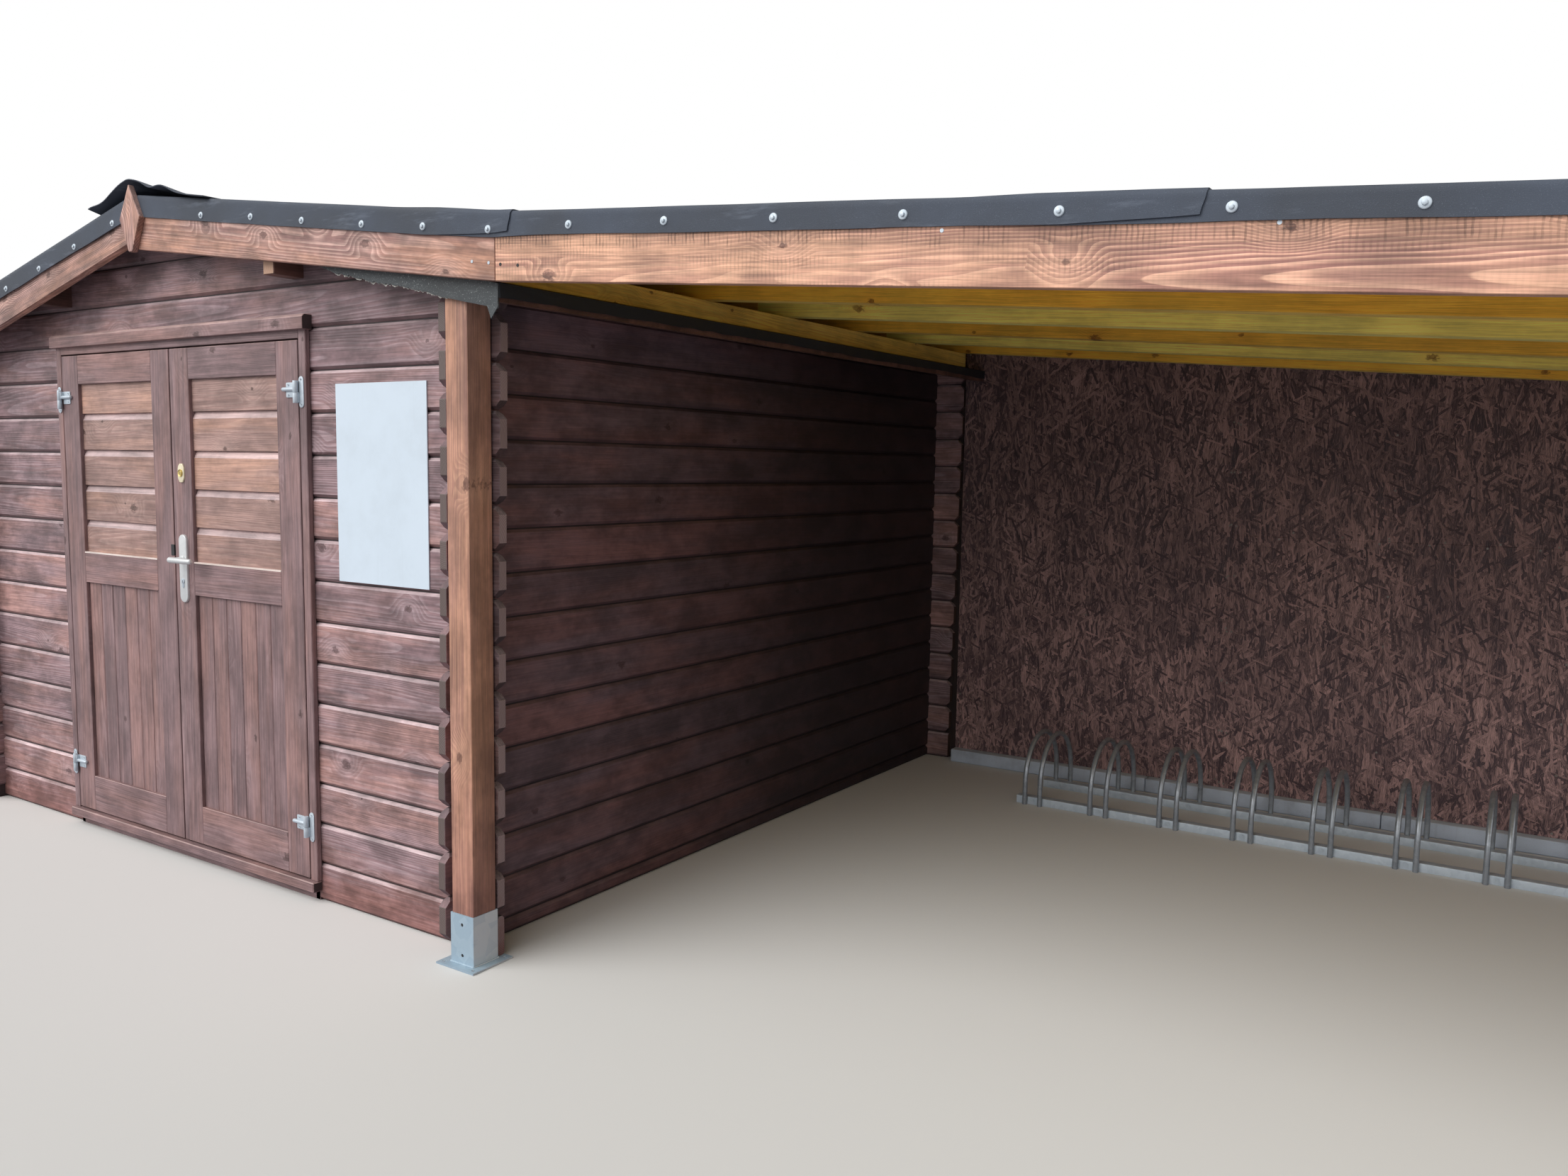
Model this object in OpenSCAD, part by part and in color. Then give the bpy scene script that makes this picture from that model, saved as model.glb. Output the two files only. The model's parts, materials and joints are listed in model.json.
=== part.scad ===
// Timber bike shelter: a log cabin store with a double door, and an open bay beside it
// under one long felted roof that starts at the ridge of the store.
// All sizes in millimetres. Building axes: X along the front, Y into the depth, Z up.
// X = 0 is the outer face of the store's right wall, Y = 0 the outer face of its front wall.

/* [Store walls] */
// Width of the store over the outer faces of its side walls
store_w = 2800; // [2700:1:2950]
// Depth of the store over the outer faces of its front and back walls
store_d = 2993; // [2800:1:3200]
// Thickness of a wall log
log_t = 28; // [24:1:34]
// Height that one log covers
log_h = 130; // [120:1:140]
// Height of the lowest course in the front and back walls
front_first = 123; // [110:1:130]
// Height of the lowest course in the side walls
side_first = 47; // [40:1:60]
// Bevel on the long edges of a log
log_bevel = 8; // [5:0.5:10]
// Length of the lowest front and back logs past the side walls
front_tail = 108; // [100:1:120]
// How much longer the logs under the ridge are at each end
tail_growth = 42; // [0:1:50]
// Length of the side logs past the front and back walls
side_tail = 78; // [60:1:88]
// Bevel on the corners of a log's end
tail_bevel = 25; // [15:1:30]

/* [Floor] */
// Height of a floor bearer
bearer_h = 45; // [30:1:46]
// Width of a floor bearer
bearer_w = 60; // [45:1:80]
// Number of floor bearers
bearer_count = 5; // [3:1:7]
// Thickness of the floor boards
floor_t = 19; // [16:1:22]

/* [Door frame] */
// Distance of the doorway's middle from the ridge, to the left
door_shift = 30; // [0:1:60]
// Thickness of the frame in front of the wall's face
frame_proud = 18; // [15:1:24]
// Width of a jamb's face
jamb_w = 34; // [30:1:45]
// Width of the jamb that laps over the wall's face
frame_lap = 12; // [8:1:15]
// Top of the sill, which the leaves stand over
sill_top = 66; // [66:1:70]
// Length of the sill's nose in front of the frame
sill_nose = 17; // [4:1:22]
// Height of the sill's nose
sill_nose_h = 33; // [25:1:45]
// Depth of the stop that the leaves close on
stop_t = 11; // [8:1:12]
// Width of the stop that the leaves close on
stop_w = 12; // [8:1:16]
// Height of the drip board over the door
hood_h = 58; // [50:1:70]
// Thickness of the drip board in front of the frame
hood_t = 17; // [10:1:22]
// Length of the drip board past each jamb
hood_over = 12; // [5:1:30]

/* [Door leaves] */
// Width of one leaf
leaf_w = 704; // [660:1:704]
// Height of a leaf
leaf_h = 1705; // [1690:1:1730]
// Thickness of a leaf
leaf_t = 40; // [36:1:40]
// Clear gap round a leaf
leaf_gap = 5; // [5:0.5:7]
// Gap between the two leaves
meeting_gap = 7; // [7:0.5:9]
// Width of a stile
stile_w = 110; // [90:1:125]
// Height of the top rail
top_rail_h = 124; // [100:1:140]
// Height of the lock rail
lock_rail_h = 131; // [100:1:150]
// Height of the bottom rail
bottom_rail_h = 133; // [100:1:160]
// Number of lying boards in the upper panel
upper_boards = 5; // [4:1:6]
// Height of one lying board
upper_board_h = 118.2; // [100:0.2:125]
// Number of standing boards in the lower panel
lower_boards = 6; // [5:1:8]
// Depth of the boards behind the leaf's face
panel_recess = 12; // [8:1:14]
// Thickness of the panel boards
panel_t = 20; // [16:1:22]
// Height of the slope on the top of a lying board
board_slope_h = 20; // [12:1:26]
// Depth of the slope on the top of a lying board
board_slope_d = 10; // [6:0.5:12]
// Bevel on the edges of the standing boards
board_bevel = 3; // [2:0.5:4]

/* [Door fittings] */
// Radius of a hinge barrel
barrel_r = 8; // [7:0.5:9]
// Radius of a hinge pin
hinge_pin_r = 5; // [4:0.5:6]
// Running clearance in a hinge barrel and round the lever's neck
running_gap = 0.3; // [0.2:0.05:0.4]
// Height of one half of a hinge barrel
barrel_h = 34; // [28:1:40]
// Thickness of the hinge and strap plates
hinge_plate_t = 3; // [2:0.5:4]
// Width of the hinge plate on a leaf
leaf_plate_w = 55; // [45:1:60]
// Height of the hinge plate on a leaf
leaf_plate_h = 46; // [40:1:56]
// Radius of the round stem across the hinge plate on a leaf
stem_r = 6; // [5:0.5:7]
// Length of the stem from the hinge pin
stem_len = 72; // [65:1:80]
// Distance of the upper hinges from the top of a leaf
hinge_from_top = 159; // [110:1:260]
// Distance of the lower hinges from the bottom of a leaf
hinge_from_bottom = 172; // [110:1:260]
// Width of the lever's back plate
plate_w = 45; // [38:1:50]
// Height of the lever's back plate
plate_h = 233; // [220:1:245]
// Thickness of the lever's back plate
plate_t = 8; // [6:1:10]
// Height of the plate's lower end above the ground
plate_z = 916; // [880:1:940]
// Height of the lever above the ground
lever_z = 1064; // [1040:1:1080]
// Length of the lever from its pivot
lever_len = 120; // [100:1:130]
// Radius of the lever's neck
neck_r = 8.5; // [7:0.5:10]
// Distance of the lever from the back plate
lever_stand = 42; // [35:1:50]
// Height of the upper lock above the ground
lock_z = 1358; // [1250:1:1420]
// Width of the upper lock's rose
rose_w = 36; // [30:1:44]
// Height of the upper lock's rose
rose_h = 64; // [54:1:74]
// Thickness of the upper lock's rose
rose_t = 5; // [4:0.5:6]

/* [Sign panel] */
// Width of the sign panel
sign_w = 407; // [350:1:420]
// Height of the sign panel
sign_h = 598; // [500:1:620]
// Thickness of the sign panel
sign_t = 4; // [3:0.5:6]
// Distance of the sign's middle from the middle of the wall beside the door
sign_shift = 15; // [-30:1:30]
// Height of the sign's lower edge
sign_z = 1041; // [950:1:1100]

/* [Old store roof] */
// Slope of the left roof and of the old right roof, in degrees
old_pitch = 12.8; // [12.2:0.1:13.2]
// Thickness of the old roof boards
old_deck_t = 19; // [16:1:22]
// Length of the old roof past the side walls
old_eave = 240; // [220:1:250]
// Thickness of the roofing felt
felt_t = 4; // [3:0.5:5]
// Depth of the old felt flap at the eave
old_flap_h = 60; // [50:1:70]
// Depth of the old felt flap at its inner end
old_flap_inner = 88; // [75:1:95]
// Width of a purlin
purlin_w = 70; // [50:1:80]
// Height of a purlin
purlin_h = 127; // [110:1:135]
// Distance of the side purlins from the side walls
purlin_from_wall = 710; // [660:1:750]
// Height of the batten under the old eave
batten_h = 24; // [18:1:30]
// Width of the batten under the old eave
batten_w = 20; // [16:1:25]

/* [Long roof] */
// Height of the ridge over the course that closes the doorway
gable_rise = 444; // [440:1:480]
// Slope of the roof from the ridge to the kink, in degrees
upper_pitch = 7.45; // [7.3:0.05:7.6]
// Slope of the roof over the bay, in degrees
bay_pitch = 4.5; // [4:0.1:5]
// Distance of the kink from the corner
kink_x = 259; // [250:1:320]
// Thickness of the new roof boards
deck_t = 18; // [15:1:20]
// Length of the roof past the front and back walls, over the fascia boards
verge = 130; // [122:1:140]
// Length of the bay roof past the end posts
bay_over = 100; // [60:1:130]
// Thickness of a fascia board
fascia_t = 28; // [22:1:30]
// Height of the right fascia boards
fascia_h = 170; // [150:1:180]
// Height of the left fascia boards at the ridge
left_ridge_h = 136; // [125:1:150]
// Height of the left fascia boards at the eave
left_fascia_h = 168; // [150:1:180]
// Open joint between two fascia boards
board_gap = 2; // [1:0.5:4]
// Height of the boards at the two eaves
eave_board_h = 110; // [90:1:130]
// Thickness of the boards at the two eaves
eave_board_t = 22; // [18:1:25]
// Depth of the felt strip on the fascia boards
flap_h = 66; // [50:1:80]
// Width of a finial board
finial_w = 120; // [100:1:130]
// Height of a finial board
finial_h = 214; // [200:1:225]
// Height of a finial's tip over the roof boards
finial_rise = 33; // [15:1:40]
// Thickness of a finial board
finial_t = 20; // [16:1:28]

/* [Bay] */
// Width of the bay from the store's wall to the outside of the end posts
bay_w = 3900; // [3600:10:4200]
// Width and height of a rafter's section
rafter_w = 60; // [45:1:70]
// Height of a rafter
rafter_h = 75; // [70:1:90]
// Number of rafters
rafter_count = 7; // [5:1:9]
// Place where the rafters start
rafter_x = 20; // [10:1:25]
// Width of the beam on the old eave
wall_beam_w = 45; // [40:1:60]
// Place of the beam on the old eave
wall_beam_x = 100; // [90:1:105]
// Width of a square post
post_w = 85; // [80:1:87]
// Place of the corner post along the front
post_x = 25; // [20:1:25]
// Gap between the corner post and the front wall
post_gap = 5; // [3:0.5:6]
// Height of the beam on the end posts
end_beam_h = 100; // [80:1:120]

/* [Post shoes] */
// Height of a shoe's box
shoe_h = 148; // [120:1:170]
// Thickness of a shoe's sheet
shoe_t = 2.7; // [2:0.1:3]
// Side of the square base plate
base_w = 150; // [145:1:160]
// Thickness of the base plate
base_t = 5; // [4:0.5:6]
// Distance between the holes in the base plate
base_hole_pitch = 118; // [115:1:120]
// Radius of the holes in the base plate
base_hole_r = 5.5; // [4:0.5:5.5]
// Room for nuts and bolt ends over the base plate, under the lowest logs
bolt_room = 25; // [15:1:35]
// Radius of the holes in a shoe's side
side_hole_r = 5; // [4:0.5:6]

/* [Back of the bay] */
// Height of the concrete kerb
kerb_h = 60; // [50:1:70]
// Length of the kerb in front of the sheets
kerb_front = 50; // [40:1:60]
// Depth of the kerb
kerb_d = 147; // [147:1:170]
// Thickness of the back sheets
sheet_t = 12; // [9:1:12]
// Place where the sheets start
sheet_x = 150; // [150:1:155]
// Width of the standing sheet
sheet_w = 1250; // [1220:1:1250]
// Height of the lower lying sheet
low_sheet_h = 1090; // [1000:1:1150]
// Seam between the sheets
seam = 2; // [1:0.5:4]
// Width of a stud
stud_w = 45; // [38:1:50]
// Depth of a stud
stud_d = 70; // [60:1:80]
// Number of studs
stud_count = 6; // [4:1:7]
// Width of the corner stud behind the log ends
corner_stud_w = 85; // [70:1:100]

/* [Bike rack] */
// Number of places in the rack
rack_places = 10; // [6:1:10]
// Distance from one place to the next
rack_pitch = 283; // [260:1:290]
// Place of the first pair of hoops
rack_x = 732; // [600:1:760]
// Distance between the two hoops of a place
slot_w = 66; // [60:1:75]
// Radius of the hoops' tube
tube_r = 10; // [8:0.5:12]
// Height of the hoops
hoop_h = 290; // [280:1:330]
// Distance between the two legs of a hoop
leg_pitch = 370; // [330:1:390]
// Distance of the hoops' back legs from the back sheets
leg_back = 180; // [165:1:220]
// Width of a rail
rail_w = 40; // [30:1:50]
// Height of a rail
rail_h = 32; // [20:1:40]

/* [Hidden] */
$fn = 48;

log_brown = [0.33, 0.20, 0.16];
new_brown = [0.52, 0.30, 0.20];
treated = [0.66, 0.52, 0.24];
felt_grey = [0.22, 0.24, 0.27];
zinc = [0.72, 0.75, 0.77];

ridge_x = -store_w / 2;
back_y = store_d;
door_x = ridge_x - door_shift;
tie = 0.01;

// Air between two sloping pieces that lie on each other
seat = 0.05;

// Heights in the doorway, and the course that closes it
leaf_z = sill_top + leaf_gap;
head_z = leaf_z + leaf_h + leaf_gap;
gable_z = front_first + log_h * ceil((head_z - front_first) / log_h);
ridge_z = gable_z + gable_rise;

// Heights of the joints between the courses
courses = ceil(ridge_z / log_h);
front_joints = [for (k = [0 : courses]) front_first + log_h * k];
side_joints = [for (k = [0 : courses]) side_first + log_h * k];

// The notches at the corners: each wall keeps a neck half a log high per course
lag = side_first + log_h - front_first;
front_neck_0 = front_first + lag / 2 - log_h;
side_neck_0 = front_neck_0 + log_h / 2;

// Roof surfaces along X
function z_left(x) = ridge_z - (ridge_x - x) * tan(old_pitch);
function z_upper(x) = ridge_z - (x - ridge_x) * tan(upper_pitch);
kink_z = z_upper(kink_x);
function z_bay(x) = kink_z - (x - kink_x) * tan(bay_pitch);
function z_old(x) = ridge_z - deck_t - (x - ridge_x) * tan(old_pitch);
function z_old_felt(x) = z_old(x) + seat + felt_t;
function z_rafter(x) = z_bay(x) - deck_t - seat - rafter_h;

left_x = -store_w - old_eave;
right_x = bay_w + bay_over;
left_deck_t = old_deck_t + deck_t;
deck_y0 = -verge + fascia_t;
deck_y1 = back_y + verge - fascia_t;
bay_back = back_y - log_t;

// The building's frame: its origin is the middle of the footprint, on the ground
x_min = left_x - eave_board_t - felt_t;
x_max = right_x + eave_board_t + felt_t;
mid_x = (x_min + x_max) / 2;
mid_y = back_y / 2;

// Door sizes, across from the middle of the doorway
leaf_in = meeting_gap / 2;
leaf_out = leaf_in + leaf_w;
jamb_in = leaf_out + leaf_gap;
jamb_out = jamb_in + jamb_w;
wall_edge = jamb_out - frame_lap;
hood_z = head_z + 2;
frame_top = hood_z + hood_h / 2;
leaf_front = -frame_proud;
leaf_back = leaf_front + leaf_t;
stop_y = leaf_back + leaf_gap;
frame_back = stop_y + stop_t;
panel_z1 = leaf_z + leaf_h - top_rail_h;
panel_z0 = panel_z1 - upper_boards * upper_board_h;
low_panel_z1 = panel_z0 - lock_rail_h;
low_panel_z0 = leaf_z + bottom_rail_h;
panel_x0 = leaf_in + stile_w;
panel_x1 = leaf_out - stile_w;
hinge_x = (leaf_out + jamb_in) / 2;
hinge_y = leaf_front - hinge_plate_t - barrel_r;
plate_x = leaf_in + stile_w / 2;
purlin_x = store_w / 2 - purlin_from_wall;

post_y1 = -post_gap;
post_y0 = post_y1 - post_w;
end_post_x = bay_w - post_w;
shoe_w = post_w + 2 * (shoe_t + running_gap);
rafter_pitch = (bay_back - rafter_w - deck_y0) / (rafter_count - 1);
end_beam_z = z_rafter(bay_w) - end_beam_h;
frame_y = bay_back + sheet_t;
leg_y = bay_back - leg_back - leg_pitch;

// Moves a shape from the building's axes to the frame at the middle of the footprint
module place() {
    translate([-mid_x, -mid_y, 0]) children();
}

// A shape drawn in X and Z, running from y0 to y1
module along_y(y0, y1) {
    translate([0, y1, 0])
        rotate([90, 0, 0])
            linear_extrude(y1 - y0) children();
}

// A shape drawn in Y and Z, running from x0 to x1
module along_x(x0, x1) {
    translate([x0, 0, 0])
        rotate([90, 0, 90])
            linear_extrude(x1 - x0) children();
}

module block(x0, x1, y0, y1, z0, z1) {
    translate([x0, y0, z0]) cube([x1 - x0, y1 - y0, z1 - z0]);
}

// One face of a row of boards: a bevelled groove at each joint, d is the face, s its inward side,
// and flat turns the outline for boards that stand side by side
function grooved(joints, d, s, bevel, flat = false) = [
    for (j = joints, p = [[d, j - bevel], [d + s * bevel, j], [d, j + bevel]]) flat ? [p[1], p[0]] : p
];

function backwards(list) = [for (i = [len(list) - 1 : -1 : 0]) list[i]];

function within(joints, z0, z1, bevel) = [for (j = joints) if (j > z0 + bevel && j < z1 - bevel) j];

// Section through stacked logs from z0 to z1, grooved on both faces
module log_section(joints, z0, z1) {
    cut = within(joints, z0, z1, log_bevel);
    polygon(concat(
        [[0, z0]], grooved(cut, 0, 1, log_bevel), [[0, z1]],
        [[log_t, z1]], backwards(grooved(cut, log_t, -1, log_bevel)), [[log_t, z0]]
    ));
}

// Elevation of stacked logs from u0 to u1, with bevelled log ends where a side is a tail,
// and with each tail longer by lean for every millimetre of height
module log_elevation(joints, u0, u1, z0, z1, tail0, tail1, lean = 0) {
    cut = within(joints, z0, z1, tail_bevel);
    out0 = tail0 ? lean : 0;
    out1 = tail1 ? lean : 0;
    low_end = [for (p = tail0 ? grooved(cut, u0, 1, tail_bevel) : []) [p[0] - out0 * p[1], p[1]]];
    high_end = [for (p = tail1 ? grooved(cut, u1, -1, tail_bevel) : []) [p[0] + out1 * p[1], p[1]]];
    polygon(concat(
        [[u0 - out0 * z0, z0]], low_end, [[u0 - out0 * z1, z1]],
        [[u1 + out1 * z1, z1]], backwards(high_end), [[u1 + out1 * z0, z0]]
    ));
}

// The necks that one wall keeps at a corner, for the other wall to be notched round
module necks(x0, y0, first) {
    for (k = [0 : courses])
        block(x0, x0 + log_t, y0, y0 + log_t, max(first + log_h * k, -1), first + log_h * k + log_h / 2);
}

module corner_notches(first) {
    for (x = [-log_t, -store_w])
        for (y = [0, back_y - log_t])
            necks(x, y, first);
}

// The space under the roof boards of the store
module under_store_roof() {
    along_y(-verge - side_tail, back_y + verge + side_tail)
        polygon([
            [left_x, 0],
            [kink_x, 0],
            [kink_x, z_old(kink_x) - old_deck_t - seat],
            [ridge_x, z_old(ridge_x) - old_deck_t - seat],
            [ridge_x, z_left(ridge_x) - left_deck_t - seat],
            [left_x, z_left(left_x) - left_deck_t - seat]
        ]);
}

module cross_wall(y0, x0, x1, z0, z1, tail0, tail1) {
    color(log_brown)
        difference() {
            intersection() {
                along_x(x0 - tail_growth, x1 + tail_growth)
                    translate([y0, 0]) log_section(front_joints, z0, z1);
                along_y(y0, y0 + log_t)
                    log_elevation(front_joints, x0, x1, z0, z1, tail0, tail1, tail_growth / ridge_z);
                under_store_roof();
            }
            corner_notches(side_neck_0 - log_h);
            purlin_bars();
            shoe_recess();
        }
}

module long_wall(x0) {
    color(log_brown)
        difference() {
            intersection() {
                along_y(-side_tail, back_y + side_tail)
                    translate([x0, 0]) log_section(side_joints, 0, ridge_z);
                along_x(x0, x0 + log_t)
                    log_elevation(side_joints, -side_tail, back_y + side_tail, 0, ridge_z, true, true);
                under_store_roof();
            }
            corner_notches(front_neck_0);
            shoe_recess();
        }
}

module front_wall_left() {
    cross_wall(0, -store_w - front_tail, door_x - wall_edge, 0, gable_z, true, false);
}

module front_wall_right() {
    cross_wall(0, door_x + wall_edge, front_tail, 0, gable_z, false, true);
}

module front_gable() {
    cross_wall(0, -store_w - front_tail, front_tail, gable_z, ridge_z, true, true);
}

module back_wall() {
    cross_wall(back_y - log_t, -store_w - front_tail, front_tail, 0, ridge_z, true, true);
}

module left_wall() {
    long_wall(-store_w);
}

module right_wall() {
    long_wall(-log_t);
}

module floor_boards() {
    color(treated)
        difference() {
            block(log_t - store_w, -log_t, log_t, back_y - log_t, bearer_h, bearer_h + floor_t);
            doorway();
        }
}

module floor_bearers() {
    step = (store_w - 2 * log_t - bearer_w) / (bearer_count - 1);
    color(treated)
        difference() {
            for (k = [0 : bearer_count - 1])
                translate([log_t - store_w + step * k, 0, 0])
                    block(0, bearer_w, log_t, back_y - log_t, 0, bearer_h);
            doorway();
        }
}

// Places what is drawn across from the middle of the doorway
module at_door() {
    translate([door_x, 0, 0]) children();
}

// The room that the door frame takes behind the wall
module doorway() {
    at_door() block(-wall_edge, wall_edge, 0, frame_back, 0, gable_z);
}

module jamb_outline() {
    polygon([
        [jamb_in, -frame_proud], [jamb_out, -frame_proud], [jamb_out, 0], [wall_edge, 0],
        [wall_edge, frame_back], [jamb_in - stop_w, frame_back], [jamb_in - stop_w, stop_y],
        [jamb_in, stop_y]
    ]);
}

module door_frame() {
    color(log_brown)
        at_door() {
            for (side = [0, 1])
                mirror([side, 0, 0]) {
                    translate([0, 0, sill_top - tie])
                        linear_extrude(frame_top - sill_top + tie) jamb_outline();
                    block(jamb_in - tie, wall_edge, 0, frame_back, frame_top - tie, gable_z);
                }
            along_x(-jamb_in - tie, jamb_in + tie)
                polygon([
                    [-frame_proud, head_z], [-frame_proud, frame_top], [0, frame_top],
                    [0, gable_z], [frame_back, gable_z], [frame_back, head_z - stop_w],
                    [stop_y, head_z - stop_w], [stop_y, head_z]
                ]);
            along_x(-jamb_out, jamb_out)
                translate([-frame_proud - sill_nose, sill_top - sill_nose_h])
                    square([frame_proud + sill_nose, sill_nose_h]);
            along_x(-wall_edge, wall_edge)
                polygon([
                    [-tie, sill_top - sill_nose_h], [-tie, sill_top], [stop_y, sill_top],
                    [stop_y, sill_top + stop_w], [frame_back, sill_top + stop_w],
                    [frame_back, 0], [0, 0], [0, sill_top - sill_nose_h]
                ]);
        }
}

module door_hood() {
    half = jamb_out + hood_over;
    color(log_brown)
        at_door()
            along_x(-half, half)
                polygon([
                    [-frame_proud - hood_t, hood_z], [-frame_proud, hood_z],
                    [-frame_proud, frame_top], [0, frame_top], [0, hood_z + hood_h],
                    [-frame_proud - hood_t / 2, hood_z + hood_h],
                    [-frame_proud - hood_t, hood_z + hood_h - hood_t / 2]
                ]);
}

// The stiles and rails of the right leaf, drawn across from the middle of the doorway
module leaf() {
    color(log_brown)
        difference() {
            block(leaf_in, leaf_out, leaf_front, leaf_back, leaf_z, leaf_z + leaf_h);
            block(panel_x0, panel_x1, leaf_front - 1, leaf_back + 1, panel_z0, panel_z1);
            block(panel_x0, panel_x1, leaf_front - 1, leaf_back + 1, low_panel_z0, low_panel_z1);
        }
}

// The lying boards above and the standing boards below the lock rail
module leaf_boards() {
    front = leaf_front + panel_recess;
    upper = [for (k = [1 : upper_boards - 1]) panel_z0 + upper_board_h * k];
    step = (panel_x1 - panel_x0) / lower_boards;
    standing = [for (k = [1 : lower_boards - 1]) panel_x0 + step * k];
    color([0.45, 0.28, 0.20]) {
        along_x(panel_x0, panel_x1)
            polygon(concat(
                [[front, panel_z0]],
                [for (z = upper) each [[front, z - board_slope_h], [front + board_slope_d, z], [front, z]]],
                [[front, panel_z1]],
                [[front + panel_t, panel_z1], [front + panel_t, panel_z0]]
            ));
        translate([0, 0, low_panel_z0])
            linear_extrude(low_panel_z1 - low_panel_z0)
                polygon(concat(
                    [[panel_x0, front]],
                    grooved(standing, front, 1, board_bevel, true),
                    [[panel_x1, front], [panel_x1, front + panel_t], [panel_x0, front + panel_t]]
                ));
    }
}

module right_leaf() {
    at_door() leaf();
}

module left_leaf() {
    at_door() mirror([1, 0, 0]) leaf();
}

module right_leaf_boards() {
    at_door() leaf_boards();
}

module left_leaf_boards() {
    at_door() mirror([1, 0, 0]) leaf_boards();
}

// The half of a hinge that is screwed to the jamb, with its pin
module hinge_frame_half() {
    plate_x0 = hinge_x + barrel_r - hinge_plate_t;
    translate([hinge_x, hinge_y, -barrel_h]) {
        cylinder(r = barrel_r, h = barrel_h);
        cylinder(r = hinge_pin_r, h = 2 * barrel_h - 4);
    }
    block(hinge_x, plate_x0 + hinge_plate_t, hinge_y, leaf_front, 2 - barrel_h, -2);
    block(plate_x0, jamb_out - 8, leaf_front - hinge_plate_t, leaf_front, -barrel_h - 14, barrel_h + 14);
}

// The half of a hinge that is screwed to the leaf
module hinge_leaf_half() {
    plate_x1 = hinge_x - leaf_gap / 2 - 1;
    plate_z1 = barrel_h - 4;
    free_x = hinge_x - 1.5 * barrel_r;
    difference() {
        union() {
            translate([hinge_x, hinge_y, 0.5]) cylinder(r = barrel_r, h = barrel_h);
            block(hinge_x - barrel_r, plate_x1, hinge_y, leaf_front, 4, plate_z1);
            block(plate_x1 - leaf_plate_w, plate_x1, leaf_front - hinge_plate_t, leaf_front, 2, plate_z1);
            block(plate_x1 - leaf_plate_w, free_x, leaf_front - hinge_plate_t, leaf_front,
                plate_z1 - leaf_plate_h, plate_z1);
            translate([hinge_x - stem_len, leaf_front - stem_r, stem_r + 2])
                rotate([0, 90, 0]) cylinder(r = stem_r, h = stem_len + free_x - hinge_x);
        }
        translate([hinge_x, hinge_y, 0]) cylinder(r = hinge_pin_r + running_gap, h = 2 * barrel_h);
    }
}

module at_hinges() {
    for (z = [leaf_z + hinge_from_bottom, leaf_z + leaf_h - hinge_from_top])
        translate([0, 0, z]) children();
}

module frame_hinges() {
    color(zinc)
        at_door()
            for (side = [0, 1])
                mirror([side, 0, 0]) at_hinges() hinge_frame_half();
}

module right_hinges() {
    color(zinc) at_door() at_hinges() hinge_leaf_half();
}

module left_hinges() {
    color(zinc) at_door() mirror([1, 0, 0]) at_hinges() hinge_leaf_half();
}

module lever_plate() {
    r = plate_w / 2;
    color(zinc)
        at_door()
            difference() {
                along_y(leaf_front - plate_t, leaf_front)
                    translate([plate_x, 0])
                        union() {
                            translate([-r, plate_z + r]) square([plate_w, plate_h - plate_w]);
                            translate([0, plate_z + r]) circle(r);
                            translate([0, plate_z + plate_h - r]) circle(r);
                        }
                translate([plate_x, leaf_front + 1, lever_z])
                    rotate([90, 0, 0]) cylinder(r = neck_r + running_gap, h = plate_t + 2);
            }
}

module door_lever() {
    arm_y = leaf_front - plate_t - lever_stand;
    color(zinc)
        at_door()
            translate([plate_x, 0, lever_z]) {
                translate([0, leaf_front - 2, 0])
                    rotate([90, 0, 0]) cylinder(r = neck_r, h = plate_t + lever_stand - 2);
                translate([-neck_r, arm_y, 0])
                    rotate([0, 90, 0]) cylinder(r1 = 10, r2 = 7.5, h = lever_len + neck_r);
            }
}

module lock_cylinder() {
    half = rose_w / 2;
    straight = (rose_h - 0.8 * rose_w) / 2;
    color([0.75, 0.62, 0.30])
        at_door()
            translate([plate_x, leaf_front, lock_z])
                rotate([90, 0, 0]) {
                    linear_extrude(rose_t)
                        polygon([
                            [half, straight], [half / 2, rose_h / 2], [-half / 2, rose_h / 2],
                            [-half, straight], [-half, -straight], [-half / 2, -rose_h / 2],
                            [half / 2, -rose_h / 2], [half, -straight]
                        ]);
                    cylinder(r = half * 0.7, h = rose_t + 3);
                }
}

module sign_panel() {
    color("white")
        translate([(door_x + jamb_out) / 2 - sign_shift, 0, sign_z])
            block(-sign_w / 2, sign_w / 2, -sign_t, 0, 0, sign_h);
}

// The three purlins under the old roof, with their tops cut to the slopes
module purlin_bars() {
    intersection() {
        for (x = [-purlin_x, 0, purlin_x])
            block(ridge_x + x - purlin_w / 2, ridge_x + x + purlin_w / 2, deck_y0, deck_y1,
                min(z_left(ridge_x - abs(x)), z_old(ridge_x + abs(x))) - old_deck_t - purlin_h, ridge_z);
        under_store_roof();
    }
}

module purlins() {
    color(log_brown) purlin_bars();
}

module left_deck() {
    color(log_brown)
        along_y(deck_y0, deck_y1)
            polygon([
                [left_x, z_left(left_x) - left_deck_t], [ridge_x, z_left(ridge_x) - left_deck_t],
                [ridge_x, z_left(ridge_x)], [left_x, z_left(left_x)]
            ]);
}

// The hole in the old eave where the corner post goes through, and the cut at the back sheets
module old_roof_cuts() {
    block(post_x, post_x + post_w, post_y0, post_y1, 0, ridge_z);
    block(wall_beam_x + wall_beam_w + 3, kink_x + bay_over, bay_back - 5, back_y + verge, 0, ridge_z);
}

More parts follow.
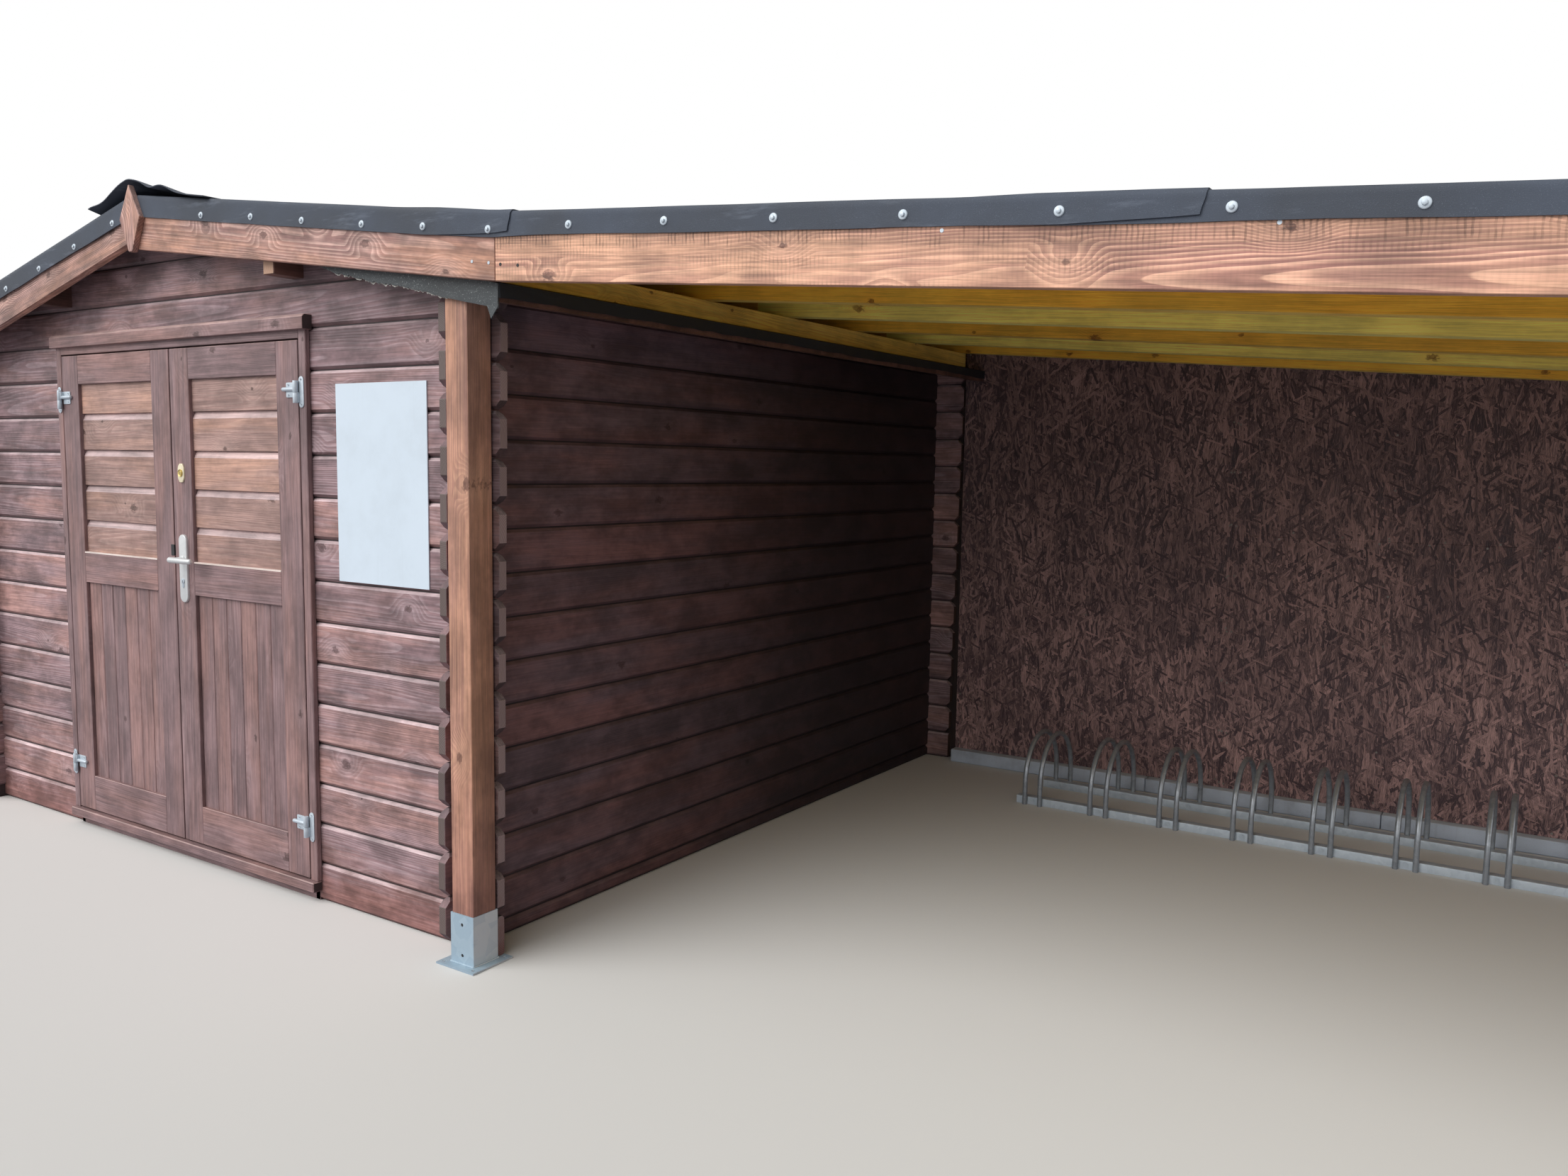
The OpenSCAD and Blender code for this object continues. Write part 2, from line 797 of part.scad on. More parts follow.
module old_deck() {
    color(log_brown)
        difference() {
            union() {
                along_y(deck_y0 + felt_t, deck_y1 - felt_t)
                    polygon([
                        [ridge_x, z_old(ridge_x) - old_deck_t],
                        [old_eave, z_old(old_eave) - old_deck_t],
                        [old_eave, z_old(old_eave)], [ridge_x, z_old(ridge_x)]
                    ]);
                along_y(deck_y0 + felt_t, deck_y1 - felt_t)
                    polygon([
                        [old_eave - batten_w, z_old(old_eave) - old_deck_t - batten_h],
                        [old_eave, z_old(old_eave) - old_deck_t - batten_h],
                        [old_eave, z_old(old_eave)],
                        [old_eave - batten_w, z_old(old_eave - batten_w)]
                    ]);
            }
            old_roof_cuts();
        }
}

// Felt left on the old right roof, with a fold at the eave and a flap on each gable
module old_felt() {
    far = old_eave + felt_t;
    start = ridge_x + (felt_t + 2 * seat) / (tan(old_pitch) - tan(upper_pitch));
    flap_x = ridge_x + purlin_x + purlin_w;
    color(felt_grey)
        difference() {
            union() {
                along_y(deck_y0, deck_y1)
                    polygon([
                        [start, z_old(start) + seat], [old_eave, z_old(old_eave) + seat],
                        [old_eave, z_old(old_eave) - old_deck_t], [far, z_old(old_eave) - old_deck_t],
                        [far, z_old_felt(far)], [start, z_old_felt(start)]
                    ]);
                for (y = [deck_y0, deck_y1 - felt_t])
                    along_y(y, y + felt_t)
                        polygon([
                            [flap_x, z_old(flap_x) - old_flap_inner],
                            [old_eave, z_old(old_eave) - old_flap_h],
                            [old_eave, z_old(old_eave) + felt_t / 2], [flap_x, z_old(flap_x) + felt_t / 2]
                        ]);
            }
            old_roof_cuts();
        }
}

module rafter_row() {
    for (k = [0 : rafter_count - 1])
        translate([0, deck_y0 + rafter_pitch * k, 0]) children();
}

// Tapered timbers that lift the new roof boards off the old slope
module firrings() {
    start = ridge_x + 60;
    color(treated)
        rafter_row()
            along_y(0, rafter_w)
                polygon([
                    [start, z_old_felt(start) + seat], [rafter_x, z_old_felt(rafter_x) + seat],
                    [rafter_x, z_upper(rafter_x) - deck_t - seat], [start, z_upper(start) - deck_t - seat]
                ]);
}

module rafters() {
    color(treated)
        rafter_row()
            along_y(0, rafter_w)
                polygon([
                    [rafter_x, z_rafter(rafter_x)], [right_x, z_rafter(right_x)],
                    [right_x, z_bay(right_x) - deck_t - seat], [kink_x, kink_z - deck_t - seat],
                    [rafter_x, z_upper(rafter_x) - deck_t - seat]
                ]);
}

// A band of even height h under the new roof line, from a to b
module roof_band(a, b, top, h) {
    kinked = a < kink_x && b > kink_x;
    za = a < kink_x ? z_upper(a) : z_bay(a);
    zb = b > kink_x ? z_bay(b) : z_upper(b);
    low = kinked ? [[kink_x, kink_z + top - h]] : [];
    high = kinked ? [[kink_x, kink_z + top]] : [];
    polygon(concat([[a, za + top - h]], low, [[b, zb + top - h], [b, zb + top]], high, [[a, za + top]]));
}

// A band of even height h under the left roof line, from a to the ridge
module left_band(a, top, h) {
    polygon([
        [a, z_left(a) + top - h], [ridge_x, ridge_z + top - h],
        [ridge_x, ridge_z + top], [a, z_left(a) + top]
    ]);
}

module long_deck() {
    color(treated) along_y(deck_y0, deck_y1) roof_band(ridge_x, right_x, 0, deck_t);
}

module finial_outline() {
    half = finial_w / 2;
    top = ridge_z + finial_rise;
    translate([ridge_x, top])
        polygon([
            [0, 0], [half, -finial_h / 2], [half / 6, -finial_h], [-half / 6, -finial_h],
            [-half, -finial_h / 2]
        ]);
}

// The two finial boards: one on the front fascia boards and one on the back ones
module finials() {
    color(new_brown)
        for (y = [-verge - finial_t, back_y + verge])
            along_y(y, y + finial_t) finial_outline();
}

module finial_gap() {
    along_y(-verge - finial_t - 1, -verge) finial_outline();
    along_y(back_y + verge, back_y + verge + finial_t + 1) finial_outline();
}

module left_felt() {
    edge = left_x - eave_board_t;
    color(felt_grey)
        difference() {
            union() {
                along_y(-verge - felt_t, back_y + verge + felt_t)
                    left_band(edge - felt_t, felt_t + seat, felt_t);
                for (y = [-verge - felt_t, back_y + verge])
                    along_y(y, y + felt_t) left_band(edge - felt_t, felt_t + seat, flap_h + felt_t);
                block(edge - felt_t, edge, -verge - felt_t, back_y + verge + felt_t,
                    z_left(edge) - flap_h, z_left(edge) + felt_t / 2);
            }
            finial_gap();
        }
}

module long_felt() {
    edge = right_x + eave_board_t;
    color(felt_grey)
        difference() {
            union() {
                along_y(-verge - felt_t, back_y + verge + felt_t)
                    roof_band(ridge_x, edge + felt_t, felt_t + seat, felt_t);
                for (y = [-verge - felt_t, back_y + verge])
                    along_y(y, y + felt_t) roof_band(ridge_x, edge + felt_t, felt_t + seat, flap_h + felt_t);
                block(edge, edge + felt_t, -verge - felt_t, back_y + verge + felt_t,
                    z_bay(edge) - flap_h, z_bay(edge) + felt_t / 2);
            }
            finial_gap();
        }
}

// The left board is a little higher at the eave than at the ridge
module left_board() {
    polygon([
        [left_x, z_left(left_x) - left_fascia_h], [ridge_x, ridge_z - left_ridge_h],
        [ridge_x, ridge_z], [left_x, z_left(left_x)]
    ]);
}

module right_boards() {
    roof_band(ridge_x + board_gap, kink_x - board_gap / 2, 0, fascia_h);
    roof_band(kink_x + board_gap / 2, right_x, 0, fascia_h);
}

module left_fascia() {
    color(new_brown) along_y(-verge, -verge + fascia_t) left_board();
}

module right_fascias() {
    color(new_brown) along_y(-verge, -verge + fascia_t) right_boards();
}

module back_fascias() {
    color(new_brown)
        along_y(deck_y1, deck_y1 + fascia_t) {
            left_board();
            right_boards();
        }
}

module eave_boards() {
    color(new_brown)
        along_y(-verge, back_y + verge) {
            polygon([
                [left_x - eave_board_t, z_left(left_x) - eave_board_h],
                [left_x, z_left(left_x) - eave_board_h], [left_x, z_left(left_x)],
                [left_x - eave_board_t, z_left(left_x - eave_board_t)]
            ]);
            polygon([
                [right_x, z_bay(right_x) - eave_board_h],
                [right_x + eave_board_t, z_bay(right_x) - eave_board_h],
                [right_x + eave_board_t, z_bay(right_x + eave_board_t)], [right_x, z_bay(right_x)]
            ]);
        }
}

// The beam that lies on the old eave and carries the rafters
module wall_beam() {
    far = wall_beam_x + wall_beam_w;
    color(treated)
        along_y(post_y1, bay_back)
            polygon([
                [wall_beam_x, z_old_felt(wall_beam_x) + seat], [far, z_old_felt(far) + seat],
                [far, z_rafter(far) - seat], [wall_beam_x, z_rafter(wall_beam_x) - seat]
            ]);
}

module end_beam_bar() {
    along_y(deck_y0, frame_y + post_w)
        polygon([
            [end_post_x, end_beam_z], [bay_w, end_beam_z], [bay_w, z_rafter(bay_w) - seat],
            [end_post_x, z_rafter(end_post_x) - seat]
        ]);
}

module end_beam() {
    color(new_brown) end_beam_bar();
}

module corner_post() {
    color(new_brown)
        along_y(post_y0, post_y1)
            polygon([
                [post_x, base_t], [post_x + post_w, base_t],
                [post_x + post_w, z_rafter(post_x + post_w) - seat], [post_x, z_rafter(post_x) - seat]
            ]);
}

module end_posts() {
    color(new_brown) {
        block(end_post_x, bay_w, post_y0, post_y1, base_t, end_beam_z);
        block(end_post_x, bay_w, frame_y, frame_y + post_w, kerb_h, end_beam_z);
    }
}

// A galvanised shoe: a square base plate with an open box that the post stands in
module shoe() {
    inside = shoe_w / 2 - shoe_t;
    difference() {
        union() {
            translate([-base_w / 2, -base_w / 2, 0]) cube([base_w, base_w, base_t]);
            translate([-shoe_w / 2, -shoe_w / 2, 0]) cube([shoe_w, shoe_w, shoe_h]);
        }
        translate([-inside, -inside, base_t]) cube([2 * inside, 2 * inside, shoe_h]);
        for (x = [-1, 1])
            for (y = [-1, 1])
                translate([x * base_hole_pitch / 2, y * base_hole_pitch / 2, -1])
                    cylinder(r = base_hole_r, h = base_t + 2);
        for (z = [shoe_h * 0.2, shoe_h * 0.8])
            translate([0, shoe_w / 2 + 1, z])
                rotate([90, 0, 0]) cylinder(r = side_hole_r, h = shoe_w + 2);
    }
}

// The room for a base plate and its bolts under the lowest logs
module shoe_recess() {
    half = base_w / 2 + running_gap;
    translate([post_x + post_w / 2, post_y0 + post_w / 2, -1])
        translate([-half, -half, 0]) cube([2 * half, 2 * half, base_t + bolt_room + 1]);
}

module post_shoes() {
    color(zinc)
        for (x = [post_x, end_post_x])
            translate([x + post_w / 2, post_y0 + post_w / 2, 0]) shoe();
}

// The upper edge of the back sheets and studs follows the roof boards
module back_panel(a, b, z0, z1) {
    intersection() {
        roof_band(a, b, -deck_t - seat, ridge_z);
        translate([a, z0]) square([b - a, z1 - z0]);
    }
}

module back_sheets() {
    split = sheet_x + sheet_w;
    color([0.40, 0.24, 0.20])
        difference() {
            along_y(bay_back, frame_y) {
                back_panel(sheet_x, split, kerb_h, ridge_z);
                back_panel(split + seam, bay_w, kerb_h, kerb_h + low_sheet_h);
                back_panel(split + seam, bay_w, kerb_h + low_sheet_h + seam, ridge_z);
            }
            end_beam_bar();
        }
}

// Studs and plates behind the sheets, and a stud that closes the corner behind the log ends
module back_frame() {
    step = (end_post_x - sheet_x) / stud_count;
    under_old_deck = z_old(sheet_x) - old_deck_t - seat;
    color(treated) {
        block(sheet_x - corner_stud_w, sheet_x, back_y + running_gap, frame_y + stud_d, 0, under_old_deck);
        along_y(frame_y, frame_y + stud_d) {
            for (k = [0 : stud_count - 1])
                back_panel(sheet_x + step * k, sheet_x + step * k + stud_w, kerb_h, ridge_z);
            back_panel(sheet_x, end_post_x, kerb_h, kerb_h + stud_w);
            roof_band(sheet_x, bay_w, -deck_t - seat, stud_w);
        }
    }
}

module kerb() {
    color([0.72, 0.70, 0.66])
        block(sheet_x, bay_w + 30, bay_back - kerb_front, bay_back - kerb_front + kerb_d, 0, kerb_h);
}

module rack_rails() {
    length = rack_pitch * (rack_places - 1) + slot_w + 2 * rail_w;
    color(zinc)
        translate([rack_x - rail_w, 0, 0]) {
            for (y = [leg_y + tube_r, leg_y + leg_pitch - tube_r - rail_w])
                block(0, length, y, y + rail_w, 0, rail_h);
        }
}

// One hoop: a tube bent to a half circle on two straight legs
module hoop() {
    bend = leg_pitch / 2;
    spring = hoop_h - bend - tube_r;
    translate([0, bend, spring])
        rotate([90, 0, 90])
            rotate_extrude(angle = 180) translate([bend, 0]) circle(tube_r, $fn = 24);
    for (y = [0, leg_pitch])
        translate([0, y, 0]) cylinder(r = tube_r, h = spring, $fn = 24);
}

module rack_hoops() {
    color(zinc)
        for (k = [0 : rack_places - 1])
            for (side = [0, slot_w])
                translate([rack_x + rack_pitch * k + side, leg_y, 0]) hoop();
}

place() front_wall_left();
place() front_wall_right();
place() front_gable();
place() back_wall();
place() left_wall();
place() right_wall();
place() floor_boards();
place() floor_bearers();
place() door_frame();
place() door_hood();
place() frame_hinges();
place() left_leaf();
place() left_leaf_boards();
place() left_hinges();
place() right_leaf();
place() right_leaf_boards();
place() right_hinges();
place() lever_plate();
place() lock_cylinder();
place() door_lever();
place() sign_panel();
place() purlins();
place() left_deck();
place() old_deck();
place() old_felt();
place() firrings();
place() long_deck();
place() left_felt();
place() long_felt();
place() left_fascia();
place() right_fascias();
place() back_fascias();
place() finials();
place() eave_boards();
place() wall_beam();
place() rafters();
place() end_beam();
place() corner_post();
place() end_posts();
place() post_shoes();
place() back_sheets();
place() back_frame();
place() kerb();
place() rack_rails();
place() rack_hoops();
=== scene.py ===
"""Dresses a timber bike shelter: a log cabin store and an open bay under one long felted roof.

Lengths are in metres. The pieces are drawn from the front corner of the store, with X along the
front, Y into the depth and Z up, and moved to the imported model's frame when they are finished.
"""

import json
import logging
import math
import random
from collections.abc import Callable, Iterable, Sequence
from dataclasses import dataclass, replace
from enum import Enum

import bpy
import numpy as np
from bpy.types import Material, Node, NodeSocket, NodeTree, Object
from mathutils import Matrix, Vector, noise


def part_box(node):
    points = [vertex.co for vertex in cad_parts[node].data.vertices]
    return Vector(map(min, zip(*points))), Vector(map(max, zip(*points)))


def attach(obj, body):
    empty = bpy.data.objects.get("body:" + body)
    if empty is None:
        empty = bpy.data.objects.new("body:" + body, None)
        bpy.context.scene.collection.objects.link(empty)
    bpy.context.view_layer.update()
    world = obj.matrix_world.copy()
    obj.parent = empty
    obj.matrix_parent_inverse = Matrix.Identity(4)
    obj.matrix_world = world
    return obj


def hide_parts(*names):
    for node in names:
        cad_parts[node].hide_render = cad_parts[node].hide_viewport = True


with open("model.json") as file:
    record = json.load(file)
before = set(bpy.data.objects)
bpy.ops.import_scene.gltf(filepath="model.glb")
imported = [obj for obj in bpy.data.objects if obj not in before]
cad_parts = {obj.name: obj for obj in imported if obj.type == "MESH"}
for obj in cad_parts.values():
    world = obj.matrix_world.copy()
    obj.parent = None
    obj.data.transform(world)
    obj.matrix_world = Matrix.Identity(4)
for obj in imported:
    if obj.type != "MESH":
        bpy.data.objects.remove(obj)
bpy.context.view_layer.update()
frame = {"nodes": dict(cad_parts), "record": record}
log = logging.getLogger("shelter")

Colour = tuple[float, float, float, float]
Value = NodeSocket | float | tuple
Span = tuple[float, float]

# Corners of a square, going round
SQUARE = ((-1, -1), (1, -1), (1, 1), (-1, 1))
# Slack for telling whether a corner lies on a face
NEAR = 1e-4
# Width of a board in the finishes of pieces that have no map of their own
BOARD_W = 0.12
# A face looks to the front where its normal's depth is under this
FRONTWARD = -0.99
# Hair's breadth that keeps two pieces from sharing a face
HAIR = 0.0001


def tint(red: float, green: float, blue: float) -> Colour:
    """Makes a linear colour from three numbers as a paint program shows them, from 0 to 255."""

    def linear(level: float) -> float:
        """Takes the display curve off one number."""
        share = level / 255
        return share / 12.92 if share <= 0.04045 else ((share + 0.055) / 1.055) ** 2.4

    return (linear(red), linear(green), linear(blue), 1.0)


def bell(distance: float, width: float) -> float:
    """Gives a soft hump: 1 at no distance, and almost nothing past twice the width."""
    return math.exp(-(distance / width) ** 2)


class Axis(Enum):
    """One of the building's three directions."""

    X = 0
    Y = 1
    Z = 2


class Part(Enum):
    """What is picked on a mesh, by the name that Blender's select mode uses."""

    VERTEX = "VERT"
    EDGE = "EDGE"
    FACE = "FACE"


class Side(Enum):
    """Left or right, as the sign of X across from the middle."""

    LEFT = -1
    RIGHT = 1


class Grain(Enum):
    """Where a timber finish reads the run of the grain."""

    BOARD = "the board's own map"
    ALONG_X = "lying along X"
    ALONG_Y = "lying along Y"


class Graph:
    """Adds shader nodes to one tree and links them by their sockets."""

    def __init__(self, tree: NodeTree) -> None:
        """Takes the tree that the nodes go into."""
        self.tree = tree

    def node(self, kind: str, inputs: dict[str | int, Value] | None = None, **settings: object) -> Node:
        """Adds a node.

        Args:
            kind: Blender's name for the node.
            inputs: Sockets to link from, or plain values, by the input's name or number.
            settings: The node's own settings.

        Returns:
            The new node.
        """
        made = self.tree.nodes.new(kind)
        for name, setting in settings.items():
            setattr(made, name, setting)
        for name, value in (inputs or {}).items():
            if isinstance(value, NodeSocket):
                self.tree.links.new(value, made.inputs[name])
            else:
                made.inputs[name].default_value = value
        return made

    def math(self, operation: str, *values: Value) -> NodeSocket:
        """Adds one step of arithmetic and returns its result."""
        return self.node("ShaderNodeMath", dict(enumerate(values)), operation=operation).outputs[0]

    def times(self, first: Value, second: Value) -> NodeSocket:
        """Multiplies two values."""
        return self.math("MULTIPLY", first, second)

    def line(self, value: Value, slope: Value, start: Value) -> NodeSocket:
        """Adds slope times a value to a start."""
        return self.math("MULTIPLY_ADD", value, slope, start)

    def place(self) -> NodeSocket:
        """Returns the place on the piece, in its own metres."""
        return self.node("ShaderNodeTexCoord").outputs["Object"]

    def mark(self, name: str, kind: str = "Fac") -> NodeSocket:
        """Reads what the workbench noted on the mesh under a name."""
        return self.node("ShaderNodeAttribute", attribute_name=name).outputs[kind]

    def vector(self, operation: str, *values: Value) -> NodeSocket:
        """Adds one step of vector arithmetic and returns its vector."""
        return self.node("ShaderNodeVectorMath", dict(enumerate(values)), operation=operation).outputs[0]

    def length(self, vector: Value) -> NodeSocket:
        """Returns the length of a vector."""
        return self.node("ShaderNodeVectorMath", {0: vector}, operation="LENGTH").outputs["Value"]

    def dot(self, first: Value, second: Value) -> NodeSocket:
        """Returns how far two unit vectors point the same way, from -1 to 1."""
        return self.node("ShaderNodeVectorMath", {0: first, 1: second},
                         operation="DOT_PRODUCT").outputs["Value"]

    def split(self, vector: Value) -> list[NodeSocket]:
        """Returns the three parts of a vector."""
        return list(self.node("ShaderNodeSeparateXYZ", {0: vector}).outputs)

    def join(self, x: Value, y: Value, z: Value) -> NodeSocket:
        """Makes a vector from three parts."""
        return self.node("ShaderNodeCombineXYZ", {0: x, 1: y, 2: z}).outputs[0]

    def noise(self, at: Value, scale: float, detail: float, roughness: float) -> NodeSocket:
        """Returns soft noise from about 0.2 to 0.8."""
        inputs = {"Vector": at, "Scale": scale, "Detail": detail, "Roughness": roughness}
        return self.node("ShaderNodeTexNoise", inputs).outputs["Fac"]

    def streaks(self, at: Value, scales: tuple, detail: float, roughness: float) -> NodeSocket:
        """Returns soft noise with a scale of its own in each direction."""
        return self.noise(self.vector("MULTIPLY", at, scales), 1.0, detail, roughness)

    def random(self, at: Value) -> NodeSocket:
        """Returns a random colour, even over each whole step of a vector."""
        return self.node("ShaderNodeTexWhiteNoise", {"Vector": at}).outputs["Color"]

    def mix(self, share: Value, first: Value, second: Value, how: str = "MIX") -> NodeSocket:
        """Blends two colours by a share from 0 to 1."""
        made = self.node("ShaderNodeMix", {0: share, 6: first, 7: second}, data_type="RGBA", blend_type=how)
        return made.outputs[2]

    def blend(self, share: Value, first: Value, second: Value) -> NodeSocket:
        """Blends two numbers by a share from 0 to 1."""
        return self.node("ShaderNodeMix", {0: share, 2: first, 3: second}, data_type="FLOAT").outputs[0]

    def smooth(self, value: Value, low: float, high: float, start: float = 0.0,
               end: float = 1.0) -> NodeSocket:
        """Eases from start to end while the value goes from low to high."""
        inputs = {"Value": value, "From Min": low, "From Max": high, "To Min": start, "To Max": end}
        return self.node("ShaderNodeMapRange", inputs, interpolation_type="SMOOTHSTEP").outputs[0]

    def shade(self, colour: Value, brightness: Value) -> NodeSocket:
        """Makes a colour brighter or darker."""
        return self.node("ShaderNodeHueSaturation", {"Color": colour, "Value": brightness}).outputs[0]

    def bump(self, height: Value, distance: float) -> NodeSocket:
        """Returns a normal that leans with a height times a distance in metres."""
        return self.node("ShaderNodeBump",
                         {"Height": height, "Distance": distance, "Strength": 1.0}).outputs[0]

    def facing(self) -> NodeSocket:
        """Gives the way that a face looks, in the space of its own piece, so that it turns with a door."""
        normal = self.node("ShaderNodeNewGeometry").outputs["True Normal"]
        turned = self.node("ShaderNodeVectorTransform", {"Vector": normal}, vector_type="NORMAL",
                           convert_from="WORLD", convert_to="OBJECT")
        return turned.outputs["Vector"]

    def surface(self, colour: Value, roughness: Value, normal: Value | None = None, **more: Value) -> None:
        """Ends a material with its main shader.

        Args:
            colour: Base colour.
            roughness: Roughness.
            normal: Normal, where the surface has relief.
            more: Other inputs of the shader, with underscores for the spaces in their names.
        """
        inputs: dict[str | int, Value] = {"Base Color": colour, "Roughness": roughness}
        if normal is not None:
            inputs["Normal"] = normal
        inputs |= {name.replace("_", " "): value for name, value in more.items()}
        shader = self.node("ShaderNodeBsdfPrincipled", inputs)
        self.node("ShaderNodeOutputMaterial", {"Surface": shader.outputs[0]})


def new_material(name: str) -> tuple[Material, Graph]:
    """Starts an empty material and returns it with its graph."""
    material = bpy.data.materials.new(name)
    material.use_nodes = True
    material.node_tree.nodes.clear()
    return material, Graph(material.node_tree)


class Effects:
    """The node groups that several finishes share, each built when it is first used."""

    made: dict[str, NodeTree] = {}

    @classmethod
    def group(cls, name: str, inputs: dict[str, str], outputs: dict[str, str],
              fill: Callable[[Graph, dict[str, NodeSocket]], dict[str, NodeSocket]]) -> NodeTree:
        """Builds a group once and returns it.

        Args:
            name: Plain name of the effect.
            inputs: Kinds of socket by input name, without the words NodeSocket.
            outputs: Kinds of socket by output name.
            fill: Adds the nodes, given the inputs, and returns the outputs by name.

        Returns:
            The group's tree.
        """
        if name not in cls.made:
            tree = bpy.data.node_groups.new(name, "ShaderNodeTree")
            for title, kind in inputs.items():
                tree.interface.new_socket(name=title, in_out="INPUT", socket_type="NodeSocket" + kind)
            for title, kind in outputs.items():
                tree.interface.new_socket(name=title, in_out="OUTPUT", socket_type="NodeSocket" + kind)
            graph = Graph(tree)
            entry = graph.node("NodeGroupInput")
            results = fill(graph, {title: entry.outputs[title] for title in inputs})
            graph.node("NodeGroupOutput", dict(results))
            cls.made[name] = tree
        return cls.made[name]

    @classmethod
    def use(cls, graph: Graph, tree: NodeTree, **inputs: Value) -> dict[str, NodeSocket]:
        """Places a group in a material and returns its outputs by name."""
        made = graph.node("ShaderNodeGroup", node_tree=tree)
        for name, value in inputs.items():
            socket = made.inputs[name.replace("_", " ").capitalize()]
            if isinstance(value, NodeSocket):
                graph.tree.links.new(value, socket)
            else:
                socket.default_value = value
        return {socket.name: socket for socket in made.outputs}

    @classmethod
    def timber_figure(cls) -> NodeTree:
        """Rings, knots and fibres of softwood, from a place with X along the grain."""

        def fill(graph: Graph, given: dict[str, NodeSocket]) -> dict[str, NodeSocket]:
            """Adds the nodes of the figure."""
            place = given["Place"]
            knot_grid = (2.3, 7.5, 1.0)
            cells = graph.vector("MULTIPLY", place, knot_grid)
            cell = graph.node("ShaderNodeTexVoronoi", {"Vector": cells, "Scale": 1.0},
                              voronoi_dimensions="2D")
            away = graph.vector("DIVIDE", graph.vector("SUBTRACT", cells, cell.outputs["Position"]),
                                knot_grid)
            away = graph.vector("MULTIPLY", away, (0.62, 1.0, 0.0))
            reach = graph.length(away)
            chance = graph.split(cell.outputs["Color"])
            there = graph.math("LESS_THAN", chance[0], given["Knots"])
            radius = graph.line(chance[1], 0.009, 0.0035)
            uneven = graph.streaks(place, (70.0, 110.0, 110.0), 2.0, 0.6)
            share = graph.math("DIVIDE", reach,
                               graph.times(radius, graph.smooth(uneven, 0.3, 0.7, 0.6, 1.5)))
            hard = graph.times(graph.smooth(share, 1.3, 0.75), graph.smooth(uneven, 0.35, 0.65, 1.0, 0.72))
            knot = graph.times(hard, there)
            swirl = graph.times(graph.smooth(reach, 0.06, 0.0), there)
            wander = graph.streaks(place, (0.9, 5.0, 5.0), 3.0, 0.55)
            parts = graph.split(place)
            across = graph.line(wander, 0.045, parts[1])
            depth = graph.line(wander, -0.03, parts[2])
            radial = graph.length(graph.join(across, depth, 0.0))
            radial = graph.line(swirl, 0.02, radial)
            ring = graph.math("FRACT", graph.math("DIVIDE", radial, given["Ring width"]))
            late = graph.times(graph.smooth(ring, 0.25, 0.92), graph.smooth(ring, 1.0, 0.93))
            streaks = graph.streaks(place, (2.6, 95.0, 95.0), 3.0, 0.62)
            fine = graph.streaks(place, (9.0, 340.0, 340.0), 2.0, 0.6)
            fibre = graph.line(fine, 0.45, graph.times(streaks, 0.55))
            patch = graph.streaks(place, (1.7, 10.0, 10.0), 3.0, 0.6)
            height = graph.line(late, 0.45, fibre)
            height = graph.line(knot, 0.6, height)
            blotch = graph.streaks(place, (5.5, 9.0, 9.0), 4.0, 0.65)
            return {"Late wood": late, "Fibre": fibre, "Knot": knot, "Swirl": swirl, "Patch": patch,
                    "Blotch": blotch, "Height": height}

        floats = ("Late wood", "Fibre", "Knot", "Swirl", "Patch", "Blotch", "Height")
        return cls.group("timber figure", {"Place": "Vector", "Ring width": "Float", "Knots": "Float"},
                         {title: "Float" for title in floats}, fill)

    @classmethod
    def arris(cls) -> NodeTree:
        """Finds the slanted faces of square-cut pieces: Up on those that look up, for a painted highlight,
        and Down on those that look down, for painted shade.
        """

        def fill(graph: Graph, given: dict[str, NodeSocket]) -> dict[str, NodeSocket]:
            """Adds the nodes of the arris effect."""
            x, y, z = graph.split(graph.facing())
            most = graph.math("MAXIMUM", graph.math("ABSOLUTE", x), graph.math("ABSOLUTE", y))
            most = graph.math("MAXIMUM", most, graph.math("ABSOLUTE", z))
            slanted = graph.times(graph.smooth(most, 0.97, 0.93), given["Amount"])
            up = graph.times(slanted, graph.smooth(z, 0.0, 0.4))
            down = graph.times(slanted, graph.smooth(z, 0.0, -0.4))
            return {"Up": up, "Down": down}

        return cls.group("arris", {"Amount": "Float"}, {"Up": "Float", "Down": "Float"}, fill)


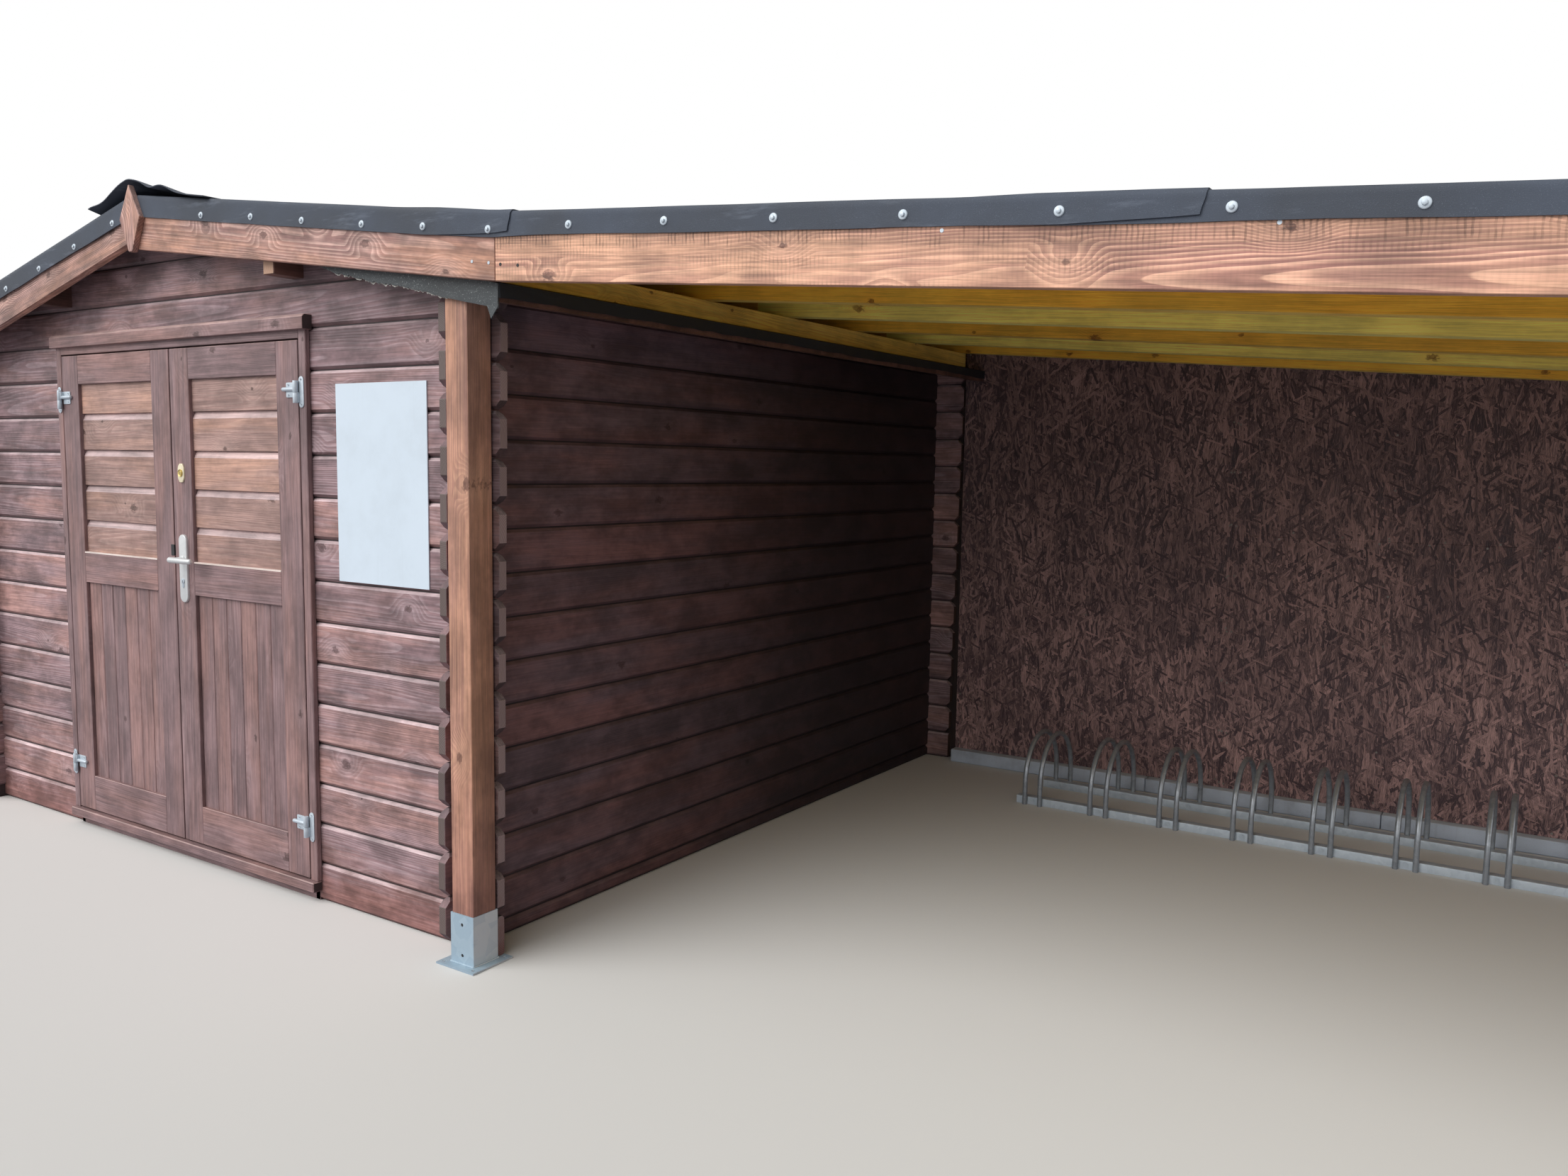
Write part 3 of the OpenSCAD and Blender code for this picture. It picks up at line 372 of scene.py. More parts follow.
@dataclass(frozen=True)
class Timber:
    """Stained or treated softwood.

    Attributes:
        name: Plain name of the finish.
        early: Colour between the rings.
        late: Colour of the dark rings.
        knot: Colour of the knots.
        worn: Colour where the stain is thin.
        wear: How much of the face is worn, from 0 to 1.
        contrast: How dark the rings show.
        spread: Difference in brightness from board to board.
        streak: Difference in brightness between the fibres.
        ring: Width of a ring.
        knots: Share of the places that hold a knot.
        roughness: Roughness of the face.
        relief: Height of the grain.
        saw: Strength of the saw marks across the grain; where it is set, a band of painted shade also
            darkens the upper edge.
        arris: How strong the painted highlight and painted shade on the slanted edges are.
        lit: Painted highlight: colour of the slanted edges that look up.
        end: Colour of the end grain.
        joint: How dark the joints are: dirt and painted shade along the joints.
        blotch: How uneven the stain is.
        sheltered: Painted shade: brightness that is left deep inside the bay, which darkens the wall with
            depth as if the roof shaded it.
        foot: Colour near the ground, or None: part splash dirt, part painted shade from the dark ground.
        foot_h: Height that the foot's colour reaches.
        tail: Painted shade: brightness of the log ends past the right side wall, which stand in the corner
            post's shade.
        front: Painted shade: tint that darkens the faces that look to the front, or None.
    """

    name: str
    early: Colour
    late: Colour
    knot: Colour
    worn: Colour
    wear: float = 0.5
    contrast: float = 0.6
    spread: float = 0.25
    streak: float = 0.22
    ring: float = 0.005
    knots: float = 0.45
    roughness: float = 0.55
    relief: float = 0.0004
    saw: float = 0.0
    arris: float = 0.6
    lit: Colour = tint(190, 160, 154)
    end: Colour = tint(92, 72, 66)
    joint: float = 0.0
    blotch: float = 0.35
    sheltered: float = 1.0
    foot: Colour | None = None
    foot_h: float = 0.5
    tail: float = 1.0
    front: Colour | None = None

    def place(self, graph: Graph, grain: Grain) -> tuple[NodeSocket, NodeSocket]:
        """Finds the place in the grain and the board's tone.

        Args:
            graph: The material's graph.
            grain: Where the grain's run is read.

        Returns:
            The place, with X along the grain, and a tone from 0 to 1.
        """
        if grain is Grain.BOARD:
            mapped = graph.mark("grain", "Vector")
            return mapped, graph.mark("tone")
        x, y, z = graph.split(graph.place())
        along, across = (x, y) if grain is Grain.ALONG_X else (y, x)
        number = graph.math("FLOOR", graph.math("DIVIDE", across, BOARD_W))
        shift = graph.random(graph.join(number, 3.0, 5.0))
        place = graph.join(along, across, z)
        place = graph.vector("ADD", place, graph.vector("MULTIPLY", shift, (40.0, 0.1, 0.2)))
        return place, graph.split(shift)[1]

    def stain(self, graph: Graph, figure: dict[str, NodeSocket], tone: NodeSocket) -> NodeSocket:
        """Mixes the colour of the rings, the worn places, the knots, and the painted highlight and painted
        shade on the slanted edges.

        Args:
            graph: The material's graph.
            figure: The outputs of the wood's figure.
            tone: How light the board is.

        Returns:
            The colour.
        """
        arris = Effects.use(graph, Effects.arris(), amount=self.arris)
        colour = graph.mix(graph.times(figure["Late wood"], self.contrast), self.early, self.late)
        thin = graph.smooth(graph.line(tone, 0.25, figure["Patch"]), 0.48, 0.88, 0.0, self.wear)
        # The last two layers paint a highlight on the slanted edges that look up and shade on those that
        # look down.
        layers = ((thin, self.worn), (graph.times(figure["Swirl"], 0.35), self.late),
                  (graph.times(figure["Knot"], 0.85), self.knot), (arris["Up"], self.lit),
                  (graph.times(arris["Down"], 0.6), self.knot))
        for share, over in layers:
            colour = graph.mix(share, colour, over)
        return colour

    def saw_marks(self, graph: Graph, place: NodeSocket, edge: NodeSocket,
                  patches: NodeSocket) -> NodeSocket:
        """Draws the marks of the saw across the grain.

        Args:
            graph: The material's graph.
            place: Place in the grain.
            edge: Distance from the board's upper edge.
            patches: Large soft patches of the figure.

        Returns:
            How deep the marks are, from 0 to 1.
        """
        pitch = 0.0052
        run = graph.split(place)[0]
        wobble = graph.line(graph.noise(place, 40.0, 2.0, 0.5), 0.006, run)
        cuts = graph.math("DIVIDE", graph.math("PINGPONG", wobble, pitch), pitch)
        patch = graph.streaks(place, (3.0, 16.0, 16.0), 3.0, 0.6)
        reach = graph.line(graph.noise(place, 22.0, 2.0, 0.6), 0.05, edge)
        broken = graph.noise(graph.join(graph.times(run, 46.0), graph.times(edge, 8.0), 0.0), 1.0, 2.0, 0.7)
        deep = graph.smooth(reach, 0.122, 0.1)
        for share in (graph.smooth(patch, 0.3, 0.5, 0.45, 1.0), graph.smooth(patches, 0.3, 0.55, 0.4, 1.0),
                      graph.smooth(broken, 0.4, 0.6, 0.2, 1.0)):
            deep = graph.times(deep, share)
        amount = graph.math("MAXIMUM", deep, graph.smooth(patch, 0.48, 0.72, 0.08, 0.5))
        return graph.times(graph.smooth(cuts, 0.5, 0.25), amount)

    def material(self, grain: Grain) -> Material:
        """Builds the material for one way of reading the grain's run."""
        material, graph = new_material(self.name + " " + grain.name.lower())
        place, tone = self.place(graph, grain)
        figure = Effects.use(graph, Effects.timber_figure(), place=place, ring_width=self.ring,
                             knots=self.knots)
        colour = self.stain(graph, figure, tone)
        streak = graph.smooth(figure["Fibre"], 0.3, 0.7, 1.0 - self.streak, 1.0 + self.streak)
        uneven = graph.smooth(figure["Blotch"], 0.32, 0.68, 1.0 - self.blotch, 1.0 + self.blotch)
        streak = graph.times(streak, uneven)
        bright = graph.line(tone, self.spread, 1.0 - self.spread / 2)
        height = figure["Height"]
        if grain is Grain.BOARD:
            facing = graph.dot(graph.mark("run", "Vector"), graph.facing())
            cut = graph.smooth(graph.math("ABSOLUTE", facing), 0.75, 0.9)
            rings = graph.line(figure["Late wood"], -0.35, 1.1)
            streak = graph.blend(cut, streak, rings)
            colour = graph.mix(cut, colour, self.end)
            # Darker along the board's edges: part dirt in the joints, part painted shade in the grooves.
            if self.joint:
                rim = graph.mark("rim")
                dirt = graph.line(figure["Blotch"], 0.0014, 0.0005)
                joint_dirt_and_shade = graph.smooth(graph.math("DIVIDE", rim, dirt), 0.2, 1.2, 1.0 - self.joint, 1.0)
                streak = graph.times(streak, joint_dirt_and_shade)
        if self.saw:
            edge = graph.mark("edge")
            sawn = self.saw_marks(graph, place, edge, figure["Patch"])
            # Painted shade: a darker band along the upper edge, under the felt, a little lighter below it.
            streak = graph.times(streak, graph.smooth(edge, 0.115, 0.075, 1.07, 0.84))
            streak = graph.times(streak, graph.line(sawn, -self.saw, 1.0))
            height = graph.line(sawn, -0.8, height)
        bright = graph.times(bright, streak)
        x, depth, z = graph.split(graph.place())
        # Painted shade: the stain darkens with depth into the bay, standing for the roof's shade.
        if self.sheltered < 1.0:
            bright = graph.times(bright, graph.smooth(depth, -1.45, 0.75, 1.0, self.sheltered))
        # Painted shade: faces that look to the front are tinted darker and oranger than the rest.
        if self.front:
            ahead = graph.split(graph.facing())[1]
            shaded_front = graph.mix(1.0, colour, self.front, "MULTIPLY")
            colour = graph.mix(graph.smooth(ahead, -0.5, -0.8), colour, shaded_front)
        # Painted shade: the log ends past the right side wall are darkened, as if the corner post shaded
        # them; their end grain is left out.
        if self.tail < 1.0:
            shade = graph.smooth(x, -0.482, -0.476, 1.0, self.tail)
            if grain is Grain.BOARD:
                shade = graph.blend(cut, shade, 1.0)
            bright = graph.times(bright, shade)
        # Darker and redder towards the ground: part splash dirt, part painted shade.
        if self.foot:
            height_z = graph.line(figure["Blotch"], 0.3, z)
            colour = graph.mix(graph.smooth(height_z, self.foot_h + 0.25, 0.15, 0.0, 0.85), colour,
                               self.foot)
        colour = graph.shade(colour, bright)
        rough = graph.line(figure["Fibre"], 0.25, self.roughness - 0.12)
        graph.surface(colour, rough, graph.bump(height, self.relief))
        return material


@dataclass(frozen=True)
class Felt:
    """Mineral roofing felt.

    Attributes:
        name: Plain name of the finish.
        base: Colour of the sheet.
        grit: Colour of the pale grains.
        share: How many pale grains show.
        grains: Grains to the metre.
    """

    name: str
    base: Colour
    grit: Colour
    share: float = 0.3
    grains: float = 620.0

    def material(self) -> Material:
        """Builds the material."""
        material, graph = new_material(self.name)
        place = graph.place()
        grains = graph.noise(place, self.grains, 2.0, 0.7)
        cloud = graph.noise(place, 3.2, 4.0, 0.6)
        dirt = graph.noise(graph.vector("MULTIPLY", place, (1.5, 1.5, 9.0)), 3.0, 4.0, 0.7)
        colour = graph.mix(graph.smooth(grains, 0.58, 0.75, 0.0, self.share), self.base, self.grit)
        colour = graph.shade(colour, graph.smooth(cloud, 0.3, 0.7, 0.72, 1.25))
        colour = graph.mix(graph.smooth(dirt, 0.55, 0.8, 0.0, 0.35), colour, self.grit)
        soft = graph.line(cloud, 6.0, grains)
        graph.surface(colour, graph.smooth(cloud, 0.3, 0.7, 0.62, 0.8), graph.bump(soft, 0.0006))
        return material


@dataclass(frozen=True)
class Metal:
    """Bare or plated metal.

    Attributes:
        name: Plain name of the finish.
        base: Colour.
        dull: Colour of the dull or stained patches.
        patches: Patches to the metre.
        share: How strong the patches are.
        metallic: How metallic the face is.
        roughness: Roughness of the face.
        front: Painted light and shade: tint that darkens the faces that look to the front, back and up, or
            None.
    """

    name: str
    base: Colour
    dull: Colour
    patches: float = 60.0
    share: float = 0.5
    metallic: float = 0.8
    roughness: float = 0.4
    front: Colour | None = None

    def material(self) -> Material:
        """Builds the material."""
        material, graph = new_material(self.name)
        place = graph.place()
        flower = graph.node("ShaderNodeTexVoronoi", {"Vector": place, "Scale": self.patches})
        value = graph.split(flower.outputs["Color"])[0]
        cloud = graph.noise(place, 14.0, 5.0, 0.65)
        colour = graph.mix(graph.times(value, self.share), self.base, self.dull)
        colour = graph.mix(graph.smooth(cloud, 0.5, 0.75, 0.0, self.share), colour, self.dull)
        # Painted light and shade: faces that look sideways keep the pale base, and the others are tinted
        # darker.
        if self.front:
            aside = graph.math("ABSOLUTE", graph.split(graph.facing())[0])
            colour = graph.mix(graph.smooth(aside, 0.8, 0.5), colour,
                               graph.mix(1.0, colour, self.front, "MULTIPLY"))
        rough = graph.line(value, 0.12, self.roughness)
        graph.surface(colour, rough, graph.bump(cloud, 0.0004), Metallic=self.metallic)
        return material


@dataclass(frozen=True)
class StrandBoard:
    """Stained board of pressed wood strands.

    Attributes:
        name: Plain name of the finish.
        dark: Colour of the deepest strands.
        light: Colour of the palest strands.
        layers: Lean from upright in degrees, length and width of the strands in each layer.
    """

    name: str
    dark: Colour
    light: Colour
    layers: tuple[tuple[float, float, float], ...] = ((-18.0, 0.09, 0.011), (9.0, 0.07, 0.008),
                                                      (-4.0, 0.1, 0.026), (24.0, 0.08, 0.012),
                                                      (-52.0, 0.075, 0.013), (3.0, 0.085, 0.01),
                                                      (68.0, 0.07, 0.01))

    def material(self) -> Material:
        """Builds the material: layers of strands, each turned its own way, with the topmost one showing."""
        material, graph = new_material(self.name)
        x, _, z = graph.split(graph.place())
        flat = graph.join(x, z, 0.0)
        bend = graph.noise(flat, 30.0, 2.0, 0.6)
        flat = graph.vector("ADD", flat, graph.join(graph.times(bend, 0.009), 0.0, 0.0))
        tone: Value = 0.0
        level: Value = 0.0
        for turn, (lean, length, width) in enumerate(self.layers):
            spun = graph.node("ShaderNodeMapping", {
                "Vector": flat, "Location": (0.37 * turn, 0.21 * turn, 0.0),
                "Rotation": (0.0, 0.0, math.radians(90.0 + lean)), "Scale": (length, width, 1.0),
            }, vector_type="TEXTURE").outputs[0]
            strand = graph.node(
                "ShaderNodeTexVoronoi", {"Vector": spun, "Scale": 1.0, "Randomness": 0.9},
                voronoi_dimensions="2D", distance="CHEBYCHEV",
            )
            chance = graph.split(strand.outputs["Color"])
            streaks = graph.streaks(spun, (1.6, 7.0, 1.0), 3.0, 0.75)
            shade = graph.line(graph.smooth(streaks, 0.3, 0.7), 0.45, graph.times(chance[1], 0.5))
            edge = graph.smooth(strand.outputs["Distance"], 0.38, 0.6, 0.0, 0.3)
            own = graph.math("SUBTRACT", chance[0], edge)
            wins = graph.math("GREATER_THAN", own, level)
            tone = graph.blend(wins, tone, shade)
            level = graph.math("MAXIMUM", own, level)
        hairs = graph.noise(graph.join(graph.times(x, 260.0), graph.times(z, 34.0), 0.0), 1.0, 2.0, 0.6)
        tone = graph.line(graph.math("SUBTRACT", hairs, 0.5), 0.5, tone)
        stain = graph.noise(graph.join(x, z, 0.0), 1.6, 4.0, 0.6)
        amount = graph.times(graph.smooth(tone, 0.2, 1.0), graph.smooth(stain, 0.25, 0.75, 0.6, 1.35))
        colour = graph.mix(amount, self.dark, self.light)
        # Painted shade and light: darker towards the top under the roof, lighter towards the bottom.
        colour = graph.shade(colour, graph.smooth(z, 1.5, 0.3, 0.86, 1.2))
        rough = graph.smooth(tone, 0.2, 1.0, 0.5, 0.72)
        graph.surface(colour, rough, graph.bump(graph.math("ADD", tone, level), 0.0009))
        return material


@dataclass(frozen=True)
class Plain:
    """A cast or moulded face with soft stains, such as concrete or a plastic sheet.

    Attributes:
        name: Plain name of the finish.
        base: Colour.
        stain: Colour of the stains.
        share: How strong the stains are.
        roughness: Roughness of the face.
        pits: Depth of the small pits.
    """

    name: str
    base: Colour
    stain: Colour
    share: float = 0.4
    roughness: float = 0.8
    pits: float = 0.0

    def material(self) -> Material:
        """Builds the material."""
        material, graph = new_material(self.name)
        place = graph.place()
        cloud = graph.noise(place, 4.5, 6.0, 0.65)
        speck = graph.noise(place, 260.0, 3.0, 0.75)
        streak = graph.streaks(place, (38.0, 38.0, 1.6), 3.0, 0.6)
        colour = graph.mix(graph.smooth(cloud, 0.42, 0.75, 0.0, self.share), self.base, self.stain)
        colour = graph.mix(graph.smooth(streak, 0.55, 0.8, 0.0, self.share * 0.5), colour, self.stain)
        colour = graph.mix(graph.smooth(speck, 0.55, 0.8, 0.0, self.pits * 300), colour, self.stain)
        graph.surface(colour, self.roughness, graph.bump(speck, self.pits))
        return material


Look = Timber | Felt | Metal | StrandBoard | Plain


class Finishes:
    """Every finish on the shelter, each built once."""

    def __init__(self) -> None:
        """Mixes the stains and metals."""
        self.cabin = Timber("cabin stain", early=tint(133, 107, 110), late=tint(178, 157, 161),
                            knot=tint(76, 52, 52), worn=tint(168, 125, 113), wear=0.6, contrast=0.45,
                            spread=0.24, streak=0.34, joint=0.8, knots=0.5, lit=tint(196, 174, 176),
                            arris=0.8)
        # Painted light: the front wall's end grain is made pale, so the log ends that face right read bright
        # though little light reaches them.
        self.front_cabin = replace(self.cabin, name="front cabin stain", end=tint(170, 146, 144), tail=0.48,
                                   foot=tint(146, 100, 92), foot_h=0.1)
        # Painted shade: a darker, bluer copy of the cabin stain for the right wall inside the bay, with
        # dimmer lit edges and end grain.
        self.shaded_cabin = replace(self.cabin, name="sheltered cabin stain", early=tint(112, 90, 96),
                                   late=tint(130, 108, 114), worn=tint(146, 94, 84), wear=0.45,
                                   contrast=0.25, knots=0.25, streak=0.2, sheltered=0.14,
                                   lit=tint(120, 100, 102), end=tint(102, 88, 84), arris=0.6)
        self.leaf = Timber("leaf stain", early=tint(129, 104, 105), late=tint(153, 129, 130),
                           knot=tint(80, 58, 56), worn=tint(155, 116, 106), wear=0.55, contrast=0.45,
                           spread=0.14, streak=0.32, knots=0.3, blotch=0.22, end=tint(60, 48, 48))
        self.panel = Timber("panel stain", early=tint(158, 126, 118), late=tint(190, 160, 150),
                            knot=tint(76, 52, 46), worn=tint(192, 148, 126), wear=0.75, contrast=0.4,
                            spread=0.14, streak=0.28, knots=0.85, blotch=0.22, lit=tint(208, 186, 188))
        self.bare = Timber(
            "bare edge", early=tint(238, 224, 216), late=tint(222, 200, 186), knot=tint(180, 140, 120),
            worn=tint(242, 230, 222), contrast=0.3, spread=0.05, knots=0.0, blotch=0.08,
        )
        self.board = Timber(
            "fascia stain", early=tint(156, 109, 98), late=tint(228, 178, 151),
            knot=tint(90, 58, 52), worn=tint(230, 178, 144), wear=0.8, contrast=0.9, spread=0.1, streak=0.34,
            knots=0.75, saw=0.5, relief=0.0006, blotch=0.22, end=tint(206, 150, 110),
        )
        self.post = Timber("post stain", early=tint(162, 118, 104), late=tint(208, 162, 134),
                           knot=tint(96, 60, 50), worn=tint(200, 148, 118), wear=0.7, contrast=0.5,
                           spread=0.1, knots=0.5, ring=0.0035, streak=0.26, blotch=0.24,
                           foot=tint(150, 104, 92), foot_h=0.55)
        # Painted shade: a near-black copy of the post stain for the corner stud, which stands for the shadow
        # gap behind the log ends.
        self.stud = replace(self.post, name="shaded stud stain", early=tint(44, 30, 28), late=tint(60, 42, 38),
                            worn=tint(56, 40, 36), foot=None)
        self.upper = Timber("brown fascia stain", early=tint(142, 106, 100), late=tint(204, 168, 156),
                            knot=tint(84, 54, 48), worn=tint(196, 144, 116), wear=0.8, contrast=0.75,
                            spread=0.1, streak=0.36, knots=0.9, relief=0.0005, blotch=0.36,
                            end=tint(150, 110, 96))
        self.purlin = Timber(
            "purlin stain", early=tint(96, 66, 58), late=tint(120, 86, 76), knot=tint(50, 32, 28),
            worn=tint(110, 78, 66), wear=0.4, contrast=0.4, spread=0.1, end=tint(198, 158, 132),
        )
        self.treated = Timber("treated softwood", early=tint(252, 216, 112), late=tint(234, 178, 84),
                              knot=tint(120, 72, 34), worn=tint(252, 228, 134), wear=0.5, contrast=0.55,
                              spread=0.5, knots=0.9, front=(0.96, 0.76, 0.6, 1.0), ring=0.0045,
                              roughness=0.65, arris=0.3, lit=tint(240, 214, 130), end=tint(230, 192, 110),
                              blotch=0.12)
        self.ochre = replace(self.treated, name="ochre softwood", front=(0.96, 0.8, 0.36, 1.0), spread=0.3)
        self.yellow = replace(self.treated, name="yellow softwood", early=tint(255, 240, 140), knots=0.7,
                              late=tint(252, 208, 110), worn=tint(255, 242, 150),
                              front=(1.0, 1.0, 0.8, 1.0), spread=0.2)
        self.felt = Felt("roofing felt", tint(68, 75, 87), tint(146, 156, 172))
        self.dark_felt = Felt("rotten felt", tint(30, 33, 40), tint(62, 68, 76), share=0.3)
        self.old_felt = Felt("old felt", tint(68, 72, 74), tint(160, 166, 164), share=0.8, grains=260.0)
        self.zinc = Metal("galvanised steel", tint(206, 216, 224), tint(176, 188, 198), share=0.45,
                          metallic=0.35, roughness=0.4)
        self.satin = Metal("satin plate", tint(226, 228, 228), tint(198, 200, 200), share=0.25, metallic=0.4,
                           roughness=0.3)
        self.brass = Metal("worn brass", tint(222, 200, 128), tint(176, 148, 84), share=0.4, metallic=0.5,
                           roughness=0.3)
        self.cream = Metal("pale brass", tint(244, 234, 206), tint(220, 202, 156), share=0.35, metallic=0.3,
                           roughness=0.35)
        self.strand = StrandBoard("stained strand board", tint(70, 53, 59), tint(204, 164, 158))
        self.sheet = Plain("white sheet", tint(216, 229, 240), tint(184, 194, 200), share=0.25,
                           roughness=0.35)
        self.concrete = Plain("cast concrete", tint(208, 218, 232), tint(144, 148, 156), share=0.5,
                              roughness=0.85, pits=0.0012)
        self.tube = Metal("grey steel tube", tint(176, 182, 188), tint(132, 138, 146), metallic=0.5,
                          roughness=0.3)
        # Painted light: the very pale base brightens the shoe's shaded sides, and its front tint darkens the
        # faces that look front, back and up.
        self.shoe = Metal("bright shoe steel", tint(244, 248, 250), tint(214, 224, 232), patches=24.0,
                          share=0.6, metallic=0.15, roughness=0.45, front=(0.44, 0.54, 0.61, 1.0))
        self.nail = Metal("nail head", tint(150, 146, 140), tint(110, 100, 92), metallic=0.6, roughness=0.45)
        self.fibre = Plain("pale fibres", tint(196, 194, 186), tint(150, 146, 138), share=0.5, roughness=0.9)
        self.black = Plain("black latch", tint(34, 34, 36), tint(70, 70, 72), share=0.3, roughness=0.5)
        self.made: dict[tuple[Look, Grain], Material] = {}

    def of(self, look: Look, grain: Grain = Grain.BOARD) -> Material:
        """Returns the material of a finish, building it when it is first asked for."""
        key = (look, grain if isinstance(look, Timber) else Grain.BOARD)
        if key not in self.made:
            self.made[key] = look.material(grain) if isinstance(look, Timber) else look.material()
        return self.made[key]


@dataclass(frozen=True)
class Site:
    """The lines that all sub-assemblies share, from the front corner of the store.

    Attributes:
        store_w: Width of the store along the front.
        store_d: Depth of the store.
        log_t: Thickness of a log.
        verge: How far the roof reaches past the front and the back wall.
        fascia_t: Thickness of the fascia boards.
        ridge_z: Height of the roof boards at the ridge.
        left_pitch: Slope of the left roof and of the old right roof, in degrees.
        upper_pitch: Slope of the new boards from the ridge to the kink.
        bay_pitch: Slope of the bay's roof.
        kink_x: Place of the kink.
        eave: How far the roof reaches past the store's left wall.
        bay_w: Width of the bay.
        bay_over: How far the roof reaches past the bay.
        deck_t: Thickness of the new roof boards.
        old_deck: Depth of the old boards' underside under the ridge.
        rafter_h: Height of the rafters.
        gable_z: Height where the logs run across above the doorway.
        door_x: Place of the doors' meeting line.
        leaf_y: Depth of the doors' front face.
    """

    store_w: float = 2.8
    store_d: float = 2.993
    log_t: float = 0.028
    verge: float = 0.13
    fascia_t: float = 0.028
    ridge_z: float = 2.257
    left_pitch: float = 12.8
    upper_pitch: float = 7.45
    bay_pitch: float = 4.5
    kink_x: float = 0.259
    eave: float = 0.24
    bay_w: float = 3.9
    bay_over: float = 0.1
    deck_t: float = 0.018
    old_deck: float = 0.037
    rafter_h: float = 0.075
    gable_z: float = 1.813
    door_x: float = -1.43
    leaf_y: float = -0.018

    @property
    def ridge_x(self) -> float:
        """Place of the ridge along the front."""
        return -self.store_w / 2

    @property
    def under_ridge(self) -> tuple[float, float, float]:
        """Point where the undersides of the two old roof slopes meet."""
        return self.ridge_x, 0.0, self.ridge_z - self.old_deck

    @property
    def slopes(self) -> tuple[tuple[float, float, float], ...]:
        """Directions that the left and the right slope of the old roof look in."""
        lean = math.radians(self.left_pitch)
        return tuple((side.value * math.sin(lean), 0.0, math.cos(lean)) for side in Side)

    @property
    def left_x(self) -> float:
        """End of the roof boards on the left."""
        return -self.store_w - self.eave

    @property
    def right_x(self) -> float:
        """End of the roof boards on the right."""
        return self.bay_w + self.bay_over

    @property
    def front_y(self) -> float:
        """Front face of the fascia boards."""
        return -self.verge

    @property
    def back_y(self) -> float:
        """Back face of the fascia boards."""
        return self.store_d + self.verge

    def roof(self, x: float) -> float:
        """Height of the new roof boards' upper face at a place along the front."""
        if x < self.ridge_x:
            return self.ridge_z - (self.ridge_x - x) * math.tan(math.radians(self.left_pitch))
        kink = (min(x, self.kink_x) - self.ridge_x) * math.tan(math.radians(self.upper_pitch))
        past = max(x - self.kink_x, 0.0) * math.tan(math.radians(self.bay_pitch))
        return self.ridge_z - (kink + past)

    def old_roof(self, x: float) -> float:
        """Height of the old right roof's upper face, under the new boards."""
        return self.ridge_z - self.deck_t - (x - self.ridge_x) * math.tan(math.radians(self.left_pitch))

    def bay_line(self, x: float) -> float:
        """Height of the bay roof's straight line, drawn on past the kink."""
        return self.roof(self.kink_x) - (x - self.kink_x) * math.tan(math.radians(self.bay_pitch))


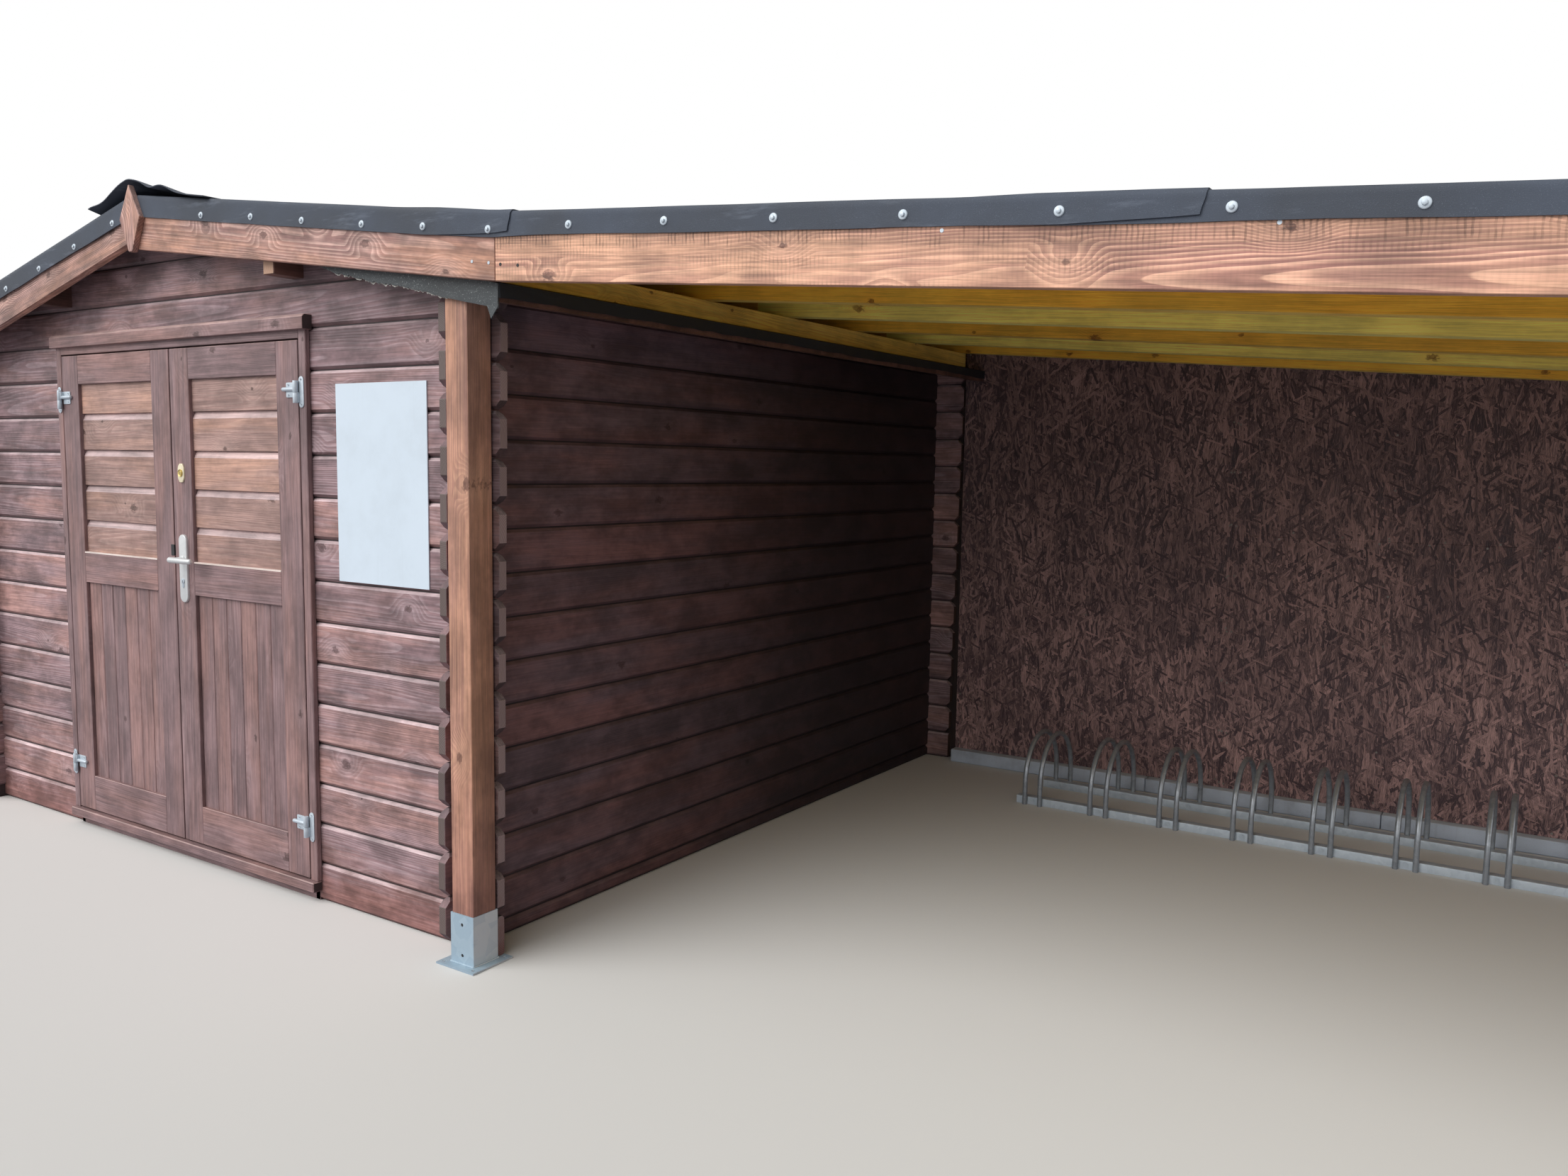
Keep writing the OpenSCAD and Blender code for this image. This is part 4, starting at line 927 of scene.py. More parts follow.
class Bench:
    """The workbench: it makes and shapes pieces with Blender's own tools, and hands them to the frame."""

    def __init__(self, corner: Vector, finishes: Finishes, seed: int) -> None:
        """Takes the place of the store's front corner, the finishes and the seed of all chance."""
        self.corner = corner
        self.finishes = finishes
        self.chance = random.Random(seed)
        self.pieces = 0

    def clear(self) -> None:
        """Leaves edit mode and selects nothing, so that an operator acts on one piece only."""
        if bpy.context.mode != "OBJECT":
            bpy.ops.object.mode_set(mode="OBJECT")
        bpy.ops.object.select_all(action="DESELECT")

    def hold(self, piece: Object) -> None:
        """Selects one piece and makes it the active one."""
        self.clear()
        piece.select_set(True)
        bpy.context.view_layer.objects.active = piece

    def settle(self) -> Object:
        """Applies a new primitive's place to its mesh and returns it."""
        bpy.ops.object.transform_apply(location=True, rotation=True, scale=True)
        return bpy.context.object

    def block(self, low: Sequence[float], high: Sequence[float]) -> Object:
        """Adds a block between two corners."""
        self.clear()
        pairs = [sorted(pair) for pair in zip(low, high)]
        middle = [(a + b) / 2 for a, b in pairs]
        bpy.ops.mesh.primitive_cube_add(size=1, location=middle, scale=[b - a for a, b in pairs])
        return self.settle()

    def rod(self, start: Sequence[float], end: Sequence[float], radius: float, sides: int = 24) -> Object:
        """Adds a round bar from one point to another."""
        self.clear()
        first, last = Vector(start), Vector(end)
        turn = (last - first).to_track_quat("Z", "Y").to_euler()
        bpy.ops.mesh.primitive_cylinder_add(vertices=sides, radius=radius, depth=(last - first).length,
                                            location=(first + last) / 2, rotation=turn)
        return self.settle()

    def pick(self, piece: Object, part: Part, test: Callable[..., bool]) -> None:
        """Goes into edit mode with only the chosen vertices, edges or faces selected.

        Args:
            piece: The piece to work on.
            part: What is picked.
            test: Takes a vertex's place, the two ends of an edge, or a face's middle and normal.
        """
        self.hold(piece)
        bpy.ops.object.mode_set(mode="EDIT")
        bpy.ops.mesh.select_mode(type=part.value)
        bpy.ops.mesh.select_all(action="DESELECT")
        bpy.ops.object.mode_set(mode="OBJECT")
        mesh = piece.data
        if part is Part.VERTEX:
            for vertex in mesh.vertices:
                vertex.select = test(vertex.co)
        elif part is Part.EDGE:
            for edge in mesh.edges:
                edge.select = test(*(mesh.vertices[end].co for end in edge.vertices))
        else:
            for face in mesh.polygons:
                face.select = test(face.center, face.normal)
        bpy.ops.object.mode_set(mode="EDIT")

    def nudge(self, piece: Object, test: Callable[[Vector], bool], by: Sequence[float]) -> None:
        """Moves the vertices that pass a test."""
        self.pick(piece, Part.VERTEX, test)
        bpy.ops.transform.translate(value=by)
        self.clear()

    def loop(self, piece: Object, point: Sequence[float], normal: Sequence[float]) -> None:
        """Cuts a line round a piece where a plane meets it, and keeps both sides."""
        self.pick(piece, Part.VERTEX, lambda at: True)
        bpy.ops.mesh.bisect(plane_co=point, plane_no=normal)
        self.clear()

    def cut(self, piece: Object, point: Sequence[float], normal: Sequence[float]) -> None:
        """Saws off what lies past a plane, on the side that its normal points to, and closes the cut."""
        self.pick(piece, Part.VERTEX, lambda at: True)
        bpy.ops.mesh.bisect(plane_co=point, plane_no=normal, use_fill=True, clear_outer=True)
        self.clear()

    def chamfer(self, piece: Object, width: float, test: Callable[[Vector, Vector], bool],
                steps: int = 1) -> None:
        """Bevels the edges that pass a test."""
        self.pick(piece, Part.EDGE, test)
        bpy.ops.mesh.bevel(offset=width, segments=steps, affect="EDGES")
        self.clear()

    def soften(self, piece: Object, width: float, steps: int = 1) -> None:
        """Takes the sharpness off every edge with a bevel modifier."""
        self.hold(piece)
        bevel = piece.modifiers.new("soften", "BEVEL")
        bevel.width = width
        bevel.segments = steps
        bevel.limit_method = "ANGLE"
        bevel.angle_limit = math.radians(25)
        bpy.ops.object.modifier_apply(modifier=bevel.name)

    def copy(self, piece: Object, by: Sequence[float] = (0.0, 0.0, 0.0)) -> Object:
        """Copies a piece with a mesh of its own, moved by a step."""
        twin = piece.copy()
        twin.data = piece.data.copy()
        twin.data.transform(Matrix.Translation(by))
        bpy.context.scene.collection.objects.link(twin)
        return twin

    def repeat(self, model: Object, places: Iterable[Sequence[float]]) -> list[Object]:
        """Copies a model to each of several places and takes the model away."""
        made = [self.copy(model, place) for place in places]
        bpy.data.objects.remove(model)
        return made

    def mark(self, piece: Object, along: Axis, face: Axis, slope: float = 0.0,
             tone: float | None = None) -> Object:
        """Gives a board its own place in the timber, as a map that its finish reads.

        Args:
            piece: The board.
            along: Direction of the grain.
            face: Direction that the broad face looks in.
            slope: Rise of the board for each metre along it.
            tone: How pale the board is, from 0 to 1, or None for chance.

        Returns:
            The same board.
        """
        mesh = piece.data
        across = 3 - along.value - face.value
        places = np.empty(len(mesh.vertices) * 3, dtype=np.float32)
        mesh.vertices.foreach_get("co", places)
        places = places.reshape(-1, 3)
        run = places[:, along.value]
        middle = (places.min(0) + places.max(0)) / 2
        chance = self.chance
        side = places[:, across] - middle[across] - slope * (run - middle[along.value])
        depth = places[:, face.value] - middle[face.value]
        tilt = (chance.uniform(-0.02, 0.02), chance.uniform(-0.02, 0.02))
        run = run - middle[along.value]
        grain = np.stack([
            run + chance.uniform(5.0, 60.0),
            side + chance.uniform(-0.06, 0.06) + tilt[0] * run,
            depth + chance.choice((-1, 1)) * chance.uniform(0.02, 0.1) + tilt[1] * run,
        ], axis=1)
        direction = np.zeros_like(grain)
        direction[:, along.value] = 1.0
        for name, values in (("grain", grain), ("run", direction)):
            layer = mesh.attributes.new(name, "FLOAT_VECTOR", "POINT")
            layer.data.foreach_set("vector", values.astype(np.float32).ravel())
        shade = chance.random() if tone is None else tone
        over, under = side.max() - side, side - side.min()
        notes = {"tone": np.full(len(side), shade), "edge": over, "rim": np.minimum(over, under)}
        for name, values in notes.items():
            layer = mesh.attributes.new(name, "FLOAT", "POINT")
            layer.data.foreach_set("value", values.astype(np.float32))
        return piece

    def board(self, low: Sequence[float], high: Sequence[float], along: Axis, face: Axis,
              soft: float = 0.0015, tone: float | None = None,
              line: Callable[[float], float] | None = None) -> Object:
        """Makes a planed board with soft edges.

        Args:
            low: One corner.
            high: The opposite corner.
            along: Direction of the grain.
            face: Direction that the broad face looks in.
            soft: Width of the bevel on its edges.
            tone: How pale the board is, or None for chance.
            line: A height over each place along the front, which the board's heights are added to.

        Returns:
            The board.
        """
        piece = self.block(low, high)
        slope = 0.0
        if line:
            for vertex in piece.data.vertices:
                vertex.co.z += line(vertex.co.x)
            slope = (line(high[0]) - line(low[0])) / (high[0] - low[0]) if along is Axis.X else 0.0
        self.soften(piece, soft)
        return self.mark(piece, along, face, slope, tone)

    def plate(self, outline: Sequence[Sequence[float]], axis: Axis, start: float, end: float) -> Object:
        """Extrudes an outline.

        Args:
            outline: Corners, as the two coordinates that are left beside the axis, in their order.
            axis: Direction of the extrusion.
            start: Place of the first face.
            end: Place of the second face.

        Returns:
            The plate.
        """
        self.clear()
        bpy.ops.mesh.primitive_circle_add(vertices=len(outline), radius=1, fill_type="NGON")
        piece = bpy.context.object
        for vertex, corner in zip(piece.data.vertices, outline):
            place = list(corner)
            place.insert(axis.value, start)
            vertex.co = place
        step = [0.0, 0.0, 0.0]
        step[axis.value] = end - start
        self.pick(piece, Part.FACE, lambda middle, normal: True)
        bpy.ops.mesh.extrude_region_move(TRANSFORM_OT_translate={"value": step})
        bpy.ops.mesh.select_all(action="SELECT")
        bpy.ops.mesh.normals_make_consistent(inside=False)
        self.clear()
        return piece

    def sheet(self, columns: int, rows: int, shape: Callable[[float, float], Sequence[float]],
              thick: float) -> Object:
        """Bends a flat grid into a thin sheet.

        Args:
            columns: Steps along the sheet.
            rows: Steps across the sheet.
            shape: Takes the shares along and across, from 0 to 1, and gives the place of the outer face.
            thick: Thickness, laid on the inner side.

        Returns:
            The sheet.
        """
        self.clear()
        bpy.ops.mesh.primitive_grid_add(x_subdivisions=columns, y_subdivisions=rows, size=1)
        piece = bpy.context.object
        for vertex in piece.data.vertices:
            vertex.co = shape(vertex.co.x + 0.5, vertex.co.y + 0.5)
        self.hold(piece)
        layer = piece.modifiers.new("thickness", "SOLIDIFY")
        layer.thickness = thick
        layer.offset = -1.0
        layer.use_even_offset = True
        bpy.ops.object.modifier_apply(modifier=layer.name)
        return piece

    def ripple(self, along: float, across: float, size: float, seed: float = 0.0) -> float:
        """Returns a soft wave between about -1 and 1, for sheets that don't lie flat."""
        return noise.noise(Vector((along / size, across / size, 7.3 + seed)))

    def join(self, parts: Iterable[Object], name: str) -> Object:
        """Joins parts into one piece."""
        parts = list(parts)
        self.clear()
        for part in parts:
            part.select_set(True)
        bpy.context.view_layer.objects.active = parts[0]
        if len(parts) > 1:
            bpy.ops.object.join()
        parts[0].name = name
        parts[0].data.name = name
        return parts[0]

    def finish(self, parts: Iterable[Object], name: str, look: Look, slot: str, body: str = "shelter",
               stands_for: Sequence[str] = (), smooth: float = 0.0) -> Object:
        """Joins parts into a finished piece, dresses it and fixes it to its body.

        Args:
            parts: The parts of the piece.
            name: Plain name of the piece.
            look: Its finish.
            slot: The record's material slot; not used.
            body: The body that it rides on.
            stands_for: The frame's nodes that it replaces.
            smooth: Angle in degrees under which its edges are shaded smooth, or 0 for none.

        Returns:
            The finished piece.
        """
        piece = self.join(parts, name)
        piece.data.transform(Matrix.Translation(self.corner))
        piece.data.materials.clear()
        piece.data.materials.append(self.finishes.of(look))
        if smooth:
            self.hold(piece)
            bpy.ops.object.shade_smooth_by_angle(angle=math.radians(smooth))
        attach(piece, body)
        if stands_for:
            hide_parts(*stands_for)
        self.pieces += 1
        return piece


@dataclass
class Assembly:
    """What every sub-assembly is built with: the workbench, the shared lines and the finishes.

    Attributes:
        bench: The workbench that makes and finishes the pieces.
        site: The sizes and lines that the sub-assemblies share.
        finishes: The materials.
    """

    bench: Bench
    site: Site
    finishes: Finishes


@dataclass
class LogWalls(Assembly):
    """The store's walls: stacked logs with bevelled edges that cross and run past each corner.

    Attributes:
        log_h: Height that one log covers.
        front_first: Height of the lowest course in the front and back walls.
        side_first: Height of the lowest course in the side walls.
        bevel: Bevel on the long edges of a log.
        tail_bevel: Bevel on the corners of a log's end.
        end_bevel: Fine bevel round a log's end face.
        front_tail: Length of the lowest front logs past the side walls.
        tail_growth: How much longer the logs under the ridge are at each end.
        side_tail: Length of the upper side logs past the front and back walls.
        side_foot: How much longer the lowest side logs are at each end.
        joint: Dark gap between two logs.
        core: Half the thickness of the dark core behind the joints.
        doorway: Left and right edges of the doorway.
    """

    log_h: float = 0.13
    front_first: float = 0.123
    side_first: float = 0.047
    bevel: float = 0.0095
    tail_bevel: float = 0.025
    end_bevel: float = 0.0012
    front_tail: float = 0.108
    tail_growth: float = 0.042
    side_tail: float = 0.067
    side_foot: float = 0.025
    joint: float = 0.003
    core: float = 0.004
    doorway: Span = (-2.1645, -0.6955)

    def course(self, start: float, end: float, base: float, top: float, across: Span, along: Axis,
               tails: tuple[bool, bool]) -> Object:
        """Makes one log.

        Args:
            start: Place of its near end.
            end: Place of its far end.
            base: Height of its underside.
            top: Height of its upper side.
            across: Its two faces.
            along: Direction that it runs in.
            tails: Whether its near and its far end are bevelled log ends.

        Returns:
            The log.
        """
        axis, low_z, high_z = along.value, base + self.joint / 2, top - self.joint / 2
        low = [across[0], across[0], low_z]
        high = [across[1], across[1], high_z]
        low[axis], high[axis] = start, end
        piece = self.bench.block(low, high)
        self.bench.chamfer(piece, self.bevel, lambda a, b: abs(a[axis] - b[axis]) > 0.1)
        for place, out, tail in ((start, -1.0, tails[0]), (end, 1.0, tails[1])):
            if not tail:
                continue
            for level, up in ((low_z, -1.0), (high_z, 1.0)) if base > 0 else ():
                point, normal = [0.0, 0.0, level - up * self.tail_bevel], [0.0, 0.0, up]
                point[axis], normal[axis] = place, out
                self.bench.cut(piece, point, normal)
            self.bench.chamfer(piece, self.end_bevel,
                               lambda a, b: max(abs(a[axis] - place), abs(b[axis] - place)) < 1e-5)
        face = Axis.Y if along is Axis.X else Axis.X
        return self.bench.mark(piece, along, face)

    def reach(self, along: Axis, height: float) -> float:
        """Gives how much longer a log end is at a height than the shortest one in its wall."""
        if along is Axis.X:
            return self.tail_growth / self.site.ridge_z * height
        return float(np.interp(height, (0.3, 0.55, 0.85, 1.4), (self.side_foot, 0.021, 0.011, 0.0)))

    def wall(self, first: float, along: Axis, across: Span, span: Span,
             heights: Span, tails: tuple[bool, bool]) -> list[Object]:
        """Stacks the logs of one wall, with a dark core behind the joints.

        Args:
            first: Height of the lowest course.
            along: Direction that the logs run in.
            across: Their two faces.
            span: Their two ends at the ground.
            heights: Bottom and top of the wall.
            tails: Whether the near and far ends are log ends.

        Returns:
            The logs, cut to the roof.
        """
        logs = []
        courses = math.ceil(heights[1] / self.log_h) + 1
        levels = [0.0] + [first + self.log_h * step for step in range(courses)]
        for base, top in zip(levels, levels[1:]):
            if base < heights[0] - NEAR or base >= heights[1] - NEAR:
                continue
            more = self.reach(along, (base + top) / 2)
            start = span[0] - (more if tails[0] else 0.0)
            end = span[1] + (more if tails[1] else 0.0)
            if along is Axis.Y and base == 0.0:
                logs.append(self.course(0.003, self.site.store_d - 0.003, base, top, across, along,
                                        (False, False)))
                continue
            logs.append(self.course(start, end, base, top, across, along, tails))
        mid = (across[0] + across[1]) / 2
        low = [mid - self.core, mid - self.core, heights[0]]
        high = [mid + self.core, mid + self.core, levels[-1] if heights[1] > 2 else heights[1]]
        low[along.value] = span[0] + 0.03 if tails[0] else span[0]
        high[along.value] = span[1] - 0.03 if tails[1] else span[1]
        core = self.bench.block(low, high)
        logs.append(self.bench.mark(core, along, Axis.Y if along is Axis.X else Axis.X, tone=0.0))
        return logs

    def raise_wall(self, name: str, logs: list[Object], look: Look) -> None:
        """Joins the logs of a wall, saws them off under the old roof boards and dresses the wall."""
        wall = self.bench.join(logs, name + "_logs")
        for normal in reversed(self.site.slopes):
            self.bench.cut(wall, self.site.under_ridge, normal)
        self.bench.finish([wall], name + "_logs", look, "cabin_wood", stands_for=[name])

    def build(self) -> None:
        """Builds the four walls."""
        site, stain = self.site, self.finishes.cabin
        left, right = -site.store_w - self.front_tail, self.front_tail
        front, back = (0.0, site.log_t), (site.store_d - site.log_t, site.store_d)
        plans = {
            "front_wall_left": (front, (left, self.doorway[0]), (0.0, self.site.gable_z), (True, False)),
            "front_wall_right": (front, (self.doorway[1], right), (0.0, self.site.gable_z), (False, True)),
            "front_gable": (front, (left, right), (self.site.gable_z, site.ridge_z), (True, True)),
            "back_wall": (back, (left, right), (0.0, site.ridge_z), (True, True)),
        }
        for name, (across, span, heights, tails) in plans.items():
            logs = self.wall(self.front_first, Axis.X, across, span, heights, tails)
            self.raise_wall(name, logs, stain if name == "back_wall" else self.finishes.front_cabin)
        ends = (-self.side_tail, site.store_d + self.side_tail)
        sides = {"left_wall": (-site.store_w, site.log_t - site.store_w), "right_wall": (-site.log_t, 0.0)}
        for name, across in sides.items():
            logs = self.wall(self.side_first, Axis.Y, across, ends, (0.0, site.ridge_z), (True, True))
            self.raise_wall(name, logs, self.finishes.shaded_cabin if name == "right_wall" else stain)
        log.info("log walls: 4 walls in 6 pieces")


@dataclass
class Doorway(Assembly):
    """The door frame, its sill and the drip board over it.

    Attributes:
        clear: Half the width between the jambs.
        jamb_w: Width of a jamb's face.
        lap: How far the face of a jamb laps over the wall.
        proud: How far the frame stands in front of the wall.
        back: Depth of the frame's back.
        sill_z: Height of the sill.
        nose: How far the sill's nose stands out.
        nose_h: Height of the sill's nose.
        head_z: Height of the head's underside.
        hood_z: Height of the drip board's underside.
        hood_h: Height of the drip board.
        hood_t: Thickness of the drip board.
        hood_over: How far the drip board runs past the frame at each end.
        stop_y: Depth at which the stops begin.
        stop_w: How far the stops stand into the opening.
    """

    clear: float = 0.7125
    jamb_w: float = 0.034
    lap: float = 0.012
    proud: float = 0.018
    back: float = 0.038
    sill_z: float = 0.066
    nose: float = 0.017
    nose_h: float = 0.033
    head_z: float = 1.781
    hood_z: float = 1.806
    hood_h: float = 0.046
    hood_t: float = 0.017
    hood_over: float = 0.012
    stop_y: float = 0.027
    stop_w: float = 0.012

    def upright(self, side: int, start: float, end: float, depth: Span, heights: Span, soft: float = 0.0015,
                tone: float = 0.3) -> Object:
        """Makes an upright board of the frame between two distances from its middle."""
        low = (self.site.door_x + side * start, depth[0], heights[0])
        high = (self.site.door_x + side * end, depth[1], heights[1])
        return self.bench.board(low, high, Axis.Z, Axis.Y, soft, tone)

    def lying(self, half: float, depth: Span, heights: Span, face: Axis = Axis.Y, soft: float = 0.0015,
              tone: float = 0.3) -> Object:
        """Makes a lying board of the frame, as far to the left of its middle as to the right."""
        middle = self.site.door_x
        low, high = (middle - half, depth[0], heights[0]), (middle + half, depth[1], heights[1])
        return self.bench.board(low, high, Axis.X, face, soft, tone)

    def build(self) -> None:
        """Builds the frame and the hood."""
        bench, x = self.bench, self.site.door_x
        out = self.clear + self.jamb_w
        edge = out - self.lap
        frame_top = self.hood_z + self.hood_h / 2
        parts = []
        stop = (self.clear - self.stop_w, self.clear, (self.stop_y, self.back), (self.sill_z, self.head_z))
        for side in (-1, 1):
            parts += [
                self.upright(side, self.clear, out, (-self.proud, -0.0003), (self.sill_z, frame_top),
                             0.002, 0.4),
                self.upright(side, self.clear, edge, (0.0, self.back), (0.0, self.site.gable_z)),
                self.upright(side, *stop),
            ]
        nose_base, stop_top = self.sill_z - self.nose_h, self.sill_z + self.stop_w
        parts += [
            self.lying(self.clear, (-self.proud, 0.0), (self.head_z, frame_top)),
            self.lying(self.clear, (0.0, self.back), (self.head_z, self.site.gable_z)),
            self.lying(self.clear, (self.stop_y, self.back), (self.head_z - self.stop_w, self.head_z)),
            self.lying(out, (-self.proud - self.nose, 0.0), (nose_base, self.sill_z), Axis.Z, 0.003, 0.5),
            self.lying(edge, (0.0, self.back), (0.0, self.sill_z), tone=0.2),
            self.lying(self.clear, (self.stop_y, self.back), (self.sill_z, stop_top), tone=0.2),
        ]
        stain = self.finishes.leaf
        bench.finish(parts, "door_frame_boards", stain, "cabin_wood", stands_for=["door_frame"])
        half = out + self.hood_over
        top, front = self.hood_z + self.hood_h, -self.proud - self.hood_t
        hood = bench.block((x - half, front, self.hood_z), (x + half, 0.0, top))
        bench.chamfer(hood, 0.008, lambda a, b: min(a.z, b.z) > top - NEAR and max(a.y, b.y) < front + NEAR)
        bench.soften(hood, 0.0015)
        bench.mark(hood, Axis.X, Axis.Y, tone=0.7)
        bench.finish([hood], "drip_board", stain, "cabin_wood", stands_for=["door_hood"])
        log.info("doorway: frame of %d boards and a drip board", len(parts))


@dataclass
class DoorLeaf(Assembly):
    """One leaf of the double door: stiles and rails round lying boards above and standing boards below.

    Attributes:
        side: Which of the two leaves it is.
        inner: Distance from the meeting line to the leaf.
        width: Width of the leaf.
        base: Height of its lower edge.
        height: Height of the leaf.
        thick: Thickness of the leaf.
        stile: Width of a stile.
        lock_rail: Height of the rail between the two panels.
        bottom_rail: Height of the bottom rail.
        joints: Heights of the lying boards' joints, with the lowest and highest edge.
        lower_count: How many standing boards there are.
        recess: How far the boards lie behind the leaf's face.
        panel_t: Thickness of the boards.
        slope_h: Height of a lying board's slope.
        slope_d: How far the slope leans back.
        soft: Bevel on the edges of stiles and rails.
        bead: Lower and upper edge of the bead, from the lock rail's top.
        bead_proud: How far the bead stands in front of the leaf.
    """

    side: Side
    inner: float = 0.0035
    width: float = 0.704
    base: float = 0.071
    height: float = 1.705
    thick: float = 0.04
    stile: float = 0.11
    lock_rail: float = 0.111
    bottom_rail: float = 0.133
    joints: tuple[float, ...] = (1.054, 1.175, 1.304, 1.434, 1.565, 1.672)
    lower_count: int = 6
    recess: float = 0.012
    panel_t: float = 0.02
    slope_h: float = 0.024
    slope_d: float = 0.011
    soft: float = 0.0016
    bead: Span = (-0.002, 0.0035)
    bead_proud: float = 0.0008

    def across(self, start: float, end: float) -> Span:
        """Turns distances from the meeting line into places along the front."""
        places = sorted((self.side.value * start, self.side.value * end))
        return self.site.door_x + places[0], self.site.door_x + places[1]

    def piece(self, start: float, end: float, low: float, high: float, along: Axis,
              tone: float | None = None) -> Object:
        """Makes one stile or rail."""
        x0, x1 = self.across(start, end)
        back = self.site.leaf_y + self.thick
        return self.bench.board((x0, self.site.leaf_y, low), (x1, back, high), along, Axis.Y, self.soft,
                                tone)

    def lying_board(self, x0: float, x1: float, low: float, high: float, last: bool) -> Object:
        """Makes one lying board, with the slope that its neighbour stands over.

        Args:
            x0: Its left end.
            x1: Its right end.
            low: Height of its lower edge.
            high: Height of its upper edge.
            last: Whether it is the topmost one, which has no slope.

        Returns:
            The board.
        """
        face = self.site.leaf_y + self.recess
        board = self.bench.block((x0, face, low), (x1, face + self.panel_t, high))
        if not last:
            self.bench.loop(board, (0, 0, high - self.slope_h), (0, 0, 1))
            self.bench.nudge(board, lambda at: at.z > high - NEAR and at.y < face + NEAR,
                             (0, self.slope_d, 0))
        self.bench.soften(board, 0.0008)
        return self.bench.mark(board, Axis.X, Axis.Y)

    def standing_board(self, x0: float, x1: float, low: float, high: float) -> Object:
        """Makes one standing board with bevelled edges."""
        face = self.site.leaf_y + self.recess
        board = self.bench.block((x0 + 0.0004, face, low), (x1 - 0.0004, face + self.panel_t, high))
        self.bench.chamfer(board, 0.003, lambda a, b: abs(a.z - b.z) > 0.1 and a.y < face + NEAR)
        return self.bench.mark(board, Axis.Z, Axis.Y)

    def build(self) -> None:
        """Builds the leaf and its boards."""
        name = self.side.name.lower()
        outer, top = self.inner + self.width, self.base + self.height
        in_stile, out_stile = self.inner + self.stile, outer - self.stile
        upper_low, upper_top = self.joints[0], self.joints[-1]
        lower_top, lower_low = upper_low - self.lock_rail, self.base + self.bottom_rail
        parts = [
            self.piece(self.inner, in_stile, self.base, top, Axis.Z, 0.35),
            self.piece(out_stile, outer, self.base, top, Axis.Z, 0.45),
            self.piece(in_stile, out_stile, upper_top, top, Axis.X),
            self.piece(in_stile, out_stile, lower_top, upper_low, Axis.X),
            self.piece(in_stile, out_stile, self.base, lower_low, Axis.X),
        ]
        body = name + "_door"
        self.bench.finish(parts, name + "_leaf_frame", self.finishes.leaf, "cabin_wood", body,
                          [name + "_leaf"])
        x0, x1 = self.across(in_stile, out_stile)
        rows = zip(self.joints, self.joints[1:])
        boards = [self.lying_board(x0, x1, low, high, high == upper_top) for low, high in rows]
        self.bench.finish(boards, name + "_leaf_lying_boards", self.finishes.panel, "panel_wood",
                          body, [name + "_leaf_boards"])
        bead = self.bench.board((x0, self.site.leaf_y - self.bead_proud, upper_low + self.bead[0]),
                                (x1, self.site.leaf_y + self.recess, upper_low + self.bead[1]),
                                Axis.X, Axis.Y, 0.001, 0.7)
        self.bench.finish([bead], name + "_leaf_bead", self.finishes.bare, "panel_wood", body)
        step = (x1 - x0) / self.lower_count
        standing = [
            self.standing_board(x0 + step * place, x0 + step * (place + 1), lower_low, lower_top)
            for place in range(self.lower_count)
        ]
        self.bench.finish(standing, name + "_leaf_standing_boards", self.finishes.leaf,
                          "cabin_wood", body)
        log.info("%s leaf: %d boards", name, len(parts) + len(boards) + len(standing))


